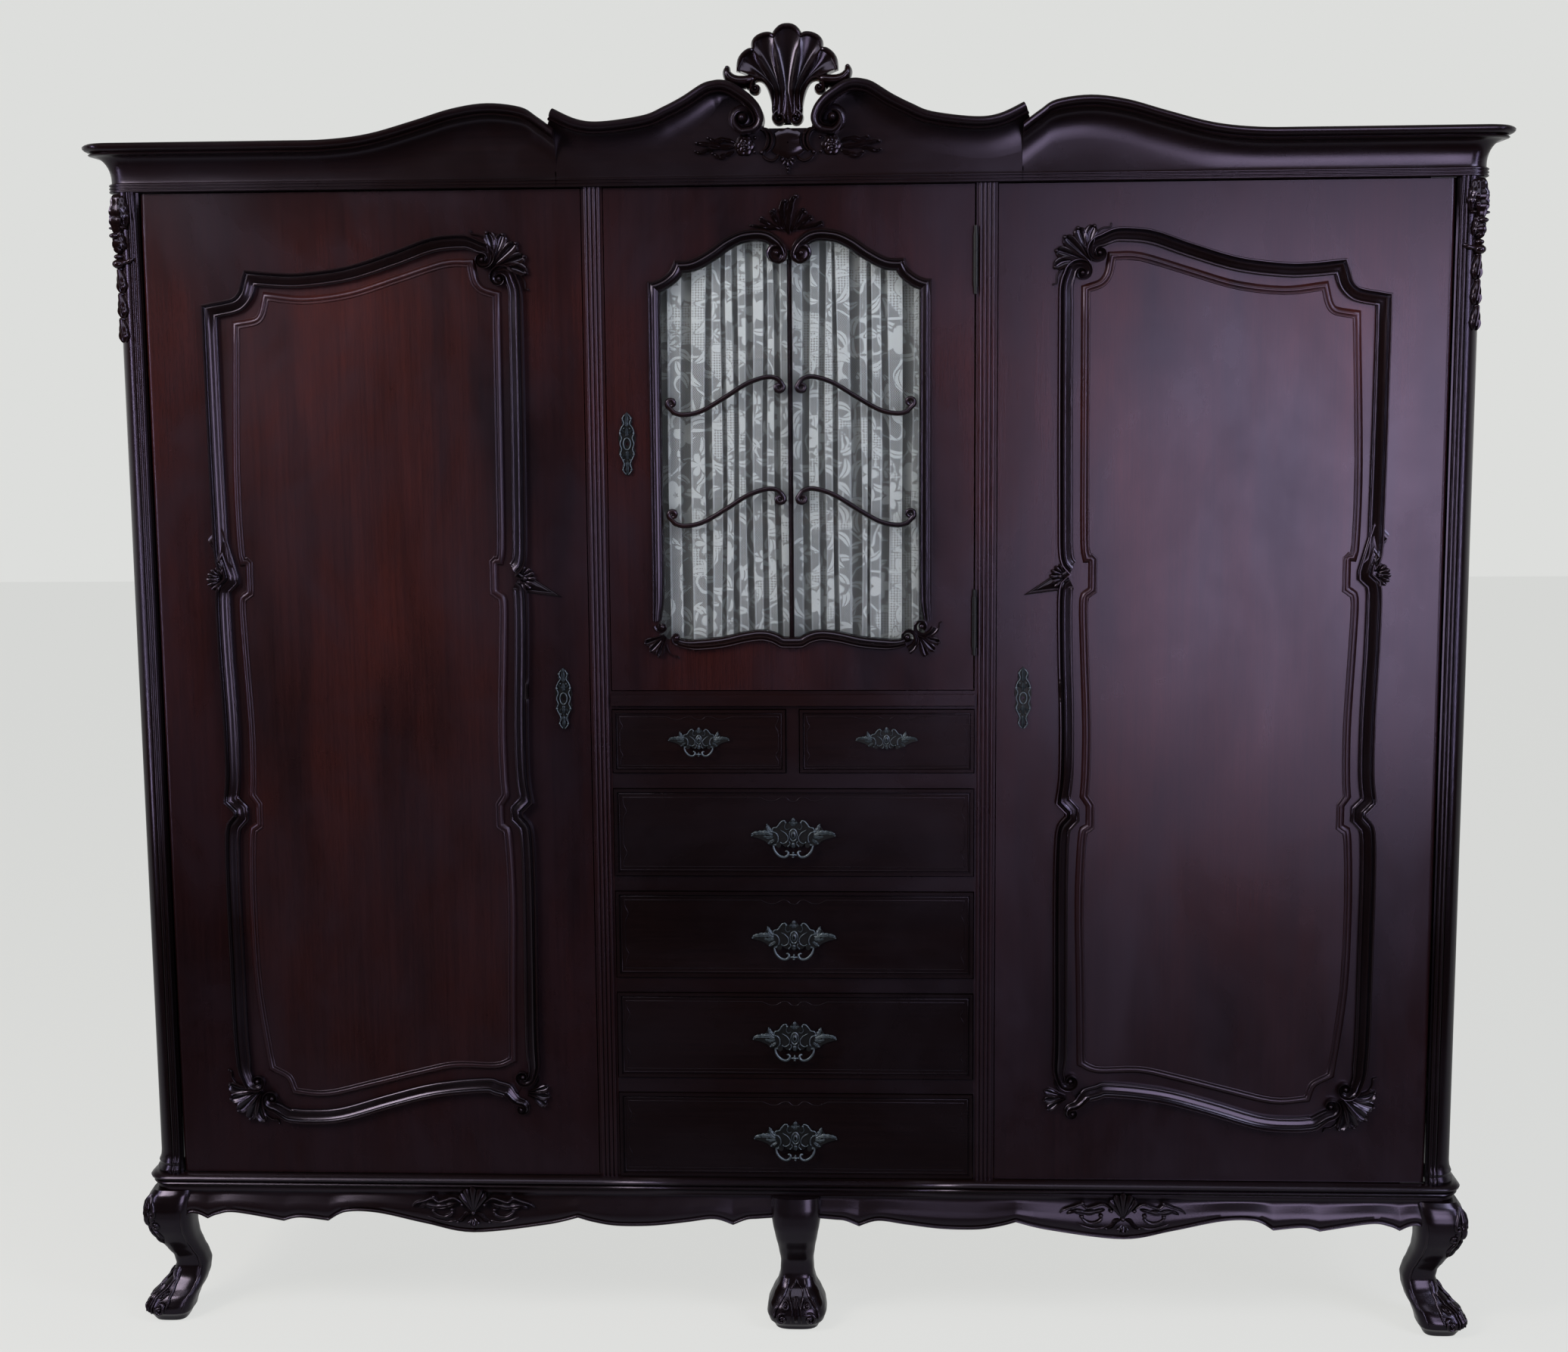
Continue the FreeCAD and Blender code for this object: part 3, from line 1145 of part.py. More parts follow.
def glazing_bars(outline):
    # An upright bar and four curved bars in front of the pane.
    low = min(z for x, z in outline if abs(x) < size("bar_width"))
    high = place("glass_foot") + place("glass_height") * glass_shares[0][0][1]
    y = "face + glass_depth - bar_depth"
    half = size("bar_width") / 2
    inset = size("slide_clearance") + half * bar_end_share
    middle = [(-half, low + inset), (half, low + inset), (half, high - inset), (-half, high - inset)]
    bars = [thick("bar_middle", middle, y, "bar_depth")]
    for name, share in (("upper", 0), ("lower", lower_bar_share)):
        path = smooth([(x, z - share) for x, z in bar_shares], curve_steps) + [
            (bar_shares[-1][0], bar_shares[-1][1] - share)]
        path = placed(path, 0, place("glass_sight"), place("glass_foot"), place("glass_height"), 1)
        bar = thick("bar_" + name, strip(path, size("bar_width")), y, "bar_depth")
        bars += [bar, mirrored("bar_twin_" + name, bar)]
    node("glazed_door_bars", group("glazed_door_bars", bars))


def pane():
    fit = "slide_clearance"
    node("glazed_door_glass", board(
        "glazed_door_glass", "-glass_half - glass_lap + " + fit, "face + glass_depth",
        "glass_foot + glass_foot_rise + " + fit,
        "2 * (glass_half + glass_lap - " + fit + ")", "glass_thickness",
        "glass_height - glass_foot_rise - glass_top_drop - 2 * " + fit))


def fold_point(x, angle, out):
    # A point beside a crossing of the middle line of the folds, square to that line.
    return FreeCAD.Vector(x - math.sin(angle) * out, place("curtain_y") + math.cos(angle) * out, 0)


def curtain_plan(height):
    # Plan of one hanging width of lace: arcs that swing forward and back, all with one thickness.
    count = 2 * int(size("fold_count"))
    step = place("curtain_width") / count
    swing = size("fold_depth")
    angle = 2 * math.atan2(swing, step / 2)
    half = size("curtain_thickness") / 2
    start = size("curtain_gap") + size("curtain_thickness")
    edges = []
    for out in (half, -half):
        for fold in range(count):
            way = 1 if fold % 2 == 0 else -1
            x = start + fold * step
            middle = FreeCAD.Vector(x + step / 2, place("curtain_y") + way * swing + out, 0)
            edges.append(Part.Arc(fold_point(x, way * angle, out), middle,
                                  fold_point(x + step, -way * angle, out)).toShape())
    last = -angle if count % 2 else angle
    edges.append(Part.makeLine(fold_point(start, angle, half), fold_point(start, angle, -half)))
    end = start + count * step
    edges.append(Part.makeLine(fold_point(end, last, half), fold_point(end, last, -half)))
    wire = Part.Wire(Part.sortEdges(edges)[0])
    wire.translate(FreeCAD.Vector(0, 0, height))
    return wire


def curtain():
    # Two gathered widths of lace, hung from an upper rod and held by a lower one.
    foot = place("curtain_foot")
    width = shape_of("lace", Part.makeLoft(
        [curtain_plan(foot), curtain_plan(foot + place("curtain_drop"))], True, True))
    node("glazed_door_curtain", group("glazed_door_curtain", [width, mirrored("lace_twin", width)]))


def curtain_rods():
    rods = []
    reach = "(glass_half + glass_lap + rod_eye_width)"
    for name, z in (("low", "curtain_foot + curtain_rod_inset"),
                    ("high", "curtain_foot + curtain_drop - curtain_rod_inset")):
        bar = rod("curtain_rod_" + name, "-" + reach, "curtain_rod_y", z, "curtain_rod_radius", "2 * " + reach, "x")
        eye = board("rod_eye_" + name, "glass_half + glass_lap", "door_back", z + " - rod_eye_height / 2",
                    "rod_eye_width", "curtain_rod_y + 2 * curtain_rod_radius - door_back", "rod_eye_height")
        rods.append(joined("curtain_rod_eyes_" + name, [bar, eye, mirrored("rod_eye_twin_" + name, eye)]))
    node("glazed_door_curtain_rods", group("glazed_door_curtain_rods", rods))


def hinges():
    # Two butt hinges with finials: leaves on the edge of the door and on the pilaster.
    third = "hinge_length / 3"
    leaf_end = "face + leaf_width - hinge_y"
    door_leaves = []
    fixed = []
    for name, z in (("low", "glass_foot + hinge_foot_rise - hinge_length / 2"),
                    ("high", "cornice_foot - hinge_top_drop - hinge_length / 2")):
        own = z + " + " + third + " + slide_clearance"
        high = z + " + 2 * " + third
        knuckle = rod("knuckle_" + name, "hinge_x", "hinge_y", own, "knuckle_radius",
                      third + " - 2 * slide_clearance", "z")
        leaf = board("leaf_" + name, "bay_half - hinge_gap", "face", z, "leaf_thickness", "leaf_width", "hinge_length")
        tab = board("tab_" + name, "bay_half - hinge_gap", "hinge_y", own, "leaf_thickness",
                    leaf_end, third + " - 2 * slide_clearance")
        bore = rod("bore_" + name, "hinge_x", "hinge_y", z, "hinge_pin_radius + pin_clearance", "hinge_length", "z")
        door_leaves.append(cut("door_leaf_" + name, joined("door_leaf_body_" + name, [knuckle, leaf, tab]), bore))
        pieces = [rod("pin_" + name, "hinge_x", "hinge_y", z + " - finial_length", "hinge_pin_radius",
                      "hinge_length + 2 * finial_length", "z"),
                  board("fixed_leaf_" + name, "bay_half - leaf_thickness", "face", z,
                        "leaf_thickness", "leaf_width", "hinge_length")]
        for end, foot in (("a", z), ("b", high)):
            pieces.append(rod("knuckle_" + name + end, "hinge_x", "hinge_y", foot, "knuckle_radius", third, "z"))
            pieces.append(board("tab_" + name + end, "bay_half - leaf_thickness", "hinge_y", foot,
                                "leaf_thickness", leaf_end, third))
        for end, foot in (("c", z + " - finial_length"), ("d", z + " + hinge_length")):
            pieces.append(rod("finial_" + name + end, "hinge_x", "hinge_y", foot,
                              "finial_radius", "finial_length", "z"))
        fixed.append(joined("fixed_hinge_" + name, pieces))
    node("glazed_door_hinge_leaves", group("glazed_door_hinge_leaves", door_leaves))
    for name, plate_z, pin_z in (("foot", "stand_height", "stand_height"),
                                 ("head", "cornice_foot - pivot_plate_thickness",
                                  "cornice_foot - pivot_gap - pivot_length")):
        plate = board("pivot_plate_" + name, "door_outer - door_gap - pivot_plate_length",
                      "pivot_y - pivot_plate_width / 2", plate_z,
                      "pivot_plate_length", "pivot_plate_width", "pivot_plate_thickness")
        pin = rod("pivot_pin_" + name, "pivot_x", "pivot_y", pin_z, "pivot_radius",
                  "pivot_gap + pivot_length", "z")
        pivot = joined("pivot_" + name, [plate, pin])
        fixed += [pivot, mirrored("pivot_twin_" + name, pivot)]
    node("hinge_fittings", group("hinge_fittings", fixed))


def glazed_door():
    outline = glass_outline()
    glazed_frame(outline)
    glazed_moulding(outline)
    glazing_bars(outline)
    pane()
    curtain()
    curtain_rods()
    edge = "door_gap - bay_half"
    channel = "bolt_length + 3 * slide_clearance"
    node("glazed_door_lock", group("glazed_door_lock", box_lock(
        "glazed_door_lock", 1, edge, edge + " - overrun", "glass_keyhole_x", "glass_lock_z")))
    lock_bolt("glazed_door_bolt", edge, "glass_lock_z")


# Drawers and their handles

backplate_shares = [(0, 1), (0.121, 0.808), (0.183, 0.872), (0.263, 0.892), (0.375, 0.658), (0.469, 0.638),
                    (0.517, 0.574), (0.611, 0.764), (0.7225, 0.532), (0.865, 0.511), (1, 0.385), (0.80, 0.32),
                    (0.659, 0.236), (0.58, 0.13), (0.437, 0.066), (0.342, 0.109), (0.28, 0.15), (0.183, 0.045),
                    (0.106, 0.109), (0, 0)]


def backplate(name, x, z, share):
    # A cast plate with two posts, bored for the pins of the bail and pierced by a keyhole.
    outline = placed(both_halves(backplate_shares), 0, size("backplate_width") / 2 * share,
                     0, size("backplate_height") * share, 1)
    plate = thick(name + "_sheet", outline, "face - plate_thickness", "plate_thickness")
    put(plate, x, "face - plate_thickness", z + " - plate_foot * " + str(share))
    keyhole = rod(name + "_keyhole", x, "face - plate_thickness - overrun", z,
                  "keyhole_radius * " + str(share), "plate_thickness + 2 * overrun", "y")
    pieces = [cut(name + "_pierced", plate, keyhole)]
    for end, way in (("left", "-"), ("right", "+")):
        pieces.append(rod(name + "_post_" + end, x + way + "post_spread * " + str(share),
                          "face - plate_thickness - handle_post_length",
                          z + " - post_drop * " + str(share), "handle_post_radius * " + str(share),
                          "handle_post_length", "y"))
    bore = rod(name + "_bore", x + " - bail_spread * " + str(share), "face - plate_thickness - bail_reach",
               z + " - post_drop * " + str(share), "bail_pin_radius * " + str(share) + " + pin_clearance",
               "2 * bail_spread * " + str(share), "x")
    return node(name, cut(name + "_bored", joined(name + "_cast", pieces), bore))


def bail(name, x, z, share):
    # A hanging loop with a pin at each end that turns in the posts.
    spread_out = size("bail_spread") * share
    drop = (size("bail_drop")) * share
    radius = size("bail_radius") * share
    arc = Part.Arc(FreeCAD.Vector(-spread_out, 0, 0), FreeCAD.Vector(0, 0, -drop),
                   FreeCAD.Vector(spread_out, 0, 0)).toShape()
    start = arc.tangentAt(arc.FirstParameter)
    loop = Part.Wire(arc).makePipeShell(
        [Part.Wire(Part.Circle(FreeCAD.Vector(-spread_out, 0, 0), start, radius).toShape())], True, False)
    pieces = [shape_of(name + "_loop", loop)]
    for end, way in (("left", -1), ("right", 1)):
        tip = spread_out - size("bail_pin_length") * share
        base = FreeCAD.Vector(way * spread_out, 0, 0)
        pin = Part.makeCylinder(size("bail_pin_radius") * share, spread_out - tip, base, FreeCAD.Vector(-way, 0, 0))
        pieces.append(shape_of(name + "_pin_" + end, pin))
        pieces.append(shape_of(name + "_eye_" + end, Part.makeSphere(radius, base)))
    item = joined(name + "_whole", pieces)
    put(item, x, "face - plate_thickness - bail_reach", z + " - post_drop * " + str(share))
    return node(name, item)


def drawer(name, column, foot, height):
    # A front with a raised bead round its edge, two sides, a back and a bottom.
    narrow = "(centre_width - divider_width) / 2"
    x, width = {-1: ("-bay_half", narrow), 0: ("-bay_half", "centre_width"),
                1: ("divider_width / 2", narrow)}[column]
    slab = board(name + "_slab", x + " + door_gap", "face - cock_bead_rise", foot + " + door_gap",
                 width + " - 2 * door_gap", "drawer_front_thickness + cock_bead_rise",
                 height + " - 2 * door_gap")
    inset = "door_gap + cock_bead_width"
    sunk = board(name + "_sunk", x + " + " + inset, "face - cock_bead_rise - overrun", foot + " + " + inset,
                 width + " - 2 * (" + inset + ")", "cock_bead_rise + overrun",
                 height + " - 2 * (" + inset + ")")
    left = x + " + door_gap + drawer_side_gap"
    inner = width + " - 2 * (door_gap + drawer_side_gap)"
    y = "face + drawer_front_thickness"
    low = foot + " + slide_clearance"
    tall = height + " - drawer_top_room - slide_clearance"
    side = board(name + "_side_left", left, y, low, "drawer_side_thickness", "drawer_box_depth", tall)
    other = board(name + "_side_right", left + " + " + inner + " - drawer_side_thickness", y, low,
                  "drawer_side_thickness", "drawer_box_depth", tall)
    between = left + " + drawer_side_thickness"
    span = inner + " - 2 * drawer_side_thickness"
    rear = board(name + "_rear", between, y + " + drawer_box_depth - drawer_side_thickness", low,
                 span, "drawer_side_thickness", tall)
    floor = board(name + "_floor", between, y, low + " + drawer_bottom_rise", span,
                  "drawer_box_depth - drawer_side_thickness", "drawer_bottom_thickness")
    node(name, group(name + "_box", [cut(name + "_front", slab, sunk), side, other, rear, floor]))
    share = size("small_handle_share") if column else 1
    drop = "small_handle_drop" if column else "large_handle_drop"
    x = x + " + " + width + " / 2"
    z = foot + " + " + height + " / 2 - " + drop
    backplate(name + "_backplate", x, z, share)
    if name != bare_drawer:
        bail(name + "_bail", x, z, share)


bare_drawer = "drawer_small_right"


def drawers():
    for opening in drawer_openings():
        drawer(*opening)


# The whole cupboard

back_legs()
front_legs()
aprons()
stand_rails()
base_moulding()
carcass()
corner_posts()
pilasters()
drawer_rails()
drawer_runners()
shelves()
hanging_rods()
cornice()
crest()
outer_doors()
glazed_door()
hinges()
drawers()
doc.recompute()

failed = [item.Name for item in doc.Objects if "Invalid" in item.State or "Error" in item.State]
if failed:
    raise RuntimeError("failed objects: " + ", ".join(failed))
os.makedirs("parts", exist_ok=True)
for item in nodes:
    shape = item.Shape
    if shape.isNull() or not shape.isValid() or not shape.Solids:
        raise RuntimeError("bad shape: " + item.Label)
for item in nodes:
    item.Shape.exportStep(os.path.join("parts", item.Label + ".step"))
box = Part.makeCompound([item.Shape for item in nodes]).BoundBox
print(len(nodes), "nodes", box)
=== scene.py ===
# %% [markdown]
# A three bay carved wardrobe cupboard.
# This notebook dresses a finished solid model. Every solid already stands in its place, in metres,
# with X to the right, the front towards minus Y, and Z up from the floor. Each cell below either
# gives a solid its real finish, or replaces it with a carved or woven piece that a solid can't show.

# %% Load the solid model
import math
import random
import bmesh
import bpy
from mathutils import Matrix, Vector


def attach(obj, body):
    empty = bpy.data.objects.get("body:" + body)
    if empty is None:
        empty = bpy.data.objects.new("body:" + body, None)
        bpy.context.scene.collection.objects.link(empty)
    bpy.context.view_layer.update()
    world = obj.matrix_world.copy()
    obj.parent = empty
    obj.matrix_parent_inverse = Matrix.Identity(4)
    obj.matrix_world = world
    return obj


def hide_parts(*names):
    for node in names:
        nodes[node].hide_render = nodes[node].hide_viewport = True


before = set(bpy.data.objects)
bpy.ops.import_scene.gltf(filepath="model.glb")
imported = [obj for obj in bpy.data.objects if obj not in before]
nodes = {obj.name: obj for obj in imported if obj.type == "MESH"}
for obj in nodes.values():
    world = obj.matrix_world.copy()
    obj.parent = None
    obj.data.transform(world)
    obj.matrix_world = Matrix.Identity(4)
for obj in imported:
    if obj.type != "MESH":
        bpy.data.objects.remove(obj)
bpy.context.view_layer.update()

# %% [markdown]
# The camera comes first, because it settles how much detail a piece needs. The photograph was taken
# from the front, a little right of the middle and from eye height, with a normal lens. A camera
# that stands there shows the same faces of every moulding.

# %% Camera
camera_data = bpy.data.cameras.new("camera")
camera_data.lens = 50
camera_data.sensor_width = 36
camera_data.clip_end = 50
camera = bpy.data.objects.new("camera", camera_data)
bpy.context.scene.collection.objects.link(camera)
camera_pitch = 0.1341
camera_yaw = 0.0484
camera_roll = -0.0081
forward = Vector((math.sin(-camera_yaw) * math.cos(camera_pitch),
                  math.cos(camera_yaw) * math.cos(camera_pitch), -math.sin(camera_pitch)))
level = forward.cross(Vector((0, 0, 1))).normalized()
upward = level.cross(forward)
right = level * math.cos(camera_roll) + upward * math.sin(camera_roll)
top = upward * math.cos(camera_roll) - level * math.sin(camera_roll)
turn = Matrix((right, top, -forward)).transposed()
camera.matrix_world = Matrix.Translation((0.15866, -3.81021, 1.60244)) @ turn.to_4x4()
bpy.context.scene.camera = camera
print("camera at", [round(v, 2) for v in camera.location])

# %% [markdown]
# Colours are written the way a paint chart gives them, as sRGB hex values, and one function turns
# them into the linear numbers that a shader adds and multiplies. A second small function adds a node
# with its settings and its links, so that a material reads like a recipe.


# %% Colour and node helpers
def linear(hex_value, alpha=1.0):
    channels = [int(hex_value[i:i + 2], 16) / 255 for i in (1, 3, 5)]
    return tuple(c / 12.92 if c <= 0.04045 else ((c + 0.055) / 1.055) ** 2.4 for c in channels) + (alpha,)


def add(tree, kind, *values, **named):
    """Adds a node of that kind, which may be followed by the operation that the node does.

    The values go to its first inputs. A name in small letters is a setting, any other is an input.
    A node that is given as a value stands for the first of its outputs that is in use."""
    kind, *operation = kind.split()
    made = tree.nodes.new(kind if "Node" in kind else "ShaderNode" + kind)
    if operation:
        made.operation = operation[0]
    for key, value in named.items():
        if key.islower():
            setattr(made, key, value)
    pairs = list(zip(made.inputs, values))
    for key, value in named.items():
        if not key.islower():
            socket = next(s for s in made.inputs if s.enabled and s.name == key.replace("_", " "))
            pairs.append((socket, value))
    for socket, value in pairs:
        if isinstance(value, bpy.types.Node):
            value = next(s for s in value.outputs if s.enabled)
        if isinstance(value, bpy.types.NodeSocket):
            tree.links.new(value, socket)
        else:
            socket.default_value = value
    return made


def blank(name):
    made = bpy.data.materials.new(name)
    made.use_nodes = True
    made.node_tree.nodes.clear()
    return made


def shade(tree, surface):
    add(tree, "OutputMaterial", Surface=surface)


print("white is", linear("#ffffff")[:3])

# %% [markdown]
# The wood is an old tropical hardwood, stained nearly black and French polished. Three things make it
# look real. The grain runs along each board, so the pattern is stretched along one axis. The stain is
# redder and lighter higher up: partly it has worn thin there and red shows through, partly this is
# painted light that falls off towards the floor, and under the cornice a painted shade darkens it again.
# The polish is glossy but hazy, and its dim mirror image of a cool window is the violet light on the
# stiles. Sizes in the pattern are real: pores 0.6 mm wide, growth lines 5 mm apart, clouds of stain 250 mm
# across.


# %% Polished hardwood
def polished_hardwood(name, grain, dark, warm, haze, carved=False, gloss=0.20, shine=0.40):
    """grain is the axis that the fibres follow: 0 for X, 1 for Y, 2 for Z."""
    made = blank(name)
    tree = made.node_tree
    place = add(tree, "TexCoord").outputs["Object"]
    height_here = add(tree, "SeparateXYZ", Vector=place).outputs[2]
    # Painted light by height: the wood turns lighter and redder upwards, partly real wear and partly painted
    # light that falls off towards the floor; above 1.72 m a painted shade under the cornice darkens it again.
    wear_and_painted_light = add(tree, "MapRange", height_here, 0.35, 1.75, 0.15, 1.0)
    painted_cornice_shade = add(tree, "MapRange", height_here, 1.72, 1.9, 1.0, 0.25)
    wear_and_painted_light = add(tree, "Math MULTIPLY", wear_and_painted_light, painted_cornice_shade)

    def stretched(across, along, offset=0.0):
        scale = [across, across, across]
        scale[grain] = along
        return add(tree, "Mapping", Vector=place, Scale=scale, Location=(offset, offset, offset))

    figure = add(tree, "TexNoise", Vector=stretched(13, 2.4), Scale=1.0, Detail=3.0, Roughness=0.5,
                 Distortion=0.5)
    broad = add(tree, "TexNoise", Vector=stretched(3.4, 1.5, 5.0), Scale=1.0, Detail=2.0, Roughness=0.5,
                Distortion=0.3)
    lines = add(tree, "TexNoise", Vector=stretched(200, 3.5, 3.0), Scale=1.0, Detail=3.0, Roughness=0.6,
                Distortion=0.3)
    pores = add(tree, "TexNoise", Vector=stretched(1600, 60, 7.0), Scale=1.0, Detail=1.0)
    clouds = add(tree, "TexNoise", Vector=stretched(4, 2.4, 11.0), Scale=1.0, Detail=5.0, Roughness=0.62,
                 Distortion=0.4)
    worn = add(tree, "Math MULTIPLY_ADD", figure, 0.7, broad)
    worn = add(tree, "MapRange", worn, 0.62, 1.12)
    # Here worn takes up the painted light and painted shade by height, along with the wear.
    worn = add(tree, "Math MULTIPLY", worn, wear_and_painted_light)
    base = add(tree, "Mix", worn, data_type="RGBA", A=linear(dark), B=linear(warm))
    line_shade = add(tree, "MapRange", lines, 0.32, 0.62, 0.8, 1.08)
    pore_shade = add(tree, "MapRange", pores, 0.34, 0.46, 0.72, 1.0)
    both = add(tree, "Math MULTIPLY", line_shade, pore_shade)
    toned = add(tree, "VectorMath SCALE", base, Scale=both)
    misty = add(tree, "MapRange", clouds, 0.42, 0.72, 0.0, 0.6)
    colour = add(tree, "Mix", misty, data_type="RGBA", A=toned, B=linear(haze))
    if carved:
        # The carved wood is darker in the hollows and lighter on the crests, following the relief of each
        # point.
        relief = add(tree, "Attribute", attribute_name="relief").outputs["Fac"]
        depth = add(tree, "MapRange", relief, 0.05, 0.95, 0.3, 1.35)
        colour = add(tree, "VectorMath SCALE", colour, Scale=depth)
    rough = add(tree, "MapRange", clouds, 0.3, 0.75, gloss, gloss + 0.15)
    height = add(tree, "Math MULTIPLY_ADD", lines, 0.35, pores)
    bump = add(tree, "Bump", Height=height, Strength=0.1, Distance=0.0004)
    skin = add(tree, "BsdfPrincipled", Base_Color=colour, Roughness=rough, Normal=bump, IOR=1.48,
               Specular_IOR_Level=shine, Specular_Tint=linear("#e6dcff"))
    shade(tree, skin)
    return made


upright_wood = polished_hardwood("stained hardwood, upright grain", 2, "#120708", "#32130f", "#1a1118")
level_wood = polished_hardwood("stained hardwood, level grain", 0, "#0d0606", "#1f0d0b", "#140f14")
side_wood = polished_hardwood("stained hardwood, board ends", 1, "#0d0606", "#1d0d0c", "#140f14")
panel_wood = polished_hardwood("stained hardwood, worn panel", 2, "#120809", "#3c1812", "#1c1218", gloss=0.24,
                               shine=0.42)
carved_wood = polished_hardwood("stained hardwood, carved", 2, "#0c0606", "#190c0b", "#120e12", carved=True,
                                gloss=0.13, shine=0.42)
drawer_wood = polished_hardwood("stained hardwood, drawer fronts", 0, "#0c0606", "#1a0d0c", "#120d10",
                                shine=0.22)
print("woods:", [m.name for m in (upright_wood, level_wood, side_wood, panel_wood, carved_wood, drawer_wood)])

# %% [markdown]
# Inside, and on the back, the makers used plain planed softwood and plywood that was never polished.
# It is paler, dull, and shows straight growth lines about 4 mm apart.


# %% Plain inner wood
def planed_wood(name, grain, pale, line):
    made = blank(name)
    tree = made.node_tree
    place = add(tree, "TexCoord").outputs["Object"]
    scale = [1.0, 1.0, 1.0]
    scale[grain] = 0.03
    stretched = add(tree, "Mapping", Vector=place, Scale=scale)
    rings = add(tree, "TexNoise", Vector=stretched, Scale=120.0, Detail=4.0, Distortion=0.5)
    fibre = add(tree, "TexNoise", Vector=stretched, Scale=1500.0, Detail=1.0)
    mixed = add(tree, "MapRange", rings, 0.35, 0.65)
    colour = add(tree, "Mix", mixed, data_type="RGBA", A=linear(line), B=linear(pale))
    rough = add(tree, "MapRange", fibre, To_Min=0.55, To_Max=0.75)
    bump = add(tree, "Bump", Height=fibre, Strength=0.2, Distance=0.0003)
    skin = add(tree, "BsdfPrincipled", Base_Color=colour, Roughness=rough, Normal=bump)
    shade(tree, skin)
    return made


inner_upright = planed_wood("planed softwood, upright grain", 2, "#6f4a2c", "#4c2f1a")
inner_level = planed_wood("planed softwood, level grain", 0, "#70492b", "#4a2e1b")
inner_deep = planed_wood("planed softwood, grain front to back", 1, "#6b4629", "#472c19")
print("inner woods ready")

# %% [markdown]
# The handles are cast brass that has turned dark brown, with green grey deposits in the hollows and
# rubbed spots on the high places. Steel is only used for bolts and rods. The pane is old drawn glass.


# %% Metals and glass
def dark_brass(name):
    made = blank(name)
    tree = made.node_tree
    place = add(tree, "TexCoord").outputs["Object"]
    patches = add(tree, "TexNoise", Vector=place, Scale=160.0, Detail=5.0, Roughness=0.65)
    grit = add(tree, "TexNoise", Vector=place, Scale=1400.0, Detail=2.0)
    relief = add(tree, "Attribute", attribute_name="relief").outputs["Fac"]
    height = add(tree, "Math MULTIPLY_ADD", patches, 0.6, relief)
    rubbed = add(tree, "MapRange", height, 0.35, 1.25)
    ramp = add(tree, "ValToRGB", Fac=rubbed)
    stops = ramp.color_ramp.elements
    stops[0].position = 0.0
    stops[0].color = linear("#0b0e10")
    stops[1].position = 1.0
    stops[1].color = linear("#566068")
    middle = stops.new(0.5)
    middle.color = linear("#1a1f22")
    rough = add(tree, "MapRange", patches, To_Min=0.3, To_Max=0.55)
    metal = add(tree, "MapRange", rubbed, To_Min=0.55, To_Max=0.95)
    bump = add(tree, "Bump", Height=grit, Strength=0.25, Distance=0.0002)
    skin = add(tree, "BsdfPrincipled", Base_Color=ramp, Metallic=metal, Roughness=rough, Normal=bump)
    shade(tree, skin)
    return made


def drawn_steel(name):
    made = blank(name)
    tree = made.node_tree
    place = add(tree, "TexCoord").outputs["Object"]
    brushed = add(tree, "Mapping", Vector=place, Scale=(40, 1800, 1800))
    streaks = add(tree, "TexNoise", Vector=brushed, Scale=1.0, Detail=2.0)
    colour = add(tree, "Mix", streaks, data_type="RGBA", A=linear("#5c5a58"), B=linear("#8d8a86"))
    rough = add(tree, "MapRange", streaks, To_Min=0.28, To_Max=0.48)
    skin = add(tree, "BsdfPrincipled", Base_Color=colour, Metallic=1.0, Roughness=rough)
    shade(tree, skin)
    return made


def drawn_glass(name):
    made = blank(name)
    tree = made.node_tree
    place = add(tree, "TexCoord").outputs["Object"]
    waves = add(tree, "TexNoise", Vector=place, Scale=9.0, Detail=1.0)
    bump = add(tree, "Bump", Height=waves, Strength=0.15, Distance=0.002)
    skin = add(tree, "BsdfPrincipled", Base_Color=linear("#f4f8f6"), Roughness=0.02, IOR=1.5,
               Transmission_Weight=1.0, Normal=bump)
    clear = add(tree, "BsdfTransparent", Color=linear("#fcfefd"))
    facing = add(tree, "LayerWeight", Blend=0.25).outputs["Fresnel"]
    pale = add(tree, "MapRange", facing, To_Min=0.01, To_Max=0.9)
    mixed = add(tree, "MixShader", pale, clear, skin)
    shade(tree, mixed)
    return made


brass = dark_brass("cast brass, darkened")
steel = drawn_steel("drawn steel")
glass = drawn_glass("drawn window glass")
print("metals and glass ready")

# %% [markdown]
# Each solid that keeps its shape now gets its finish. Boards are sorted by the way their grain runs.


# %% Finishes of the solids
def finish(names, material):
    for name in names:
        nodes[name].data.materials.clear()
        nodes[name].data.materials.append(material)


drawers = ["drawer_1", "drawer_2", "drawer_3", "drawer_4", "drawer_small_left", "drawer_small_right"]
finish(["carcass_sides", "corner_posts", "pilasters", "left_door_frame", "right_door_frame",
        "left_door_moulding", "right_door_moulding", "glazed_door_frame", "glazed_door_moulding",
        "glazed_door_bars", "leg_front_left", "leg_front_centre", "leg_front_right", "legs_back"],
       upright_wood)
finish(["left_door_panel", "right_door_panel"], panel_wood)
finish(["cornice_front", "base_moulding", "aprons_front", "drawer_rails", "stand_rails"], level_wood)
finish(["cornice_returns"], side_wood)
finish(["crest_shell", "crest_cartouche", "apron_carvings"], carved_wood)
finish(drawers, drawer_wood)
finish(["partitions", "back_boards"], inner_upright)
finish(["bottom_board", "top_board", "shelves"], inner_level)
finish(["drawer_runners"], inner_deep)
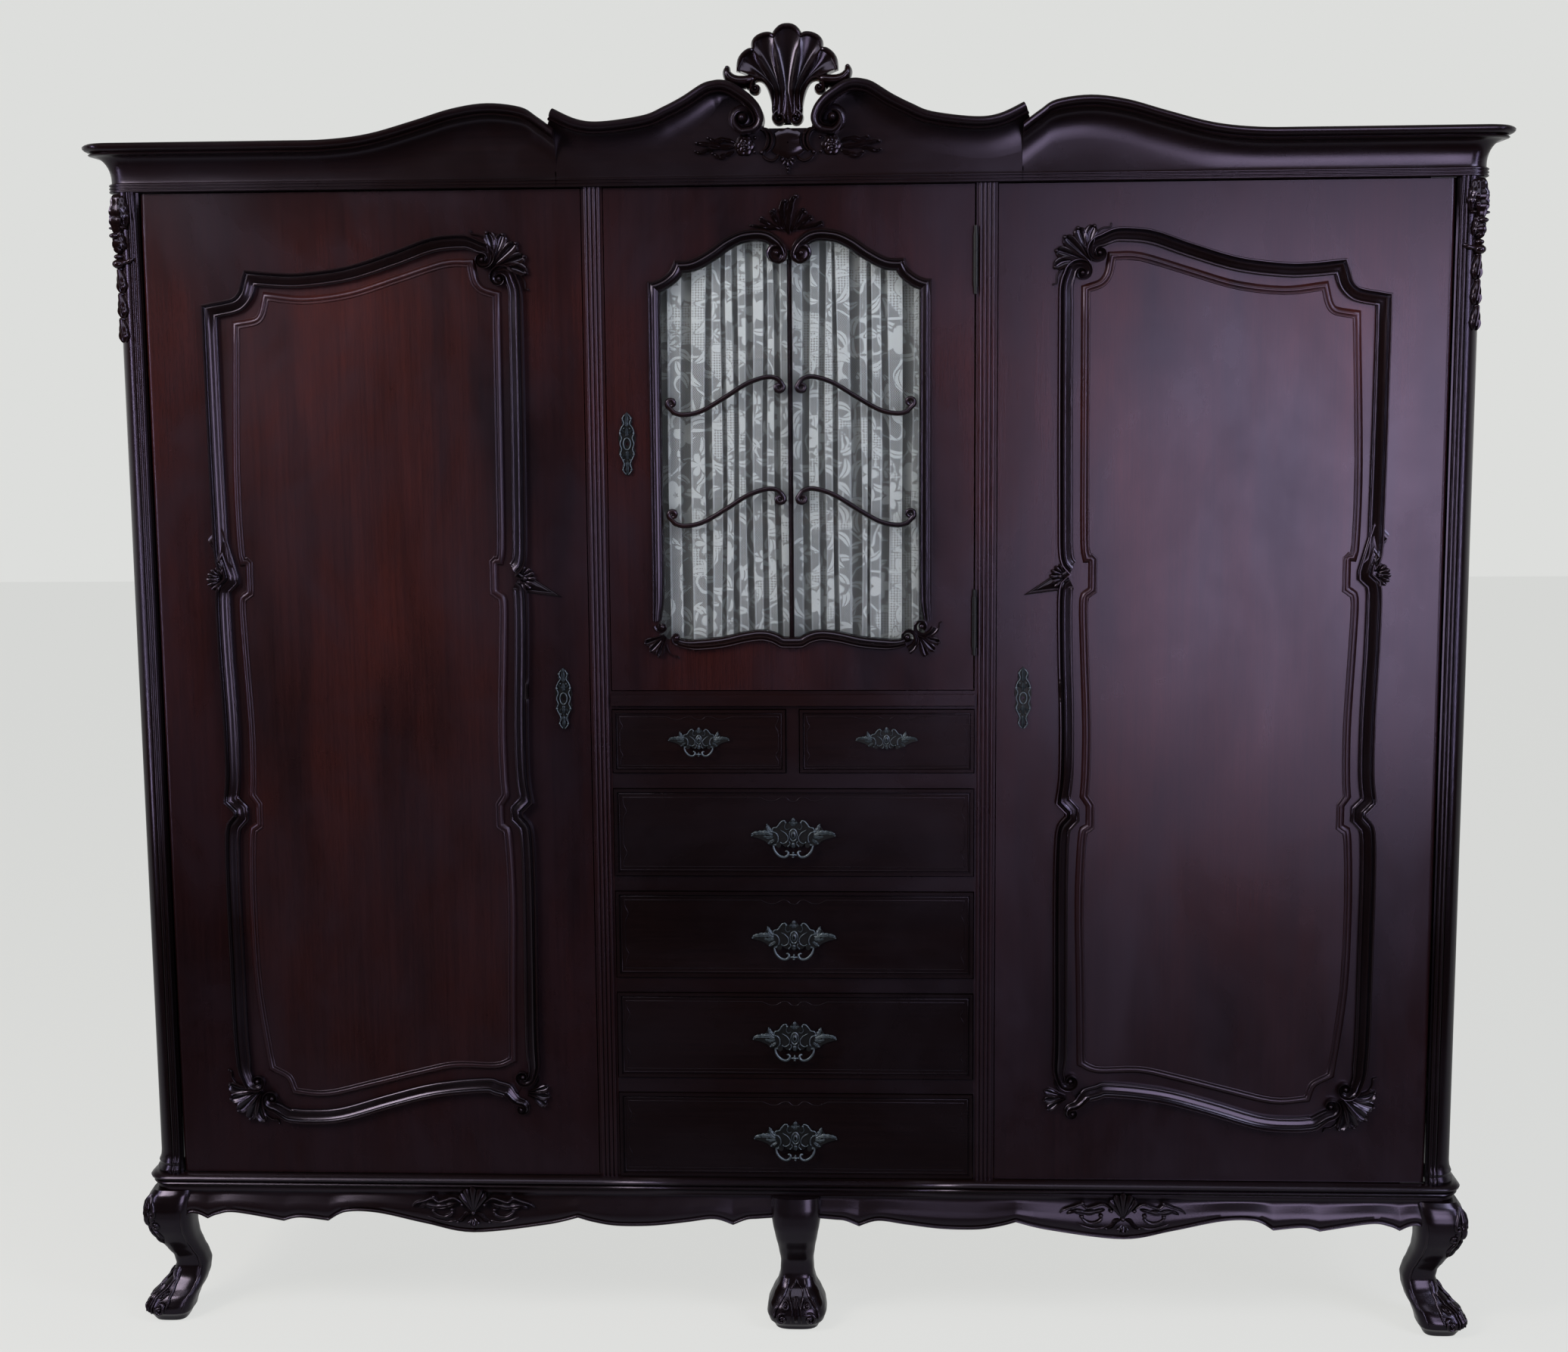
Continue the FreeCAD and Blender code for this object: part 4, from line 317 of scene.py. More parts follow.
finish(["hinge_fittings", "glazed_door_hinge_leaves", "left_door_lock", "right_door_lock", "glazed_door_lock"]
       + [d + "_backplate" for d in drawers] + [d + "_bail" for d in drawers[:5]], brass)
finish(["hanging_rods", "glazed_door_curtain_rods", "left_door_bolt", "right_door_bolt",
        "glazed_door_bolt"], steel)
finish(["glazed_door_glass"], glass)
bare = [n for n, o in nodes.items() if not o.data.materials]
print("solids without a finish:", bare)

# %% [markdown]
# Carving needs its own tools. Every carved piece is a skin over rows of points, so one small class
# collects rows, joins them with faces, and makes the mesh. Each point also carries its relief, from 0 in
# a hollow to 1 on a crest. The finishes read it: carved wood is darker in the hollows and lighter on the
# crests, and the brass has deposits in the hollows and rubbed spots on the crests.


# %% Skin helper
class Carving:
    def __init__(self):
        self.points = []
        self.faces = []
        self.relief = []

    def rows(self, rows, relief, across=False, along=False):
        """Joins rows of points. across closes each row on itself, along joins the last row to the first."""
        start = len(self.points)
        width = len(rows[0])
        for row, marks in zip(rows, relief):
            self.points.extend(row)
            self.relief.extend(marks)
        for i in range(len(rows) if along else len(rows) - 1):
            a = start + i * width
            b = start + (i + 1) % len(rows) * width
            for j in range(width if across else width - 1):
                k = (j + 1) % width
                self.faces.append((a + j, a + k, b + k, b + j))

    def lid(self, loop, mark=0.5):
        start = len(self.points)
        self.points.extend(loop)
        self.relief.extend([mark] * len(loop))
        self.faces.append(tuple(range(start, start + len(loop))))

    def piece(self, name, material, sharp=38, body=None, replaces=()):
        mesh = bpy.data.meshes.new(name)
        mesh.from_pydata([tuple(p) for p in self.points], [], self.faces)
        marks = mesh.attributes.new("relief", "FLOAT", "POINT")
        marks.data.foreach_set("value", self.relief)
        whole = bmesh.new()
        whole.from_mesh(mesh)
        bmesh.ops.remove_doubles(whole, verts=whole.verts, dist=0.00002)
        bmesh.ops.dissolve_degenerate(whole, edges=whole.edges, dist=0.00001)
        bmesh.ops.recalc_face_normals(whole, faces=whole.faces)
        bmesh.ops.triangulate(whole, faces=[f for f in whole.faces if len(f.verts) > 4])
        whole.to_mesh(mesh)
        whole.free()
        mesh.polygons.foreach_set("use_smooth", [True] * len(mesh.polygons))
        mesh.set_sharp_from_angle(angle=math.radians(sharp))
        mesh.materials.append(material)
        return settle(bpy.data.objects.new(name, mesh), body, replaces)


def settle(made, body, replaces=()):
    """Puts a finished piece in the scene, on its body, in place of the solids that it stands for."""
    if made.name not in bpy.context.scene.collection.objects:
        bpy.context.scene.collection.objects.link(made)
    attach(made, body)
    if replaces:
        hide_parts(*replaces)
    made.data.calc_loop_triangles()
    print(made.name + ":", len(made.data.loop_triangles), "triangles on", body)
    return made


# %% [markdown]
# Mouldings follow lines that a carver draws with a bent lath, so a line is a few points and a smooth
# curve through them. An offset line keeps a fixed distance with true mitres. Where an offset line
# crosses itself in a tight corner, its points gather at the crossing, as a mitre does.


# %% Lines
def smooth(points, steps):
    """A curve through the points, without the last one."""
    out = []
    count = len(points)
    for i in range(count - 1):
        before = points[i - 1] if i else points[0]
        a, b = points[i], points[i + 1]
        after = points[i + 2] if i + 2 < count else b
        for k in range(steps):
            t = k / steps
            out.append(tuple(0.5 * (2 * p + (q - o) * t + (2 * o - 5 * p + 4 * q - r) * t * t
                                    + (3 * p - o - 3 * q + r) * t ** 3)
                             for o, p, q, r in zip(before, a, b, after)))
    return out


def through(points, steps=6):
    return smooth(points, steps) + [tuple(points[-1])]


def corners_of(runs, steps):
    """Runs joined end to end: smooth inside a run, with a corner between two runs."""
    return [p for run in runs for p in smooth(run, steps)]


def meeting(a, b, c, d):
    along = (b[0] - a[0], b[1] - a[1])
    other = (d[0] - c[0], d[1] - c[1])
    area = along[0] * other[1] - along[1] * other[0]
    if abs(area) < 1e-15:
        return None
    gap = (c[0] - a[0], c[1] - a[1])
    here = (gap[0] * other[1] - gap[1] * other[0]) / area
    there = (gap[0] * along[1] - gap[1] * along[0]) / area
    if 0 <= here <= 1 and 0 <= there <= 1:
        return (a[0] + here * along[0], a[1] + here * along[1])
    return None


def beside(line, distances, closed=False, reach=26):
    """The line moved to its left by one distance for each point, with mitred corners."""
    count = len(line)
    out = []
    for i, (x, y) in enumerate(line):
        before = line[i - 1] if closed or i else line[0]
        after = line[(i + 1) % count] if closed or i + 1 < count else line[-1]
        a = math.atan2(y - before[1], x - before[0]) if before != (x, y) else None
        b = math.atan2(after[1] - y, after[0] - x) if after != (x, y) else None
        a = b if a is None else a
        b = a if b is None else b
        half = math.remainder(b - a, 2 * math.pi) / 2
        stretch = distances[i] / max(math.cos(half), 0.3)
        out.append((x - math.sin(a + half) * stretch, y + math.cos(a + half) * stretch))
    span = count if closed else count - 1
    i = 0
    while i < span:
        for step in range(reach, 1, -1):
            j = i + step
            if j >= span and not closed:
                continue
            m = meeting(out[i], out[(i + 1) % count], out[j % count], out[(j + 1) % count])
            if m and step < count - 2:
                for k in range(i + 1, j + 1):
                    out[k % count] = m
                i = j
                break
        i += 1
    return out


# %% [markdown]
# A moulding is a profile that runs along a line, and a carved leaf or scroll is the same thing with a
# width and a height that swell and fade. So one tool does both: it takes the line of one edge or of the
# middle, a width and a height for each point, and a profile in shares of them.


# %% Running a profile
def on_front(depth):
    """A map from a drawing on the front, and a height above it, to a place in the model."""
    return lambda u, v, h: (u, depth - h, v)


def run_profile(work, line, widths, heights, profile, place, closed=False):
    """profile: (share of the width to the left of the line, share of the height, relief)."""
    shares, rises, marks = zip(*profile)
    columns = []
    for share, rise in zip(shares, rises):
        moved = beside(line, [w * share for w in widths], closed)
        columns.append([place(x, y, h * rise) for (x, y), h in zip(moved, heights)])
    rows = [list(row) for row in zip(*columns)]
    work.rows(rows, [marks] * len(rows), along=closed)
    if not closed:
        work.lid(rows[0][::-1], 0.3)
        work.lid(rows[-1], 0.3)


def taper(count, start, middle, end, rise=0.2, fall=0.3):
    """Numbers that swell from start to middle and fade to end along a line."""
    out = []
    for i in range(count):
        t = i / max(count - 1, 1)
        value = middle
        if t < rise:
            s = t / rise
            value = start + (middle - start) * math.sin(s * math.pi / 2)
        elif t > 1 - fall:
            s = (t - 1 + fall) / fall
            value = middle + (end - middle) * (1 - math.cos(s * math.pi / 2))
        out.append(value)
    return out


def spiral(centre, start, way, turns, first, last, tight=1.6, steps=26):
    """A curl from angle start, in degrees, whose radius falls from first towards last."""
    out = []
    for i in range(int(steps * turns) + 1):
        t = i / steps
        radius = last + (first - last) * math.exp(-tight * t)
        angle = math.radians(start) + way * 2 * math.pi * t
        out.append((centre[0] + radius * math.cos(angle), centre[1] + radius * math.sin(angle)))
    return out


half_round = [(math.sin(a), math.cos(a), max(0.0, math.cos(a))) for a in
              [math.radians(d) for d in (-90, -70, -50, -30, -10, 10, 30, 50, 70, 90)]]
leaf_form = [(-1, -0.3, 0.0), (-1, 0.25, 0.3), (-0.86, 0.62, 0.75), (-0.68, 0.74, 0.9), (-0.5, 0.60, 0.55),
             (-0.32, 0.72, 0.75), (-0.16, 0.9, 0.9), (-0.05, 0.78, 0.35), (0.05, 0.78, 0.35),
             (0.16, 0.9, 0.9), (0.32, 0.72, 0.75), (0.5, 0.60, 0.55), (0.68, 0.74, 0.9), (0.86, 0.62, 0.75),
             (1, 0.25, 0.3), (1, -0.3, 0.0)]


def leaf(work, line, width, height, place, lobes=0, deep=0.3, tip=0.04, root=0.35):
    """A carved leaf along a line: veined, and with lobes along its edges if it has any."""
    line = through(line)
    count = len(line)
    widths = taper(count, width * root, width, width * tip, 0.45, 0.5)
    heights = taper(count, height * 0.55, height, height * 0.35, 0.5, 0.4)
    if lobes:
        widths = [w * (1 - deep + deep * abs(math.sin(math.pi * lobes * i / (count - 1))) ** 0.6)
                  for i, w in enumerate(widths)]
        heights = [h * (0.82 + 0.18 * abs(math.sin(math.pi * lobes * i / (count - 1))))
                   for i, h in enumerate(heights)]
    run_profile(work, line, widths, heights, leaf_form, place)


def reed(work, line, widths, heights, place):
    run_profile(work, line, widths, heights, half_round, place)


def tendril(work, line, wide, high, place):
    """A reed that swells: wide and high hold its size at the start, in the middle and at the end."""
    reed(work, line, taper(len(line), *wide), taper(len(line), *high), place)


def boss(work, centre, radius, height, place, sides=14, rings=5):
    """A round button."""
    rows, marks = [], []
    for k in range(rings + 1):
        a = k / rings * math.pi / 2
        rows.append([place(centre[0] + radius * math.cos(a) * math.cos(2 * math.pi * j / sides),
                           centre[1] + radius * math.cos(a) * math.sin(2 * math.pi * j / sides),
                           height * math.sin(a)) for j in range(sides)])
        marks.append([0.3 + 0.7 * math.sin(a)] * sides)
    work.rows(rows, marks, across=True)


def shell(work, centre, toward, spread, radius, height, ribs, place, root=0.14, curl=0.25, steps=9):
    """A fan of ribs from a centre. toward and spread are in degrees."""
    rows, marks = [], []
    fine = ribs * 6
    for k in range(steps + 3):
        t = min(k, steps) / steps
        row, mark = [], []
        for j in range(-1, fine + 2):
            s = min(max(j, 0), fine) / fine
            rib = abs(math.sin(math.pi * ribs * s))
            angle = math.radians(toward + spread * (s - 0.5))
            edge = radius * (0.88 + 0.12 * rib ** 0.7) * (0.8 + 0.2 * math.sin(math.pi * s))
            reach = edge * (root + (1 - root) * t)
            rise = height * (0.35 + 0.65 * math.sin(math.pi * (0.12 + 0.62 * t)) + curl * max(0.0, t - 0.6))
            rise *= 0.62 + 0.38 * rib ** 0.8 * min(1.0, 0.3 + t)
            if k > steps:
                rise = rise * 0.5 if k == steps + 1 else -0.001
                reach *= 1.0 + 0.01 * (k - steps)
            if j < 0 or j > fine:
                rise = -0.001
            row.append(place(centre[0] + reach * math.cos(angle), centre[1] + reach * math.sin(angle), rise))
            mark.append(0.15 + 0.8 * rib * (0.4 + 0.6 * t) if k <= steps and 0 <= j <= fine else 0.1)
        rows.append(row)
        marks.append(mark)
    work.rows(rows, marks)


flute_form = [(-1, -0.2, 0.1), (-1, 0.45, 0.6), (-0.9, 0.80, 0.9), (-0.74, 0.90, 1.0), (-0.56, 0.74, 0.7),
              (-0.34, 0.50, 0.3), (-0.12, 0.40, 0.1), (0.12, 0.40, 0.1), (0.34, 0.50, 0.3), (0.56, 0.74, 0.7),
              (0.74, 0.90, 1.0), (0.9, 0.80, 0.9), (1, 0.45, 0.6), (1, -0.2, 0.1)]


def flute(work, line, width, height, place):
    """A hollow lobe: narrow at its root, widest at three quarters, and turned up at its round tip."""
    line = through(line, 5)
    count = len(line)
    widths, heights = [], []
    for i in range(count):
        t = i / (count - 1)
        swell = 0.24 + 0.76 * math.sin(min(t / 0.72, 1.0) * math.pi / 2) ** 1.5
        if t > 0.72:
            swell = math.sqrt(max(1 - ((t - 0.72) / 0.30) ** 2, 0.0))
        widths.append(width * swell)
        heights.append(height * (0.62 + 0.38 * math.sin(t * math.pi * 0.9) + 0.25 * max(0.0, t - 0.7) / 0.3))
    run_profile(work, line, widths, heights, flute_form, place)


print("carving tools ready")

# %% [markdown]
# Each outer door has a moulding that laps over the frame and drops to the panel inside. Its section is
# a roll at the outer edge, a hollow, a thin fillet, a wide band and a small bead beside the panel. The
# line is drawn once in shares of the door, the way the cabinet maker scaled it, and the left door is
# its mirror image.

# %% Lines of the outer doors
face = -0.259
stand_height = 0.262
opening_height = 1.653
door_middle = 0.695
panel_half = 0.2397
jog_depth = 0.018
side_line = [
    [(0, 0.9135), (0, 0.904), (0.04, 0.770), (0.12, 0.685), (0.2, 0.643), (0.561, 0.634), (1.003, 0.629)],
    [(1.003, 0.629), (1.003, 0.613)],
    [(1.003, 0.613), (0.441, 0.608), (0.16, 0.600), (0.2, 0.547), (0.401, 0.480), (0.401, 0.423),
     (0.16, 0.397)],
    [(0.16, 0.397), (0.962, 0.388)],
    [(0.962, 0.388), (1.003, 0.373)],
    [(1.003, 0.373), (0.441, 0.367), (0.12, 0.358), (0, 0.314), (0.04, 0.230), (0.1, 0.146), (-0.07, 0.106)]]
head_line = [
    [(-1, 0.879), (-0.843, 0.884), (-0.759, 0.895), (-0.723, 0.909)],
    [(-0.723, 0.909), (-0.56, 0.907), (-0.389, 0.907), (-0.072, 0.913), (0.25, 0.927), (0.488, 0.939),
     (0.648, 0.942), (0.76, 0.9412), (0.83, 0.9389)]]
foot_line = [(0.955, 0.0811), (0.898, 0.095), (0.80, 0.1005), (0.696, 0.1035), (0.334, 0.098),
             (-0.003, 0.0855), (-0.343, 0.071), (-0.575, 0.0685), (-0.72, 0.0702), (-0.834, 0.0738)]
field_side = [
    [(1.484, 0.895), (1.564, 0.730), (1.644, 0.650), (1.925, 0.642), (2.366, 0.637)],
    [(2.366, 0.637), (2.366, 0.603)],
    [(2.366, 0.603), (1.845, 0.599), (1.564, 0.592), (1.684, 0.547), (1.965, 0.470), (1.925, 0.420),
     (1.805, 0.400)],
    [(1.805, 0.400), (2.366, 0.391)],
    [(2.366, 0.391), (2.366, 0.366)],
    [(2.366, 0.366), (1.925, 0.362), (1.644, 0.354), (1.444, 0.290), (1.644, 0.200), (1.765, 0.126)]]
field_head = [
    [(-0.846, 0.8675), (-0.723, 0.871), (-0.669, 0.879), (-0.639, 0.894)],
    [(-0.639, 0.894), (-0.392, 0.8905), (-0.075, 0.896), (0.247, 0.910), (0.563, 0.924), (0.723, 0.925)],
    [(0.723, 0.925), (0.744, 0.910), (0.798, 0.900), (0.889, 0.895)]]
field_foot = [
    [(0.867, 0.126), (0.768, 0.121), (0.488, 0.1216), (0.238, 0.114), (-0.099, 0.1016), (-0.437, 0.090),
     (-0.651, 0.092)],
    [(-0.651, 0.092), (-0.693, 0.106), (-0.804, 0.1155)]]


def across(run):
    return [(x * panel_half, z * opening_height) for x, z in run]


def lock_side(runs):
    return [[(panel_half - x * jog_depth, z * opening_height) for x, z in run] for run in runs]


def hinge_side(runs):
    return [[(-x, z) for x, z in run[::-1]] for run in lock_side(runs)[::-1]]


def on_door(side, depth):
    """A map for a door. side 1 is the right one; u grows towards its lock, and v from its foot."""
    return lambda u, v, h: (side * (door_middle - u), depth - h, stand_height + v)


# %% Sections of the mouldings, from the panel outwards, in shares of the width and the height
bolection = [(0.0, -0.5, 0.0), (0.0, 0.22, 0.3), (0.06, 0.38, 0.9), (0.12, 0.42, 1.0), (0.18, 0.37, 0.8),
             (0.215, 0.26, 0.1), (0.25, 0.30, 0.3), (0.33, 0.36, 0.5), (0.45, 0.44, 0.5), (0.56, 0.54, 0.6),
             (0.60, 0.63, 0.8), (0.635, 0.68, 1.0), (0.665, 0.62, 0.6), (0.685, 0.50, 0.1), (0.74, 0.48, 0.1),
             (0.80, 0.58, 0.2), (0.85, 0.76, 0.4), (0.875, 0.90, 0.8), (0.91, 0.99, 1.0), (0.945, 1.0, 1.0),
             (0.975, 0.90, 0.8), (1.0, 0.66, 0.4), (1.0, -0.03, 0.0)]
curl_section = [(0.0, -0.03, 0.0), (0.0, 0.42, 0.3), (0.08, 0.62, 0.9), (0.18, 0.66, 1.0), (0.28, 0.52, 0.3),
                (0.42, 0.46, 0.15), (0.58, 0.56, 0.3), (0.70, 0.84, 0.8), (0.82, 1.0, 1.0), (0.93, 0.86, 0.8),
                (1.0, 0.45, 0.3), (1.0, -0.03, 0.0)]


def flipped(section):
    return [(1 - share, rise, mark) for share, rise, mark in section[::-1]]


print("door lines ready")

# %% [markdown]
# Three corners of the moulding are not mitred. There each end winds up into a volute, and a small
# palmette of hollow lobes grows out between the two. The edge that stays outermost is drawn first: it
# follows the moulding, then winds in. The width falls with the radius, so the turns never touch.


# %% Volutes and palmettes
turn_steps = 26


def volute(work, centre, start, way, first, width, thin, height, section, place):
    """A curl whose width falls from width to thin, with a boss on its eye."""
    turns, last = 1.2, 0.0030
    line = spiral(centre, start, way, turns, first, last, 2.2, turn_steps)
    widths, heights = [], []
    for i in range(len(line)):
        t = i / turn_steps
        size = thin + (width - thin) * math.exp(-3.6 * t)
        widths.append(size if way < 0 else -size)
        heights.append(height * (0.66 + 0.34 * math.exp(-1.2 * t)))
    run_profile(work, line, widths, heights, section, place)
    boss(work, centre, last + 0.0024, height * 0.9, place)


def distinct(line, least=0.0004):
    """The line without the points that stand on their neighbour."""
    out = [line[0]]
    for p in line[1:]:
        if math.dist(p, out[-1]) > least:
            out.append(p)
    return out


def wound(work, edge, full, high, centre, start, way, first, section, place, turns=1.45, gap=0.030):
    """Runs a section along its outermost edge and winds it up round a centre."""
    eye, bridge_steps = 0.003, 8
    winding = spiral(centre, start, way, turns, first, eye, 1.6, 24)
    edge = distinct(edge)
    cut = next(i for i, p in enumerate(edge) if math.dist(p, winding[0]) < gap)
    kept = edge[:cut]
    a, d = kept[-1], winding[0]
    before, after = kept[-3], winding[2]
    reach = math.dist(a, d) / 3
    b_far, c_far = math.dist(a, before), math.dist(d, after)
    b = (a[0] + (a[0] - before[0]) / b_far * reach, a[1] + (a[1] - before[1]) / b_far * reach)
    c = (d[0] - (after[0] - d[0]) / c_far * reach, d[1] - (after[1] - d[1]) / c_far * reach)
    bridge = []
    for k in range(1, bridge_steps):
        t = k / bridge_steps
        weights = ((1 - t) ** 3, 3 * t * (1 - t) ** 2, 3 * t * t * (1 - t), t ** 3)
        bridge.append(tuple(sum(w * p[axis] for w, p in zip(weights, (a, b, c, d))) for axis in (0, 1)))
    sizes = [0.72 * (math.dist(p, centre) - eye) + 0.0022 for p in winding]
    sizes[0] = min(sizes[0], full)
    narrowing = [full + (sizes[0] - full) * (k / bridge_steps) for k in range(1, bridge_steps)]
    widths = [min(w, full) * way for w in [full] * len(kept) + narrowing + sizes]
    path = kept + bridge + winding
    sinking = [high * (1 - 0.12 * i / len(winding)) for i in range(len(winding))]
    heights = [high] * (len(kept) + len(bridge)) + sinking
    run_profile(work, path, widths, heights, section, place)
    boss(work, centre, 0.0046, high * 0.98, place, 14, 5)


def ending(line, full, first_end=None, last_end=None, over=0.04):
    """Widths along a line that keeps its full width but for the 40 mm before a volute."""
    far = [0.0]
    for a, b in zip(line, line[1:]):
        far.append(far[-1] + math.dist(a, b))
    out = []
    for d in far:
        size = full
        if first_end is not None and d < over:
            s = d / over
            size = first_end + (full - first_end) * s * s * (3 - 2 * s)
        if last_end is not None and far[-1] - d < over:
            s = (far[-1] - d) / over
            size = last_end + (full - last_end) * s * s * (3 - 2 * s)
        out.append(size)
    return out


def turned(points, base, toward):
    """Points drawn along +v from the origin, turned to point toward that angle and moved to the base."""
    a = math.radians(toward - 90)
    return [(base[0] + x * math.cos(a) - y * math.sin(a), base[1] + x * math.sin(a) + y * math.cos(a))
            for x, y in points]


palmette_lobes = [([(-0.10, 0.02), (-0.30, 0.34), (-0.58, 0.58), (-0.86, 0.66)], 0.200),
                  ([(0.10, 0.02), (0.30, 0.34), (0.58, 0.58), (0.86, 0.66)], 0.200),
                  ([(-0.06, 0.02), (-0.20, 0.42), (-0.36, 0.76), (-0.47, 0.98)], 0.205),
                  ([(0.06, 0.02), (0.20, 0.42), (0.36, 0.76), (0.47, 0.98)], 0.205),
                  ([(0.0, 0.02), (0.0, 0.40), (0.0, 0.78), (0.0, 1.08)], 0.215)]
palmette_tendrils = [[(-0.34, 0.30), (-0.70, 0.46), (-0.98, 0.44), (-1.16, 0.30), (-1.26, 0.34)],
                     [(0.34, 0.30), (0.70, 0.46), (0.98, 0.44), (1.16, 0.30), (1.26, 0.34)]]


def spray(work, base, toward, size, height, place, ribs=5, leaves=2):
    """A palmette: hollow lobes that overlap like a fan, each with a curled lip, and thin tendrils."""
    for line, wide in palmette_lobes[5 - ribs:]:
        line = turned([(x * size, y * size) for x, y in line], base, toward)
        flute(work, line, wide * size, height, place)
        boss(work, line[-1], wide * size * 0.36, height * 1.08, place, 10, 4)
    for line in palmette_tendrils[:leaves]:
        line = through(turned([(x * size, y * size) for x, y in line], base, toward), 5)
        reed(work, line, taper(len(line), size * 0.03, size * 0.035, size * 0.02),
             [height * 0.55] * len(line), place)
        boss(work, line[-1], size * 0.04, height * 0.6, place, 10, 4)


def door_moulding(side, name, body):
    work = Carving()
    place = on_door(side, face)
    width, high = 0.024, 0.010
    head = [across(run) for run in head_line]
    hinge = hinge_side(side_line)
    hinge[0] = [(-0.2325, 0.164)] + hinge[0][1:]
    hinge[-1] = hinge[-1][:-2] + [head[0][0]]
    hinge_run = corners_of(hinge, 5) + corners_of(head, 6) + [head[-1][-1]]
    lock_run = corners_of(lock_side(side_line), 5) + [lock_side(side_line)[-1][-1]]
    foot_run = through(across(foot_line), 6)
    hinge_edge = beside(hinge_run, [width] * len(hinge_run))
    lock_edge = beside(lock_run, [width] * len(lock_run))
    foot_edge = beside(foot_run, [width] * len(foot_run))
    inward = flipped(bolection)
    half = len(hinge_run) // 2
    wound(work, hinge_edge[half:], width, high, (0.199, 1.541), 90, -1, 0.0290, inward, place)
    wound(work, hinge_edge[half::-1], width, high, (-0.224, 0.164), 180, 1, 0.0260, inward, place)
    half = len(lock_run) // 2
    wound(work, lock_edge[half::-1], width, high, (0.226, 1.510), 0, 1, 0.0310, inward, place)
    wound(work, lock_edge[half:], width, high, (0.233, 0.175), 0, -1, 0.0240, inward, place)
    half = len(foot_run) // 2
    wound(work, foot_edge[half:], width, high, (-0.200, 0.134), -90, -1, 0.0240, inward, place)
    wound(work, foot_run[half::-1], width, high, (0.229, 0.118), 90, -1, 0.0200, bolection, place)
    spray(work, (0.214, 1.527), 44, 0.052, 0.0085, place)
    spray(work, (-0.219, 0.148), 222, 0.050, 0.0085, place)
    spray(work, (0.240, 0.146), -8, 0.034, 0.0080, place, ribs=3, leaves=1)
    for turn_to, u in ((180, -0.2475), (0, 0.2475)):
        shell(work, (u, 1.024), turn_to, 150, 0.026, 0.009, 7, place, root=0.3)
        shell(work, (u, 1.024), turn_to, 60, 0.013, 0.011, 1, place, root=0.3)
    return work.piece(name, carved_wood, body=body, replaces=[name.replace("_carved", "")])


door_moulding(1, "right_door_moulding_carved", "right_door")
door_moulding(-1, "left_door_moulding_carved", "left_door")

# %% [markdown]
# The raised field of the panel ends in an edge of its own: a thin bead, a sunk fillet, then a broad
# roll down to the ground. It catches the longest highlights of the whole front.

# %% Edge of the raised field
field_edge = [(0.0, -0.1, 0.4), (0.0, 0.02, 0.4), (0.03, 0.14, 0.8), (0.09, 0.20, 1.0), (0.15, 0.18, 1.0),
              (0.19, 0.10, 0.6), (0.21, -0.02, 0.1), (0.29, -0.04, 0.1), (0.31, 0.06, 0.4), (0.38, 0.16, 0.8),
              (0.48, 0.20, 1.0), (0.60, 0.16, 1.0), (0.72, 0.02, 0.9), (0.82, -0.18, 0.7), (0.90, -0.40, 0.5),
              (0.96, -0.62, 0.2), (1.0, -0.86, 0.0), (1.0, -1.0, 0.0), (0.0, -1.0, 0.0)]


def field_border(side, name, body):
    work = Carving()
    foot = [across(run) for run in field_foot]
    head = [across(run) for run in field_head]
    lock = lock_side(field_side)
    hinge = hinge_side(field_side)
    hinge[0] = [foot[-1][-1]] + hinge[0][1:]
    hinge[-1] = hinge[-1][:-1] + [head[0][0]]
    line = corners_of(head + lock + foot + hinge, 5)
    count = len(line)
    run_profile(work, line, [0.0150] * count, [0.0075] * count, field_edge, on_door(side, face), closed=True)
    return work.piece(name, panel_wood, body=body)


field_border(1, "right_door_field_border", "right_door")
field_border(-1, "left_door_field_border", "left_door")

# %% [markdown]
# The cornice goes round three sides. In plan it follows the carcass and turns a rounded corner, and its
# section is a reeded bead, a plain frieze, a cove and a nosing. Only the height of the nosing changes
# along the front, so the section is a rule with that height in it.

# %% Lines of the cornice
cornice_foot = stand_height + opening_height
side_plane = 1.100
back_plane = 0.301
wing_line = [(0.372, 2.005), (0.398, 2.024), (0.4235, 2.039), (0.477, 2.0455), (0.5335, 2.038),
             (0.596, 2.020), (0.668, 2.001), (0.738, 1.993), (0.825, 1.992), (1.04, 1.992)]
nosing = [(0.0, 0.72, 0.5), (0.0008, 0.84, 0.8), (0.0028, 0.94, 1.0), (0.0056, 1.0, 1.0), (0.0088, 0.99, 1.0),
          (0.0116, 0.93, 0.8), (0.0136, 0.84, 0.5), (0.0148, 0.74, 0.1), (0.0156, 0.73, 0.1),
          (0.0164, 0.80, 0.6), (0.0178, 0.83, 0.9), (0.0192, 0.79, 0.6), (0.0200, 0.68, 0.2)]
nosing_reach = 0.042


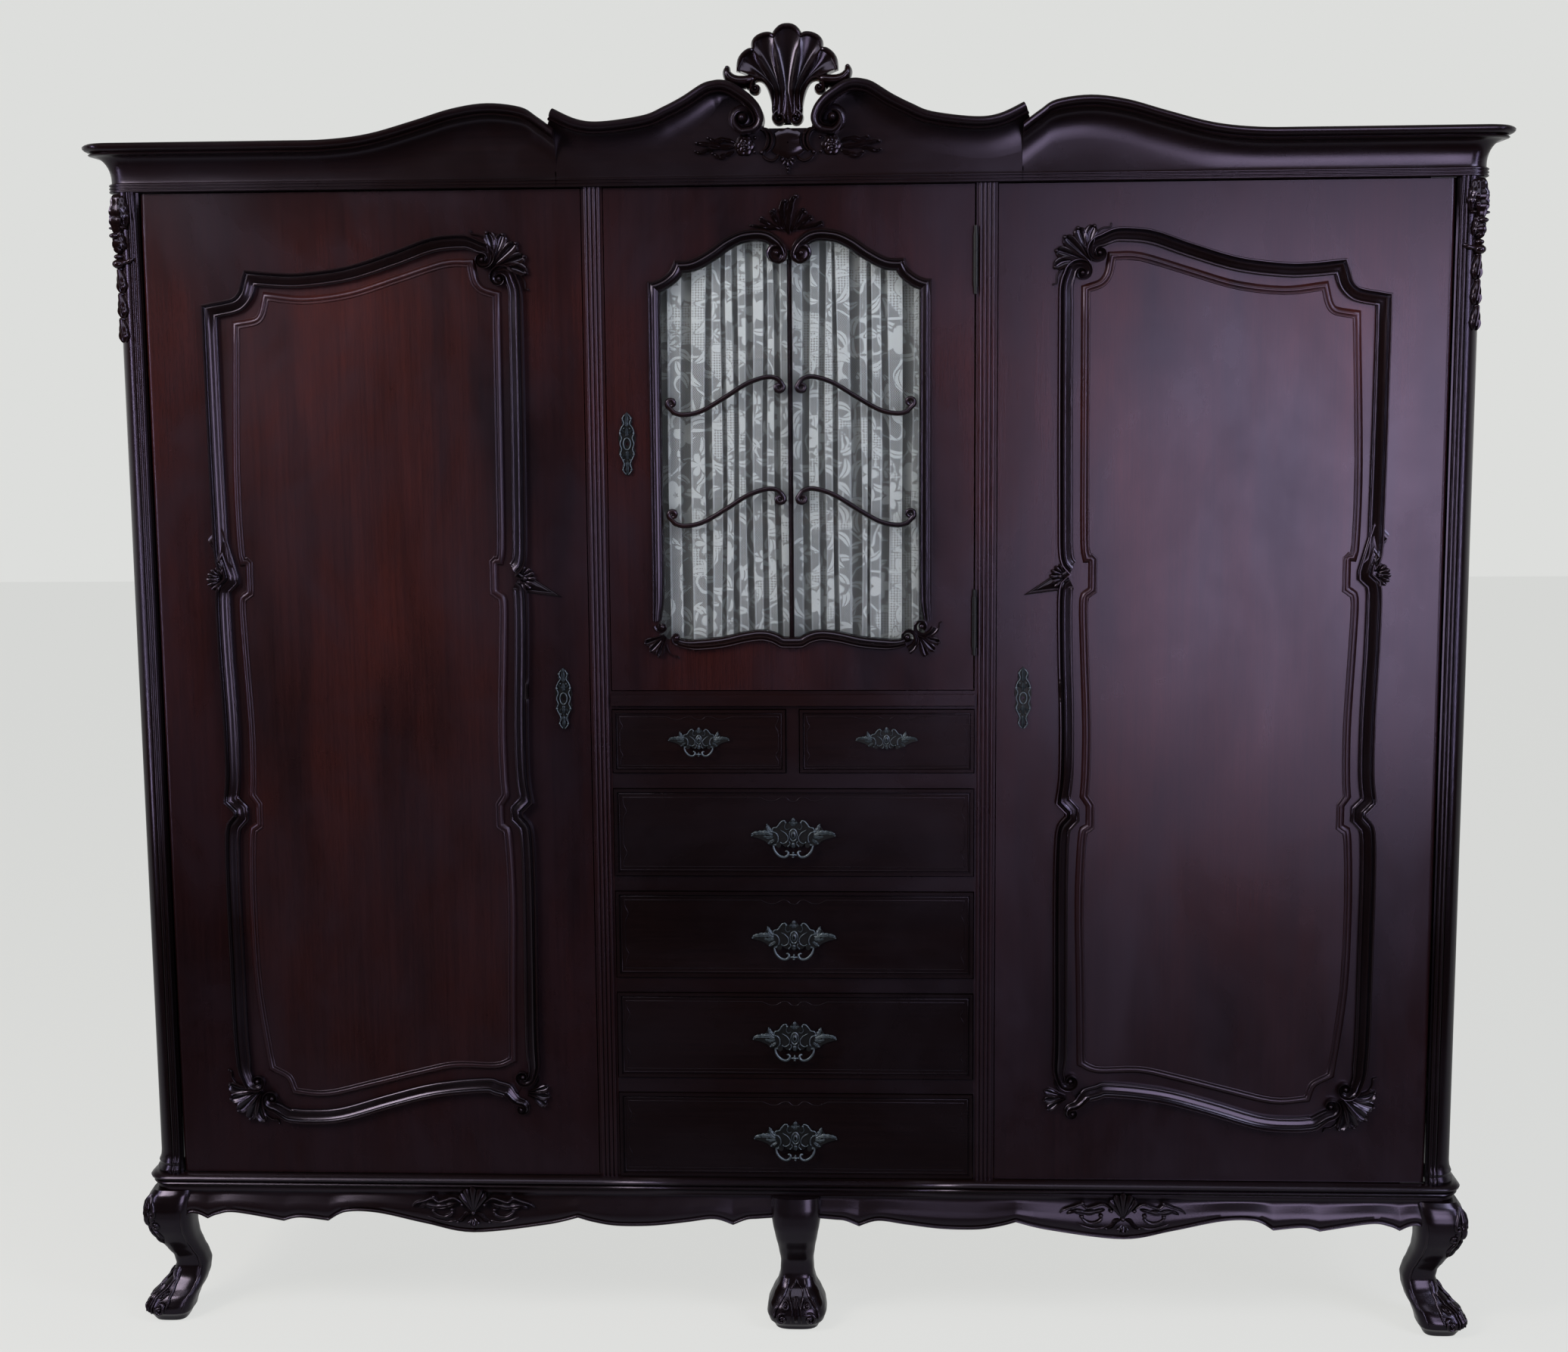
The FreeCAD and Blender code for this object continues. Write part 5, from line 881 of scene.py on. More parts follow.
def around(work, side, stations, section, turns=9):
    """Runs a section from the first station along the front, round the corner and back along the side.

    A station is a distance from the centre and a value that the section is drawn from."""
    rows, marks = [], []
    for along in range(len(stations) + turns + 3):
        value = stations[min(along, len(stations) - 1)][1]
        row, mark = [], []
        for out, z, relief in section(value):
            radius = 0.032 + max(out, 0.0) * 0.19
            centre = (side_plane + out - radius, face - out + radius)
            if along < len(stations):
                x, y = min(stations[along][0], centre[0]), face - out
            elif along <= len(stations) + turns:
                angle = math.radians(-90 + 90 * (along - len(stations)) / turns)
                x, y = centre[0] + radius * math.cos(angle), centre[1] + radius * math.sin(angle)
            else:
                share = (along - len(stations) - turns) / 2
                x, y = side_plane + out, centre[1] + (back_plane - centre[1]) * share
            row.append((side * x, y, z))
            mark.append(relief)
        rows.append(row)
        marks.append(mark)
    work.rows(rows, marks, across=True)
    work.lid(rows[0][::-1], 0.3)
    work.lid(rows[-1], 0.3)


def reeded_bead(low):
    points = [(-0.014, low, 0.0), (0.007, low, 0.2)]
    for k in range(3):
        for turn in (-60, -20, 20, 60):
            a = math.radians(turn)
            points.append((0.0068 + 0.0030 * math.cos(a), low + 0.0025 + 0.005 * k + 0.0023 * math.sin(a),
                           0.3 + 0.7 * math.cos(a)))
    return points + [(0.0062, low + 0.0155, 0.1), (0.0060, low + 0.0175, 0.1)]


def cornice_section(top):
    """Distance out, height and relief, from the inside of the foot round to the inside of the top."""
    points = reeded_bead(cornice_foot)
    spring = max(top - 0.066, cornice_foot + 0.019)
    rise = top - 0.020 - spring
    for k in range(11):
        a = math.radians(9 * k)
        points.append((0.006 + 0.0225 * (1 - math.cos(a)), spring + rise * math.sin(a), 0.35 + 0.02 * k))
    points += [(nosing_reach * share, top - down, mark) for down, share, mark in nosing[::-1]]
    return points + [(-0.014, top, 0.4)]


print("cornice foot at", round(cornice_foot, 3))

# %% [markdown]
# In the middle the nosing leaves the frieze, rises over a wave on each side, and rolls up into a big
# volute. A fretted board stands behind. Daylight shows between the volutes and the stem of the shell.

# %% Waves, volutes and the fretted board
wave_line = [(0.372, 2.036), (0.334, 2.019), (0.295, 2.0150), (0.229, 2.0235), (0.197, 2.036),
             (0.166, 2.0515), (0.136, 2.0700), (0.118, 2.0755), (0.1034, 2.0765), (0.088, 2.0728),
             (0.0735, 2.0645), (0.0560, 2.0515), (0.0430, 2.0360), (0.0370, 2.0180), (0.0410, 2.0035),
             (0.0530, 1.9945), (0.072, 1.992)]
volute_eye = (0.072, 2.018)
wave_steps = 6


def crown_line():
    line = through(wave_line, wave_steps)
    for i in range(1, 22):
        t = i / 10
        radius = 0.0098 + 0.0162 * math.exp(-1.05 * t)
        angle = math.radians(270 + 90 * t)
        line.append((volute_eye[0] + radius * math.cos(angle), volute_eye[1] + radius * math.sin(angle)))
    return line


def fretted_board(work, place):
    edge = through(wave_line[:14], 4)
    edge = beside(edge, [0.004] * len(edge))
    half = edge + [(0.0375, 2.003), (0.020, 2.003), (0.0, 2.003)]
    top = half + [(-x, z) for x, z in half[-2::-1]]
    low = cornice_foot + 0.0165
    rows = [[place(x, low, 0.006) for x, z in top], [place(x, z, 0.006) for x, z in top],
            [place(x, z, -0.014) for x, z in top], [place(x, low, -0.014) for x, z in top]]
    for a, b in zip(rows, rows[1:]):
        work.rows([a, b], [[0.3] * len(top)] * 2)


def crown(work, side, place):
    line = [(side * x, z) for x, z in crown_line()]
    count = len(line)
    turn_start = 8 * wave_steps
    widths, heights = [], []
    for i in range(count):
        t = max(0.0, (i - turn_start) / (count - turn_start))
        widths.append(side * (0.0052 + 0.0148 * math.cos(t * math.pi / 2) ** 0.9))
        heights.append(nosing_reach * (1 - 0.22 * t))
    roll = [(0.0, -0.3, 0.1)] + [(down / 0.020, share, mark) for down, share, mark in nosing]
    roll.append((1.0, -0.3, 0.1))
    run_profile(work, line, widths, heights, roll, place)
    boss(work, (side * volute_eye[0], volute_eye[1]), 0.0100, 0.0370, place, 20, 6)
    boss(work, (side * volute_eye[0], volute_eye[1]), 0.0250, 0.0150, place, 24, 5)
    cove = [(0.2, -0.3, 0.0), (0.2, 0.68, 0.5)]
    for k in range(1, 11):
        a = math.radians(9 * k)
        cove.append((1 - 0.8 * math.cos(a), 0.143 + 0.537 * (1 - math.sin(a)), 0.35))
    cove.append((1.0, -0.3, 0.0))
    span = line[:10 * wave_steps]
    wide = [side * 0.066 * (1 - 0.72 * (i / (len(span) - 1)) ** 1.5) for i in range(len(span))]
    run_profile(work, span, wide, [nosing_reach] * len(span), cove, place)


def cornice():
    work = Carving()
    place = on_front(face)
    for side in (1, -1):
        around(work, side, through(wing_line, 5), cornice_section)
        crown(work, side, place)
    fretted_board(work, place)
    bead = reeded_bead(cornice_foot)
    rows = [[(x, face - out, z) for out, z, mark in bead] for x in (-0.373, 0.373)]
    work.rows(rows, [[mark for out, z, mark in bead]] * 2)
    return work.piece("cornice_carved", level_wood, body="carcass",
                      replaces=["cornice_front", "cornice_returns"])


cornice()

# %% [markdown]
# The moulding at the foot of the carcass runs round the same corners with a section of its own: a
# rounded lip, a small bead under it and a quirk down to the apron.

# %% Base moulding
base_section = [(-0.010, 0.262, 0.2), (0.006, 0.262, 0.5), (0.0115, 0.2612, 0.8), (0.0150, 0.2592, 1.0),
                (0.0170, 0.2562, 1.0), (0.0160, 0.2530, 0.8), (0.0130, 0.2512, 0.5), (0.0100, 0.2505, 0.1),
                (0.0096, 0.2490, 0.1), (0.0118, 0.2478, 0.7), (0.0130, 0.2455, 1.0), (0.0118, 0.2432, 0.7),
                (0.0095, 0.2420, 0.1), (0.0080, 0.2400, 0.3), (0.0086, 0.2360, 0.7), (0.0070, 0.2325, 0.4),
                (-0.010, 0.2325, 0.0)]


def base_moulding():
    work = Carving()
    for side in (1, -1):
        around(work, side, [(0.0, 0), (0.35, 0), (0.70, 0), (1.04, 0)], lambda value: base_section)
    return work.piece("base_moulding_run", level_wood, body="carcass", replaces=["base_moulding"])


base_moulding()

# %% [markdown]
# Each corner post is a rounded shaft with two reeds and a quirk beside the door. The carver wrapped
# leaves round its rounded corner: two big ones under the cornice, a collar with a ball, and a drop of
# three leaves below. They are drawn flat, as distances round the post and up it, and laid on the post
# by a map.

# %% Corner posts
post_inner = 1.056
post_front = 0.264
post_round = 0.032
post_arc = post_round * math.pi / 2


def on_post(side):
    """A map for a post: u runs round it from the door, v is the height from the floor."""
    flat = side_plane - post_round - post_inner

    def place(u, v, h):
        if u <= flat:
            return (side * (post_inner + u), -post_front - h, v)
        turned_by = min((u - flat) / post_round, math.pi / 2)
        over = max(0.0, u - flat - post_arc)
        radius = post_round + h
        return (side * (side_plane - post_round + radius * math.sin(turned_by)),
                -post_front + post_round - radius * math.cos(turned_by) + over, v)
    return place


post_section = [(0.0, -0.012), (0.0, -0.006), (0.0035, -0.006), (0.0036, -0.0012)]
for reed_number in range(2):
    for turn in range(0, 181, 30):
        post_section.append((0.0036 + 0.0032 * (2 * reed_number + 1) - 0.0032 * math.cos(math.radians(turn)),
                             -0.0012 + 0.0022 * math.sin(math.radians(turn))))
reeds_end = 0.0176
plain_run = 0.0463 + 0.012
post_section += [(0.0166, -0.0022), (reeds_end, -0.0002)]
post_section += [(reeds_end + plain_run * k / 14, 0.0) for k in range(1, 15)]


def post(work, side):
    place = on_post(side)
    levels = [(0.2615, 0.0045), (0.266, 0.0070), (0.2705, 0.0062), (0.2745, 0.0030), (0.2765, 0.0028),
              (0.2800, 0.0042), (0.2835, 0.0028), (0.2880, 0.0010), (0.298, 0.0), (1.790, 0.0), (1.8, 0.0),
              (1.870, 0.0015), (1.900, 0.004), (1.9155, 0.0055)]
    rows = [[place(u, z, h + grow * min(1.0, max(0.0, (u - 0.002) / 0.004))) for u, h in post_section]
            for z, grow in levels]
    work.rows(rows, [[0.5 + 40 * h for u, h in post_section]] * len(rows))


def capital(work, side):
    place = on_post(side)
    edge = 0.036
    for lean, wide, start in ((0.0, 0.0150, 1.913), (0.017, 0.0085, 1.911), (-0.0165, 0.0085, 1.911)):
        drop = 0.066 - abs(lean) * 0.9
        line = [(edge + lean * 0.55, start), (edge + lean * 0.8, start - drop * 0.35),
                (edge + lean, start - drop * 0.7), (edge + lean * 0.9, start - drop)]
        leaf(work, line, wide, 0.019 - abs(lean) * 0.3, place, lobes=4, deep=0.25, tip=0.3, root=0.7)
        boss(work, line[-1], wide * 0.42, 0.019 - abs(lean) * 0.3, place, 12, 5)
    leaf(work, [(edge, 1.856), (edge - 0.001, 1.842), (edge, 1.828), (edge + 0.001, 1.818)], 0.0105, 0.0155,
         place, lobes=3, deep=0.3, tip=0.3, root=0.8)
    for lean in (-0.009, 0.009):
        leaf(work, [(edge + lean * 0.4, 1.852), (edge + lean, 1.838), (edge + lean * 1.25, 1.824)], 0.0052,
             0.012, place, lobes=2, tip=0.3, root=0.6)
    boss(work, (edge, 1.8135), 0.0055, 0.0125, place, 12, 5)
    boss(work, (edge, 1.8020), 0.0088, 0.0155, place, 16, 6)
    for way in (-1, 1):
        band = [(0.004, 1.802), (0.011, 1.8045), (0.018, 1.8055), (0.0245, 1.8095)]
        band = through([(edge + way * reach, z) for reach, z in band], 5)
        tendril(work, band, (0.0045, 0.0040, 0.0032), (0.009, 0.0075, 0.005), place)
    for top in (1.7925, 1.7525, 1.7125):
        for lean in (-0.005, 0.005):
            line = [(edge + lean * 0.2, top), (edge + lean * 0.9, top - 0.013),
                    (edge + lean * 1.5, top - 0.026), (edge + lean * 1.1, top - 0.037)]
            leaf(work, line, 0.0046, 0.0085, place, lobes=2, deep=0.2, tip=0.25, root=0.3)
        reed(work, [(edge, top), (edge, top - 0.012), (edge, top - 0.030)], [0.0026] * 3,
             [0.009, 0.0085, 0.005], place)
        boss(work, (edge, top + 0.001), 0.0034, 0.0085, place, 10, 4)


def corner_posts():
    work = Carving()
    for side in (1, -1):
        post(work, side)
        capital(work, side)
    return work.piece("corner_posts_carved", carved_wood, body="carcass", replaces=["corner_posts"])


corner_posts()

# %% [markdown]
# The crest is a pierced shell of hollow flutes. Each flute starts in the stem, bends outwards and ends
# in a lobe with a raised rim, so the whole shell is one skin: s counts across the flutes, t up them.
# Under it two C scrolls curl in, and a leaf curls up at each side.

# %% Shell crest
rim_line = [[(0.0, 2.162), (0.0095, 2.160), (0.0178, 2.1520), (0.0215, 2.1440)],
            [(0.0215, 2.1440), (0.0290, 2.1490), (0.0389, 2.1485), (0.0485, 2.1440), (0.0536, 2.1365),
             (0.0546, 2.1255)],
            [(0.0546, 2.1255), (0.0610, 2.1248), (0.0670, 2.1215), (0.0725, 2.1160), (0.0765, 2.1080),
             (0.0795, 2.0930)]]
flute_steps = 8


def part_way(line, share):
    """The point at a share of a line of many points."""
    at = share * (len(line) - 1)
    j = min(int(at), len(line) - 2)
    return tuple(a + (b - a) * (at - j) for a, b in zip(line[j], line[j + 1]))


def crest_skin(work, side, place):
    rim = []
    for number, run in enumerate(rim_line):
        fine = through(run, flute_steps * 2 // (len(run) - 1) + 2)
        for i, point in enumerate(fine[:-1] if number < 2 else fine):
            q = i / (len(fine) - 1)
            rim.append((point, q / 2 + 0.5 if number == 0 else q))
    rows, marks = [], []
    back = -0.014
    count = len(rim) - 1
    steps = 18
    for i, ((x, z), q) in enumerate(rim):
        s = i / count
        way = through([(0.0185 * s, 2.010), (0.0245 * s, 2.028), (0.0240 * s, 2.052),
                       (0.0275 * s + x * 0.06, 2.0725 + (z - 2.11) * 0.04), (x, z)], 6)
        row, mark = [], []
        for k in range(steps + 1):
            t = k / steps
            u, v = part_way(way, t)
            hollow = math.sin(math.pi * q) ** 0.75
            open_up = min(1.0, max(0.0, (t - 0.12) * 1.5))
            swell = 0.0135 + 0.0150 * math.sin(math.pi * min(1.0, t * 0.94) ** 1.4)
            swell *= 1 - 0.16 * s
            scoop = 0.0105 * hollow * open_up * (1 - max(0.0, (t - 0.86) / 0.14) ** 2 * 0.95)
            row.append(place(side * u, v, swell - scoop - 0.002 * (t > 0.97)))
            mark.append(min(1.0, 0.95 - 0.75 * hollow * open_up + max(0.0, t - 0.85) * 3))
        outward_x, outward_z = (x - way[-4][0]), (z - way[-4][1])
        far = math.hypot(outward_x, outward_z)
        row.append(place(side * (x + outward_x / far * 0.0012), z + outward_z / far * 0.0012, 0.008))
        row.append(place(side * (x + outward_x / far * 0.0016), z + outward_z / far * 0.0016, 0.0))
        mark += [0.5, 0.5]
        for k in range(steps, -1, -1):
            u, v = part_way(way, k / steps)
            row.append(place(side * u, v, back))
            mark.append(0.1)
        rows.append(row)
        marks.append(mark)
    work.rows(rows, marks)
    last = rows[-1]
    work.rows([last[:steps + 1], last[:steps + 2:-1]], [[0.3] * (steps + 1)] * 2)


def crest():
    work = Carving()
    place = on_front(face)
    middle = [(-x, z - 0.0022) for x, z in rim_line[0][:0:-1]] + [(x, z - 0.0022) for x, z in rim_line[0]]
    middle = through(middle, 7)
    tendril(work, middle, (0.0030, 0.0056, 0.0030), (0.0175, 0.0215, 0.0175), place)
    for side in (1, -1):
        crest_skin(work, side, place)
        for run in rim_line[1:]:
            lip = through([(side * (x - 0.0012), z - 0.0022) for x, z in run], 7)
            tendril(work, lip, (0.0030, 0.0054, 0.0030), (0.0175, 0.0205, 0.0170), place)
        tip = [(0.052, 2.0790), (0.066, 2.0765), (0.080, 2.0768), (0.0905, 2.0810), (0.0960, 2.0890),
               (0.0955, 2.0965)]
        line = through([(side * x, z) for x, z in tip], 6)
        tendril(work, line, (0.0090, 0.0092, 0.0048, 0.3, 0.5), (0.020, 0.024, 0.019), place)
        boss(work, (side * 0.0955, 2.0965), 0.0048, 0.020, place, 12, 5)
        under = [(0.090, 2.0800), (0.078, 2.0735), (0.064, 2.0695), (0.053, 2.0640)]
        leaf(work, [(side * x, z) for x, z in under[::-1]], 0.0060, 0.021, place, lobes=3, tip=0.3, root=0.8)
        arch = [(0.0215, 2.030), (0.0240, 2.050), (0.0290, 2.066), (0.0370, 2.0765), (0.0470, 2.0795),
                (0.0550, 2.0745), (0.0575, 2.0660)]
        line = through([(side * x, z) for x, z in arch], 6)
        line += spiral((side * 0.0510, 2.0640), 15 if side > 0 else 165, -side, 1.1, 0.0070, 0.0030, 1.4,
                       20)[1:]
        tendril(work, line, (0.0022, 0.0042, 0.0024), (0.013, 0.0225, 0.017), place)
        boss(work, (side * 0.0505, 2.0640), 0.0042, 0.0215, place, 12, 5)
        curl = spiral((side * 0.0125, 2.0175), 80 if side > 0 else 100, -side, 1.25, 0.0125, 0.0030, 1.5, 22)
        tendril(work, curl, (0.0030, 0.0034, 0.0020), (0.018, 0.0235, 0.019), place)
        boss(work, (side * 0.0125, 2.0175), 0.0036, 0.0225, place, 12, 5)
        for lean, rise in ((0.0185, 0.021), (0.0225, 0.014)):
            sprig = [(side * 0.0180, 2.024), (side * lean, 2.024 + rise * 0.6),
                     (side * (lean - 0.004), 2.024 + rise)]
            leaf(work, sprig, 0.0032, 0.0215, place, lobes=2, tip=0.3, root=0.5)
    return work.piece("crest_shell_carved", carved_wood, sharp=50, body="carcass", replaces=["crest_shell"])


crest()

# %% [markdown]
# Below it the cartouche sits on the frieze: a plain shield between double C scrolls, a small shell with
# a bead, and on each side a rose and a spray of long leaves.

# %% Cartouche
def rose(work, centre, radius, height, place):
    """A rose of rings of petals, each ring smaller, higher and turned by half a petal."""
    for ring_number, (share, petals) in enumerate(((1.0, 6), (0.70, 5), (0.42, 4))):
        for k in range(petals):
            angle = 2 * math.pi * (k + 0.5 * ring_number) / petals
            reach = radius * share
            middle = (centre[0] + reach * 0.52 * math.cos(angle), centre[1] + reach * 0.52 * math.sin(angle))
            rows, marks = [], []
            for r in range(5):
                size = reach * 0.50 * (1 - r / 4)
                domed = 0.5 + 0.5 * math.sin(math.pi * (0.1 + 0.55 * r / 4))
                up = height * (0.45 + 0.25 * ring_number) * domed
                rows.append([place(middle[0] + size * math.cos(angle + a) * 1.05,
                                   middle[1] + size * math.sin(angle + a) * 1.15,
                                   up if r else -0.0005) for a in [2 * math.pi * j / 12 for j in range(12)]])
                marks.append([0.1 if r == 0 else 0.5 + 0.12 * r] * 12)
            work.rows(rows, marks, across=True)
    boss(work, centre, radius * 0.2, height * 1.05, place, 10, 4)


def cartouche():
    work = Carving()
    place = on_front(face - 0.0055)
    rows = []
    shield = [(0.0, 2.0035), (0.014, 2.0005), (0.0215, 1.9955), (0.0190, 1.9850), (0.0200, 1.9760),
              (0.0260, 1.9670), (0.0180, 1.9610), (0.0090, 1.9570), (0.0, 1.9555)]
    outline = shield + [(-x, z) for x, z in shield[-2:0:-1]]
    for share, rise in ((1.03, -0.001), (1.0, 0.0050), (0.93, 0.0066), (0.5, 0.0078), (0.05, 0.0084)):
        rows.append([place(x * share, 1.980 + (z - 1.980) * share, rise) for x, z in outline])
    work.rows(rows, [[m] * len(outline) for m in (0.1, 0.7, 0.8, 0.6, 0.6)], across=True)
    for side in (1, -1):
        for offset, wide in ((0.0, 0.0026), (0.0068, 0.0036)):
            scroll = [(0.0440 + offset, 2.0025), (0.0330 + offset * 0.9, 2.0010), (0.0262 + offset, 1.9930),
                      (0.0250 + offset, 1.9830), (0.0280 + offset, 1.9730), (0.0345 + offset, 1.9665)]
            line = through([(side * x, z) for x, z in scroll], 5)
            reed(work, line, taper(len(line), 0.0018, wide, 0.0018), [0.0085] * len(line), place)
        boss(work, (side * 0.0470, 2.0015), 0.0042, 0.0090, place, 12, 5)
        boss(work, (side * 0.0415, 1.9655), 0.0042, 0.0090, place, 12, 5)
        skirt = through([(side * 0.0400, 1.9600), (side * 0.0330, 1.9545), (side * 0.0250, 1.9525),
                         (side * 0.0180, 1.9560), (side * 0.0150, 1.9610)], 5)
        reed(work, skirt, taper(len(skirt), 0.0020, 0.0030, 0.0016), [0.0075] * len(skirt), place)
        rose(work, (side * 0.0695, 1.9765), 0.0165, 0.0125, place)
        for dx, dz in ((0.052, 1.9885), (0.0530, 1.9665)):
            boss(work, (side * dx, dz), 0.0034, 0.0070, place, 10, 4)
        leaves = [([(0.084, 1.981), (0.100, 1.9865), (0.116, 1.9845), (0.1275, 1.9890)], 0.0052),
                  ([(0.086, 1.974), (0.106, 1.9745), (0.128, 1.9790), (0.146, 1.9815)], 0.0058),
                  ([(0.084, 1.968), (0.098, 1.9620), (0.110, 1.9590), (0.1205, 1.9650)], 0.0050),
                  ([(0.112, 1.9725), (0.128, 1.9700), (0.140, 1.9660), (0.1480, 1.9685)], 0.0042)]
        for run, wide in leaves:
            line = [(side * x, z) for x, z in run]
            leaf(work, line, wide, 0.0085, place, lobes=3, deep=0.35, tip=0.35, root=0.3)
            boss(work, line[-1], wide * 0.6, 0.0080, place, 10, 4)
    shell(work, (0.0, 1.9590), -90, 150, 0.0155, 0.0100, 5, place, root=0.2)
    for dz, size in ((1.9400, 0.0034), (1.9345, 0.0022)):
        boss(work, (0.0, dz), size, 0.0075, place, 10, 4)
    return work.piece("crest_cartouche_carved", carved_wood, body="carcass", replaces=["crest_cartouche"])


cartouche()

# %% [markdown]
# The stand is one flowing form: the apron bulges, ends in a bead along its scalloped edge, and meets
# the knees. A leg is a stack of rounded squares. The corner legs lean out along the diagonal, so their
# rounded squares move as far forwards as sideways. A map lays carving on a leg as it does on a post.

# %% Aprons
moulding_foot = 0.232
apron_start = 1.025
apron_end = 0.040
apron_depth = 0.068
apron_line = [
    [(-0.030, 0.68), (-0.018, 0.58), (-0.004, 0.60), (0.012, 0.71)],
    [(0.012, 0.71), (0.030, 0.60), (0.062, 0.545), (0.1465, 0.75)],
    [(0.1465, 0.75), (0.175, 0.66), (0.225, 0.735)],
    [(0.225, 0.735), (0.257, 0.50), (0.313, 0.515), (0.397, 0.78), (0.480, 1.0), (0.604, 0.79),
     (0.663, 0.59)],
    [(0.663, 0.59), (0.690, 0.70), (0.730, 0.79), (0.791, 0.78), (0.850, 0.68), (0.899, 0.59),
     (0.932, 0.735)],
    [(0.932, 0.735), (0.955, 0.60), (0.974, 0.57), (1, 0.54)]]


def apron_section(low):
    fall = moulding_foot - low
    return [(-0.010, low, 0.1), (-0.010, moulding_foot, 0.1), (0.004, moulding_foot, 0.2),
            (0.0032, moulding_foot - 0.004, 0.2), (0.0052, moulding_foot - fall * 0.22, 0.3),
            (0.0100, moulding_foot - fall * 0.42, 0.5), (0.0132, moulding_foot - fall * 0.60, 0.7),
            (0.0140, moulding_foot - fall * 0.74, 0.8), (0.0128, low + 0.0080, 0.6),
            (0.0112, low + 0.0056, 0.1), (0.0128, low + 0.0050, 0.7), (0.0146, low + 0.0034, 1.0),
            (0.0148, low + 0.0016, 1.0), (0.0130, low, 0.7)]


def aprons():
    work = Carving()
    edge = corners_of(apron_line, 7) + [apron_line[-1][-1]]
    for side in (1, -1):
        rows, marks = [], []
        for share, depth in edge:
            x = apron_start + (apron_end - apron_start) * share
            section = apron_section(moulding_foot - apron_depth * depth)
            rows.append([(side * x, face - out, z) for out, z, mark in section])
            marks.append([mark for out, z, mark in section])
        work.rows(rows, marks, across=True)
        work.lid(rows[0][::-1], 0.3)
        work.lid(rows[-1], 0.3)
    return work.piece("aprons_front_carved", level_wood, sharp=45, body="carcass", replaces=["aprons_front"])


aprons()

# %% Legs
corner_levels = [(0.232, 1.0760, 0.0365), (0.224, 1.0795, 0.0385), (0.212, 1.0825, 0.0400),
                 (0.198, 1.0845, 0.0408), (0.182, 1.0850, 0.0405), (0.162, 1.0825, 0.0375),
                 (0.141, 1.0765, 0.0330), (0.122, 1.0685, 0.0295), (0.104, 1.0610, 0.0275),
                 (0.088, 1.0580, 0.0280), (0.071, 1.0620, 0.0305), (0.055, 1.0710, 0.0350),
                 (0.040, 1.0825, 0.0385), (0.025, 1.0885, 0.0395), (0.016, 1.0895, 0.0385),
                 (0.010, 1.0885, 0.0330), (0.000, 1.0880, 0.0270)]
centre_levels = [(0.232, -0.240, 0.0440), (0.205, -0.246, 0.0440), (0.182, -0.250, 0.0400),
                 (0.160, -0.246, 0.0360), (0.135, -0.236, 0.0315), (0.108, -0.226, 0.0280),
                 (0.085, -0.226, 0.0290), (0.070, -0.230, 0.0330), (0.055, -0.236, 0.0420),
                 (0.040, -0.241, 0.0490), (0.026, -0.243, 0.0510), (0.014, -0.243, 0.0470),
                 (0.006, -0.242, 0.0400), (0.000, -0.242, 0.0370)]


def rounded_square(angle, half, power=3.4):
    return half / (abs(math.cos(angle)) ** power + abs(math.sin(angle)) ** power) ** (1 / power)


def leg_at(levels, v):
    """Where the middle of a leg is at height v, and half of its width there."""
    k = 0
    while k < len(levels) - 2 and levels[k + 1][0] > v:
        k += 1
    high, low = levels[k], levels[k + 1]
    t = min(1.0, max(0.0, (high[0] - v) / (high[0] - low[0])))
    t = t if k in (0, len(levels) - 2) else t * t * (3 - 2 * t) * 0.4 + t * 0.6
    return high[1] + (low[1] - high[1]) * t, high[2] + (low[2] - high[2]) * t


def on_leg(levels, side):
    """A map for a leg: u runs round it from its outer corner. Side 0 is the centre leg, and its u
    runs from the middle of its front."""
    corner = side != 0
    toward = math.radians(-45) if corner else math.radians(-90)

    def place(u, v, h):
        shift, half = leg_at(levels, v)
        angle = toward + u / half * math.pi / 4
        radius = rounded_square(angle, half) + h
        middle = (shift, face + side_plane - shift) if corner else (0.0, shift)
        x = middle[0] + radius * math.cos(angle)
        return ((side if corner else 1) * x, middle[1] + radius * math.sin(angle), v)
    return place


def leg_skin(work, levels, side):
    place = on_leg(levels, side)
    heights = [level[0] for level in levels]
    fine = [a + (b - a) * k / 3 for a, b in zip(heights, heights[1:]) for k in range(3)] + [heights[-1]]
    rows = [[place(j / 5 * leg_at(levels, v)[1], v, 0.0) for j in range(40)] for v in fine]
    work.rows(rows, [[0.55] * 40] * len(rows), across=True)
    work.lid(rows[-1], 0.3)
    work.lid(rows[0][::-1], 0.3)


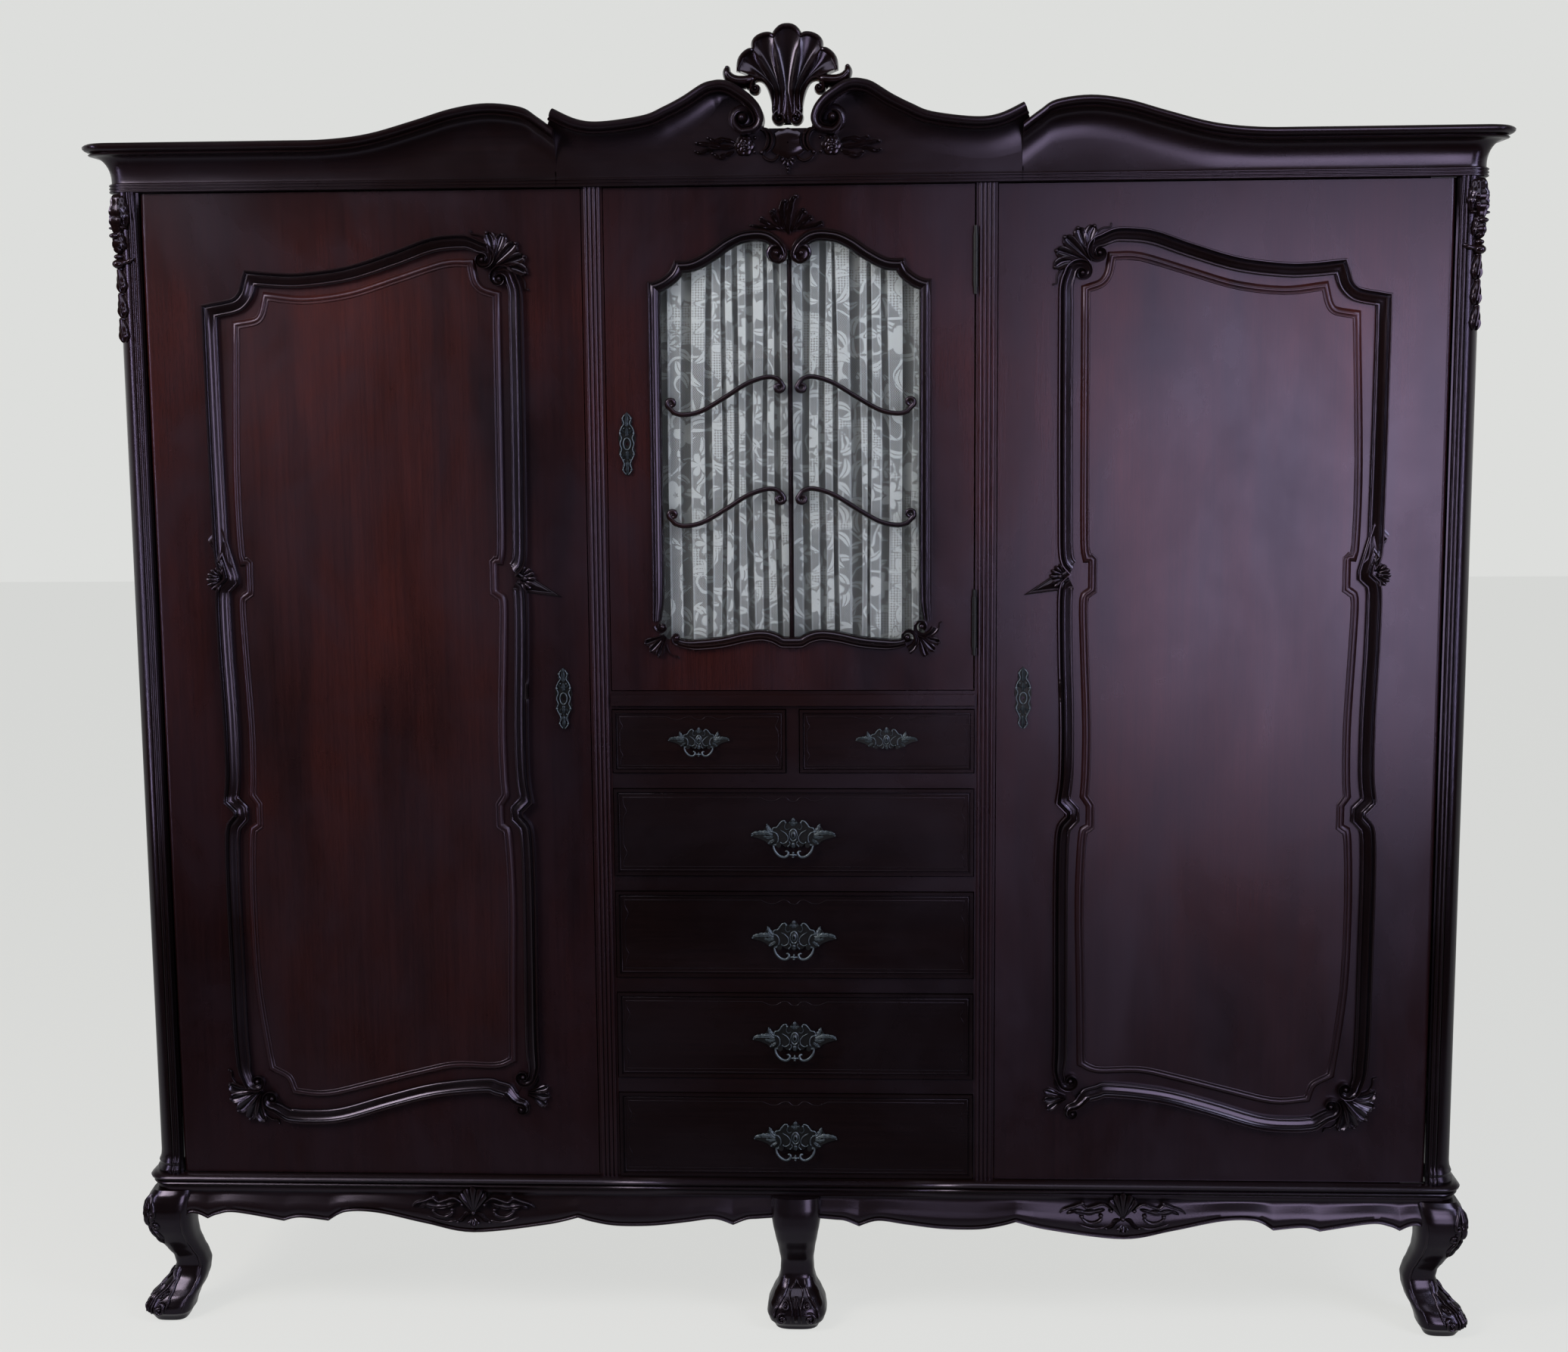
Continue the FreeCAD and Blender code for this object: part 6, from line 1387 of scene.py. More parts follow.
def corner_carving(work, side):
    place = on_leg(corner_levels, side)
    leaf(work, [(0, 0.226), (0.001, 0.206), (0, 0.186), (0, 0.168)], 0.0085, 0.0055, place, lobes=4,
         deep=0.3, tip=0.25)
    leaf(work, [(0, 0.170), (0, 0.158), (0, 0.146), (0, 0.134)], 0.0050, 0.0040, place, lobes=3, deep=0.3,
         tip=0.2)
    for way in (-1, 1):
        line = through([(way * 0.003, 0.224), (way * 0.012, 0.212), (way * 0.0185, 0.2005),
                        (way * 0.0200, 0.1925)], 6)
        line += spiral((way * 0.0150, 0.1925), 0 if way > 0 else 180, -way, 1.0, 0.0050, 0.0018, 1.5, 16)[1:]
        tendril(work, line, (0.0016, 0.0026, 0.0014), (0.003, 0.0045, 0.003), place)
        line = spiral((way * 0.0190, 0.1730), 90, way, 1.15, 0.0090, 0.0022, 1.5, 20)
        tendril(work, line, (0.0016, 0.0026, 0.0014), (0.003, 0.0045, 0.003), place)
        boss(work, (way * 0.0190, 0.1730), 0.0026, 0.0040, place, 10, 4)
        leaf(work, [(way * 0.010, 0.166), (way * 0.016, 0.154), (way * 0.011, 0.142), (way * 0.006, 0.134)],
             0.0036, 0.0038, place, lobes=3, tip=0.2)
    foot_carving(work, place, 0.0, 0.92)
    for way in (-1, 1):
        heights = [0.200 - 0.006 * k for k in range(31)]
        edge = [(way * 1.80 * leg_at(corner_levels, v)[1], v) for v in heights]
        tendril(work, edge, (0.0010, 0.0022, 0.0012), (0.0012, 0.0026, 0.0015), place)


def foot_carving(work, place, middle, size):
    """A pointed leaf with a long drop in it, two small volutes above and two larger ones below."""
    def at(u, v):
        return (middle + u * size, v)

    for way in (-1, 1):
        arch = through([at(0, 0.081), at(way * 0.0045, 0.074), at(way * 0.0115, 0.066),
                        at(way * 0.0128, 0.056), at(way * 0.0090, 0.046), at(way * 0.0095, 0.030),
                        at(way * 0.0105, 0.016)], 6)
        tendril(work, arch, (0.0010, 0.0019, 0.0014), (0.002, 0.0042, 0.003), place)
        small = spiral(at(way * 0.0205, 0.0455), 100 if way > 0 else 80, way, 1.2, 0.0072, 0.0020, 1.5, 18)
        tendril(work, small, (0.0012, 0.0022, 0.0014), (0.002, 0.0045, 0.0035), place)
        boss(work, at(way * 0.0205, 0.0455), 0.0026, 0.0042, place, 10, 4)
        large = spiral(at(way * 0.0270, 0.0230), 120 if way > 0 else 60, -way, 1.2, 0.0118, 0.0026, 1.4, 22)
        tendril(work, large, (0.0016, 0.0030, 0.0018), (0.003, 0.0052, 0.004), place)
        boss(work, at(way * 0.0270, 0.0230), 0.0034, 0.0048, place, 12, 4)
        rim = through([at(way * 0.0145, 0.082), at(way * 0.0185, 0.068), at(way * 0.0290, 0.052),
                       at(way * 0.0400, 0.038), at(way * 0.0420, 0.024)], 6)
        tendril(work, rim, (0.0012, 0.0026, 0.0020), (0.002, 0.0048, 0.004), place)
    drop = [at(0, 0.058), at(0, 0.046), at(0, 0.030), at(0, 0.017)]
    leaf(work, drop, 0.0042 * size, 0.0050, place, tip=0.8, root=0.8)


def legs():
    for name, side, levels in (("leg_front_right", 1, corner_levels), ("leg_front_left", -1, corner_levels),
                               ("leg_front_centre", 0, centre_levels)):
        work = Carving()
        leg_skin(work, levels, side)
        if side:
            corner_carving(work, side)
        else:
            foot_carving(work, on_leg(levels, 0), 0.0, 1.05)
        work.piece(name + "_carved", carved_wood, body="carcass", replaces=[name])


legs()

# %% [markdown]
# In the middle of each apron sits a carving: a small upright shell, a long leaf to each side over a C
# scroll, and two curled leaves over a drop.

# %% Apron carvings
def apron_carvings():
    work = Carving()
    place = on_front(face - 0.0118)
    for centre in (-0.5515, 0.5515):
        shell(work, (centre, 0.1990), 90, 84, 0.0470, 0.0075, 5, place, root=0.10, curl=0.1)
        boss(work, (centre, 0.1995), 0.0045, 0.0075, place, 12, 5)
        for way in (-1, 1):
            def at(x, z):
                return (centre + way * x, z)
            long_leaf = [at(0.020, 0.2180), at(0.033, 0.2260), at(0.047, 0.2225), at(0.060, 0.2190),
                         at(0.070, 0.2255), at(0.082, 0.2215), at(0.098, 0.2165), at(0.105, 0.2100)]
            line = through(long_leaf, 5)
            tendril(work, line, (0.0018, 0.0028, 0.0014), (0.005, 0.0065, 0.0045), place)
            leaf(work, [at(0.030, 0.2160), at(0.046, 0.2115), at(0.064, 0.2100), at(0.082, 0.2125),
                        at(0.094, 0.2080)],
                 0.0052, 0.0056, place, lobes=4, deep=0.35, tip=0.3)
            for eye in ((0.0195, 0.2140), (0.0680, 0.2275)):
                boss(work, at(*eye), 0.0038, 0.0070, place, 12, 5)
            scroll = through([at(0.0350, 0.2020), at(0.0400, 0.1960), at(0.0500, 0.1925), at(0.0610, 0.1945),
                              at(0.0690, 0.2010)], 6)
            tendril(work, scroll, (0.0022, 0.0036, 0.0022), (0.005, 0.0068, 0.005), place)
            for eye in ((0.0365, 0.2055), (0.0690, 0.2035)):
                boss(work, at(*eye), 0.0040, 0.0068, place, 12, 5)
            outer = through([at(0.0300, 0.1860), at(0.0450, 0.1830), at(0.0620, 0.1860),
                             at(0.0780, 0.1925)], 6)
            tendril(work, outer, (0.0016, 0.0030, 0.0012), (0.004, 0.0055, 0.003), place)
            leaf(work, [at(0.004, 0.1985), at(0.0125, 0.1960), at(0.0190, 0.1880), at(0.0270, 0.1840)],
                 0.0046, 0.0075, place, lobes=2, deep=0.2, tip=0.5)
            boss(work, at(0.0275, 0.1835), 0.0034, 0.0070, place, 12, 5)
        shell(work, (centre, 0.1905), -90, 120, 0.0165, 0.0075, 3, place, root=0.2)
    return work.piece("apron_carvings_carved", carved_wood, body="carcass", replaces=["apron_carvings"])


apron_carvings()

# %% [markdown]
# The glazed door has a moulding with eared corners. Its two arches curl into volutes over the upright
# bar, a plume rises above them, and its sides and foot end in volutes with a small spray at each lower
# corner. Four thin bars with curled ends cross the pane.

# %% Moulding and bars of the glazed door
glazed_runs = [
    [(0.229, 1.215), (0.229, 1.500), (0.229, 1.765)],
    [(0.229, 1.765), (0.2170, 1.7665), (0.2040, 1.7725), (0.1920, 1.7830), (0.1850, 1.7985)],
    [(0.1850, 1.7985), (0.158, 1.8000), (0.129, 1.8150), (0.106, 1.8310), (0.081, 1.8430), (0.055, 1.8470),
     (0.036, 1.8450), (0.0210, 1.8375), (0.0085, 1.8250), (0.0020, 1.8090), (0.0055, 1.7965),
     (0.0150, 1.7905)]]
glazed_foot = [(-0.188, 1.1725), (-0.170, 1.1675), (-0.150, 1.1660), (-0.111, 1.1700), (-0.075, 1.1780),
               (-0.049, 1.1810), (-0.032, 1.1770), (-0.019, 1.1700), (-0.006, 1.1690)]
top_eye = (0.0200, 1.8085)
side_form = [(0.0, -0.03, 0.0), (0.0, 0.50, 0.4), (0.05, 0.82, 0.8), (0.13, 1.0, 1.0), (0.21, 0.90, 0.7),
             (0.26, 0.68, 0.1), (0.30, 0.70, 0.3), (0.36, 0.86, 0.9), (0.43, 0.92, 1.0), (0.50, 0.80, 0.6),
             (0.54, 0.58, 0.1), (0.66, 0.50, 0.4), (0.80, 0.34, 0.4), (0.90, 0.10, 0.4), (0.97, -0.25, 0.3),
             (1.0, -0.60, 0.1), (1.0, -1.15, 0.0)]
tube_form = [(math.sin(a), 0.5 + 0.5 * math.cos(a), 0.5 + 0.5 * math.cos(a)) for a in
             [math.radians(d) for d in range(0, 361, 36)]]


def tube(work, line, radius, place):
    run_profile(work, line, radius, [2 * abs(r) for r in radius], tube_form, place)


def glazed_moulding():
    work = Carving()
    place = on_front(face)
    high = 0.0085
    for side in (1, -1):
        line = corners_of(glazed_runs, 6) + [glazed_runs[-1][-1]]
        turn_start = len(line) - 24
        line += spiral(top_eye, -105, 1, 1.02, 0.0187, 0.0042, 1.5, 26)[1:]
        count = len(line)
        widths = []
        for i in range(count):
            t = max(0.0, (i - turn_start) / (count - turn_start))
            widths.append(side * (0.0045 + 0.0155 * max(0.0, 1 - 1.55 * t) ** 1.1))
        start = ending(line, 1.0, 0.7)
        widths = [w * s for w, s in zip(widths, start)]
        heights = [high * (1 - 0.2 * max(0.0, (i - turn_start) / (count - turn_start))) for i in range(count)]
        run_profile(work, [(side * x, z) for x, z in line], widths, heights, side_form, place)
        boss(work, (side * top_eye[0], top_eye[1]), 0.0052, high * 0.95, place, 14, 5)
        boss(work, (side * top_eye[0], top_eye[1]), 0.0165, high * 0.42, place, 20, 4)
        section = flipped(curl_section) if side > 0 else curl_section
        for centre, toward, way, first in (((side * 0.2130, 1.2050), 0 if side > 0 else 180, -side, 0.0160),
                                           ((side * 0.1895, 1.1870), -90, side, 0.0150)):
            volute(work, centre, toward, way, first, side * 0.0140, side * 0.0042, high, section, place)
        spray(work, (side * 0.2080, 1.1900), -45 if side > 0 else 225, 0.0330, 0.0075, place, ribs=3,
              leaves=1)
    foot = through(glazed_foot, 6)
    foot += [(-x, z) for x, z in foot[::-1]]
    run_profile(work, foot, ending(foot, 0.0185, 0.0140, 0.0140), [high] * len(foot), side_form, place)
    plume(work, place)
    return work.piece("glazed_door_moulding_carved", carved_wood, body="glazed_door",
                      replaces=["glazed_door_moulding"])


def plume(work, place):
    """Leaves that fan out over the two volutes. The middle one is tallest, and its tip curls right."""
    leaves = [([(0.0, 1.838), (-0.001, 1.858), (0.002, 1.878), (0.0065, 1.892), (0.0125, 1.8975)], 0.0055,
               0.0115),
              ([(-0.004, 1.842), (-0.009, 1.858), (-0.012, 1.874), (-0.0090, 1.8880), (-0.0050, 1.8905)],
               0.0046, 0.010),
              ([(-0.008, 1.843), (-0.016, 1.853), (-0.023, 1.864), (-0.0270, 1.8720), (-0.0230, 1.8760)],
               0.0046, 0.009),
              ([(-0.012, 1.845), (-0.024, 1.850), (-0.036, 1.857), (-0.0440, 1.8600), (-0.0430, 1.8640)],
               0.0042, 0.008),
              ([(-0.018, 1.847), (-0.034, 1.848), (-0.050, 1.8505), (-0.0610, 1.8520)], 0.0034, 0.007),
              ([(0.005, 1.842), (0.011, 1.856), (0.017, 1.868), (0.0225, 1.8755), (0.0270, 1.8720)], 0.0048,
               0.0095),
              ([(0.009, 1.843), (0.018, 1.852), (0.027, 1.859), (0.0340, 1.8650), (0.0370, 1.8610)], 0.0044,
               0.0085),
              ([(0.014, 1.846), (0.028, 1.849), (0.042, 1.852), (0.0520, 1.8560), (0.0530, 1.8520)], 0.0038,
               0.0075)]
    for line, wide, high in leaves:
        leaf(work, line, wide, high, place, lobes=3, deep=0.18, tip=0.45, root=0.5)
        boss(work, line[-1], wide * 0.72, high * 0.75, place, 12, 5)


glazed_moulding()

bar_line = [(-0.1900, 1.5545), (-0.174, 1.5510), (-0.145, 1.5570), (-0.106, 1.5790), (-0.070, 1.6010),
            (-0.038, 1.6110), (-0.020, 1.6075), (-0.0110, 1.5960)]
bar_form = [(-1, 0.0, 0.1), (-1, 0.62, 0.4), (-0.72, 0.78, 0.8), (-0.5, 0.70, 0.3), (-0.35, 0.86, 0.7),
            (0, 1.0, 1.0), (0.35, 0.86, 0.7), (0.5, 0.70, 0.3), (0.72, 0.78, 0.8), (1, 0.62, 0.4),
            (1, 0.0, 0.1), (-1, 0.0, 0.1)]


def glazing_bars():
    work = Carving()
    place = on_front(face + 0.0135)
    for drop in (0.0, 0.181):
        for side in (1, -1):
            curl = spiral((-0.1940, 1.5695), -150, -1, 1.0, 0.0075, 0.0030, 1.5, 22)[::-1]
            line = curl + through(bar_line, 6)
            line += spiral((-0.0185, 1.5945), 5, -1, 1.1, 0.0080, 0.0028, 1.5, 22)[1:]
            points = [(-side * x, z - drop) for x, z in line]
            tube(work, points, taper(len(points), 0.0022, 0.0041, 0.0022, 0.25, 0.25), place)
            for eye in ((-0.1940, 1.5695), (-0.0185, 1.5945)):
                boss(work, (-side * eye[0], eye[1] - drop), 0.0026, 0.0070, place, 10, 4)
    middle = [(0.0, 1.1790 + 0.062 * k) for k in range(11)]
    run_profile(work, middle, [0.0040] * 11, [0.0100] * 11, bar_form, on_front(face + 0.0138))
    return work.piece("glazed_door_bars_carved", carved_wood, body="glazed_door",
                      replaces=["glazed_door_bars"])


glazing_bars()

# %% [markdown]
# Things that repeat are grown with Geometry Nodes. The four reeds of a pilaster are one half round rod,
# copied along a line of points, so the reeds stay even. The named inputs are the sizes of the pilaster.


# %% Node group for reeded strips
def inputs_of(tree, names):
    """Adds the named inputs and one geometry output to a node group, and returns its input node."""
    for name, kind in names:
        tree.interface.new_socket(name, in_out="INPUT", socket_type=kind)
    tree.interface.new_socket("Geometry", in_out="OUTPUT", socket_type="NodeSocketGeometry")
    return add(tree, "NodeGroupInput").outputs


def reeded_strips():
    tree = bpy.data.node_groups.new("reeded strip", "GeometryNodeTree")
    given = inputs_of(tree, [("Start", "NodeSocketVector"), ("Size", "NodeSocketVector"),
                             ("First reed", "NodeSocketVector"), ("Pitch", "NodeSocketVector"),
                             ("Reeds", "NodeSocketInt"), ("Radius", "NodeSocketFloat"),
                             ("Material", "NodeSocketMaterial")])
    strip = add(tree, "GeometryNodeMeshCube", Size=given["Size"])
    half = add(tree, "VectorMath SCALE", given["Size"], Scale=0.5)
    middle = add(tree, "VectorMath ADD", given["Start"], half)
    strip = add(tree, "GeometryNodeTransform", Geometry=strip, Translation=middle)
    height = add(tree, "SeparateXYZ", Vector=given["Size"]).outputs[2]
    top = add(tree, "CombineXYZ", Z=height)
    spine = add(tree, "GeometryNodeCurvePrimitiveLine", End=top)
    ring = add(tree, "GeometryNodeCurvePrimitiveCircle", Resolution=16, Radius=given["Radius"])
    rod = add(tree, "GeometryNodeCurveToMesh", Curve=spine, Profile_Curve=ring, Fill_Caps=True)
    rod = add(tree, "GeometryNodeSetShadeSmooth", Geometry=rod)
    places = add(tree, "GeometryNodeMeshLine", mode="OFFSET", Count=given["Reeds"],
                 Start_Location=given["First reed"], Offset=given["Pitch"])
    rods = add(tree, "GeometryNodeInstanceOnPoints", Points=places, Instance=rod)
    rods = add(tree, "GeometryNodeRealizeInstances", Geometry=rods)
    whole = add(tree, "GeometryNodeJoinGeometry", rods)
    tree.links.new(strip.outputs[0], whole.inputs[0])
    made = add(tree, "GeometryNodeSetMaterial", Geometry=whole, Material=given["Material"])
    add(tree, "NodeGroupOutput", made)
    return tree


def grow(tree, start, values):
    """Runs a node group on a mesh with the named values, and returns the mesh that it makes."""
    carrier = bpy.data.objects.new("carrier", start)
    bpy.context.scene.collection.objects.link(carrier)
    modifier = carrier.modifiers.new("grow", "NODES")
    modifier.node_group = tree
    for socket in tree.interface.items_tree:
        if socket.in_out == "INPUT" and socket.name in values:
            modifier[socket.identifier] = values[socket.name]
    ready = bpy.context.evaluated_depsgraph_get()
    mesh = bpy.data.meshes.new_from_object(carrier.evaluated_get(ready))
    bpy.data.objects.remove(carrier)
    return mesh


def pilasters():
    strip_group = reeded_strips()
    whole = bmesh.new()
    for side in (1, -1):
        left = 0.300 if side > 0 else -0.334
        mesh = grow(strip_group, bpy.data.meshes.new("empty"),
                    {"Start": (left, face, stand_height), "Size": (0.034, 0.020, opening_height),
                     "First reed": (left + 0.0065, face - 0.0004, stand_height), "Pitch": (0.0070, 0, 0),
                     "Reeds": 4, "Radius": 0.0030, "Material": upright_wood})
        whole.from_mesh(mesh)
    joined = bpy.data.meshes.new("pilasters_reeded")
    whole.to_mesh(joined)
    whole.free()
    joined.materials.append(upright_wood)
    return settle(bpy.data.objects.new("pilasters_reeded", joined), "carcass", ["pilasters"])


pilasters()

# %% [markdown]
# Each drawer front has a bead round its edge, a second bead a little way in, and a fine raised line
# that dips three times in the middle and turns in at the corners.

# %% Drawer fronts
def front_of(name):
    """Left, right, foot and top of the face of a drawer."""
    near = [v.co for v in nodes[name].data.vertices if v.co.y < face + 0.0005]
    return (min(v.x for v in near), max(v.x for v in near), min(v.z for v in near), max(v.z for v in near))


def frame_line(left, right, foot, top, inset):
    return [(left + inset, foot + inset), (right - inset, foot + inset), (right - inset, top - inset),
            (left + inset, top - inset)]


def fine_line(left, right, foot, top, inset, dip):
    """The raised line: three dips in the middle of the top, a straight foot, and a bracket in each side."""
    middle = (left + right) / 2
    span = min(0.055, (right - left) * 0.24)
    shape = [(-1.0, 0), (-0.86, 0.55), (-0.72, 1), (-0.55, 0.9), (-0.36, 0), (-0.2, 0.1), (-0.09, 1),
             (0.09, 1), (0.2, 0.1), (0.36, 0), (0.55, 0.9), (0.72, 1), (0.86, 0.55), (1.0, 0)]
    across_top = through([(middle - x * span, top - inset - z * dip) for x, z in shape], 3)
    tall = top - foot - 2 * inset
    bracket = [(0.0, 0), (0.10, 0.2), (0.17, 1), (0.22, 1.1), (0.30, 0.2), (0.40, 0), (0.60, 0), (0.70, 0.2),
               (0.78, 1.1), (0.83, 1), (0.90, 0.2), (1.0, 0)]
    up = through([(right - inset - z * dip * 0.8, foot + inset + x * tall) for x, z in bracket], 3)
    down = [(left + right - x, foot + top - z) for x, z in up]
    return [(left + inset + 0.001, foot + inset),
            (right - inset - 0.001, foot + inset)] + up + across_top + down


def drawer_front(name):
    work = Carving()
    place = on_front(face)
    box = front_of(name)
    small = 0.8 if "small" in name else 1.0
    for inset, wide, high in ((0.0018, 0.0016, 0.0019), (0.0085 * small, 0.0013, 0.0012)):
        corners = frame_line(*box, inset)
        line = [(a[0] + (b[0] - a[0]) * k / 4, a[1] + (b[1] - a[1]) * k / 4)
                for a, b in zip(corners, corners[1:] + corners[:1]) for k in range(4)]
        run_profile(work, line, [wide] * len(line), [high] * len(line), half_round, place, closed=True)
    line = fine_line(*box, 0.0145 * small, 0.0060 * small)
    run_profile(work, line, [0.0008] * len(line), [0.0008] * len(line), half_round, place, closed=True)
    return work.piece(name + "_beads", drawer_wood, body=name)


for name in drawers:
    drawer_front(name)

rail_work = Carving()
rail_line = [(-0.2995 + 0.0599 * k, 1.0772) for k in range(11)]
reed(rail_work, rail_line, [0.0052] * 11, [0.0042] * 11, on_front(face))
reed(rail_work, [(x, 1.0856) for x, z in rail_line], [0.0016] * 11, [0.0014] * 11, on_front(face))
rail_work.piece("mid_rail_bead", level_wood, body="carcass")

# %% [markdown]
# The handles and escutcheons are cast and pierced. The solid plates already have the right outline, so
# each gets its relief on top: C scrolls, leaves and a shield. The ornament is drawn once in
# millimetres, and a small drawer takes a smaller copy.

# %% Relief of the handle plates
plate_front = face - 0.0021
plate_scrolls = [
    ([(-36, 11), (-33, 17), (-27, 18.5), (-23, 24), (-18.7, 28.6), (-14.5, 29.2), (-12.6, 26.0)], 1.5),
    ([(-28.6, -11), (-25.2, -5), (-25.4, 3), (-29.5, 9), (-35.5, 10.5)], 1.5),
    ([(-12.5, 26), (-14.5, 19), (-11, 14.5), (-6.5, 16.5)], 0.9),
    ([(-22, 14), (-14, 9), (-9, 2), (-10, -5), (-16, -9), (-21, -7.5)], 1.2),
    ([(-9, -14), (-5.5, -9.5), (-7.5, -4.5)], 1.1)]
plate_leaves = [
    ([(-33, 8), (-40, 14), (-43.6, 22.5)], 4.2), ([(-34, 5), (-44, 9), (-52, 9.5), (-58, 11)], 4.4),
    ([(-50, 7), (-58, 8.5), (-65, 8), (-70, 4)], 3.2), ([(-33, 2), (-42, 1), (-50, 3)], 3.0),
    ([(-31, -2), (-37, -6), (-41, -9)], 3.0)]
plate_eyes = [((-12.6, 26.0), 2.2), ((-36, 10.5), 2.4), ((-28.6, -11), 2.2), ((-21, -7.5), 2.0),
              ((-43.8, 23), 1.6), ((-58, 11), 1.5), ((-69.5, 4), 1.6), ((-9, -14), 1.8), ((-41, -9), 1.8)]


def plate_relief(name, middle, share, body):
    work = Carving()
    place = on_front(plate_front)
    size = share * 0.001

    def at(x, z, side=1):
        return (middle[0] + side * x * size, middle[1] + z * size)

    for side in (1, -1):
        for points, wide in plate_scrolls:
            line = through([at(x, z, side) for x, z in points], 5)
            reed(work, line, taper(len(line), wide * size * 0.6, wide * size, wide * size * 0.7),
                 [0.0024 * share + 0.0004] * len(line), place)
        for points, wide in plate_leaves:
            leaf(work, [at(x, z, side) for x, z in points], wide * size, 0.0026 * share + 0.0004, place,
                 lobes=3, deep=0.35, tip=0.35, root=0.4)
        for (x, z), radius in plate_eyes:
            boss(work, at(x, z, side), radius * size, 0.0030 * share + 0.0004, place, 10, 4)
    rows, marks = [], []
    for grow_by, high, mark in ((1.0, 0.0, 0.1), (1.0, 0.0016, 0.7), (0.86, 0.0022, 1.0), (0.74, 0.0013, 0.1),
                                (0.62, 0.0018, 0.5), (0.30, 0.0028, 0.9)):
        rows.append([place(*at(math.cos(math.radians(18 * j)) * 7.2 * grow_by,
                               5 + math.sin(math.radians(18 * j)) * 11.5 * grow_by),
                           high * share) for j in range(20)])
        marks.append([mark] * 20)
    work.rows(rows, marks, across=True)
    work.lid([(p[0], plate_front - 0.0004, p[2]) for p in rows[-1]], 0.1)
    for points, wide in (([(0, 20), (0, 28), (0, 34)], 3.6), ([(0, 21), (4, 25), (8, 25.5)], 2.2),
                         ([(0, 21), (-4, 25), (-8, 25.5)], 2.2), ([(0, -8), (0, -13), (0, -17)], 3.4)):
        leaf(work, [at(x, z) for x, z in points], wide * size, 0.0028 * share, place, lobes=2, tip=0.4,
             root=0.7)
    return work.piece(name, brass, sharp=45, body=body)


def handle_bail(name, middle, share):
    """Two C curves that hang from the posts and meet at a small baluster."""
    work = Carving()
    pivot_y = -0.2697
    size = share * 0.001
    radius = 0.0023 * share

    def place(x, z, h):
        return (x, pivot_y + radius - h, z)

    curve = [(-32.5, 0), (-31.6, -7), (-27.5, -14), (-21, -19.3), (-14, -20.6), (-9.2, -17.6),
             (-8.2, -13.4), (-10.4, -10.8), (-13.0, -11.6)]
    pivot = (middle[0], middle[1] - 10 * size)
    for side in (1, -1):
        line = through([(pivot[0] + side * x * size, pivot[1] + z * size) for x, z in curve], 5)
        tube(work, line, taper(len(line), radius * 0.75, radius, radius * 0.5, 0.3, 0.4), place)
        pin = [(pivot[0] + side * x * size, pivot[1]) for x in (-33.2, -29, -24)]
        run_profile(work, pin, [0.0018 * share] * 3, [0.0036 * share] * 3, tube_form,
                    lambda x, z, h: (x, pivot_y + 0.0018 * share - h, z))
    link = [(pivot[0] + x * size, pivot[1] - 17.2 * size) for x in (-9, -6, -3, -1, 1, 3, 6, 9)]
    tube(work, link, [s * size for s in (1.6, 1.4, 1.5, 2.9, 2.9, 1.5, 1.4, 1.6)], place)
    drop = [(pivot[0], pivot[1] + z * size) for z in (-11.5, -13.5, -15, -17.2, -19.5, -21, -22.2)]
    tube(work, drop, [s * size for s in (0.8, 1.8, 1.5, 3.1, 1.6, 2.2, 0.6)], place)
    return work.piece(name + "_cast", brass, sharp=60, body=name, replaces=[name])


handle_places = {"drawer_1": (0.0, 0.85125), "drawer_2": (0.0, 0.67675), "drawer_3": (0.0, 0.50225),
                 "drawer_4": (0.0, 0.32775), "drawer_small_left": (-0.15525, 1.013),
                 "drawer_small_right": (0.15525, 1.013)}


def handle_size(name):
    return 0.72 if "small" in name else 1.0


keyholes = {"left_door": (-0.379, 1.086), "right_door": (0.379, 1.086), "glazed_door": (-0.266, 1.505)}
print("plates for", len(handle_places), "drawers and", len(keyholes), "doors")

# %% [markdown]
# An escutcheon is a tall narrow casting with a ring round the keyhole. The bails swing on two posts,
# so each is a piece of its own that follows its own joint.


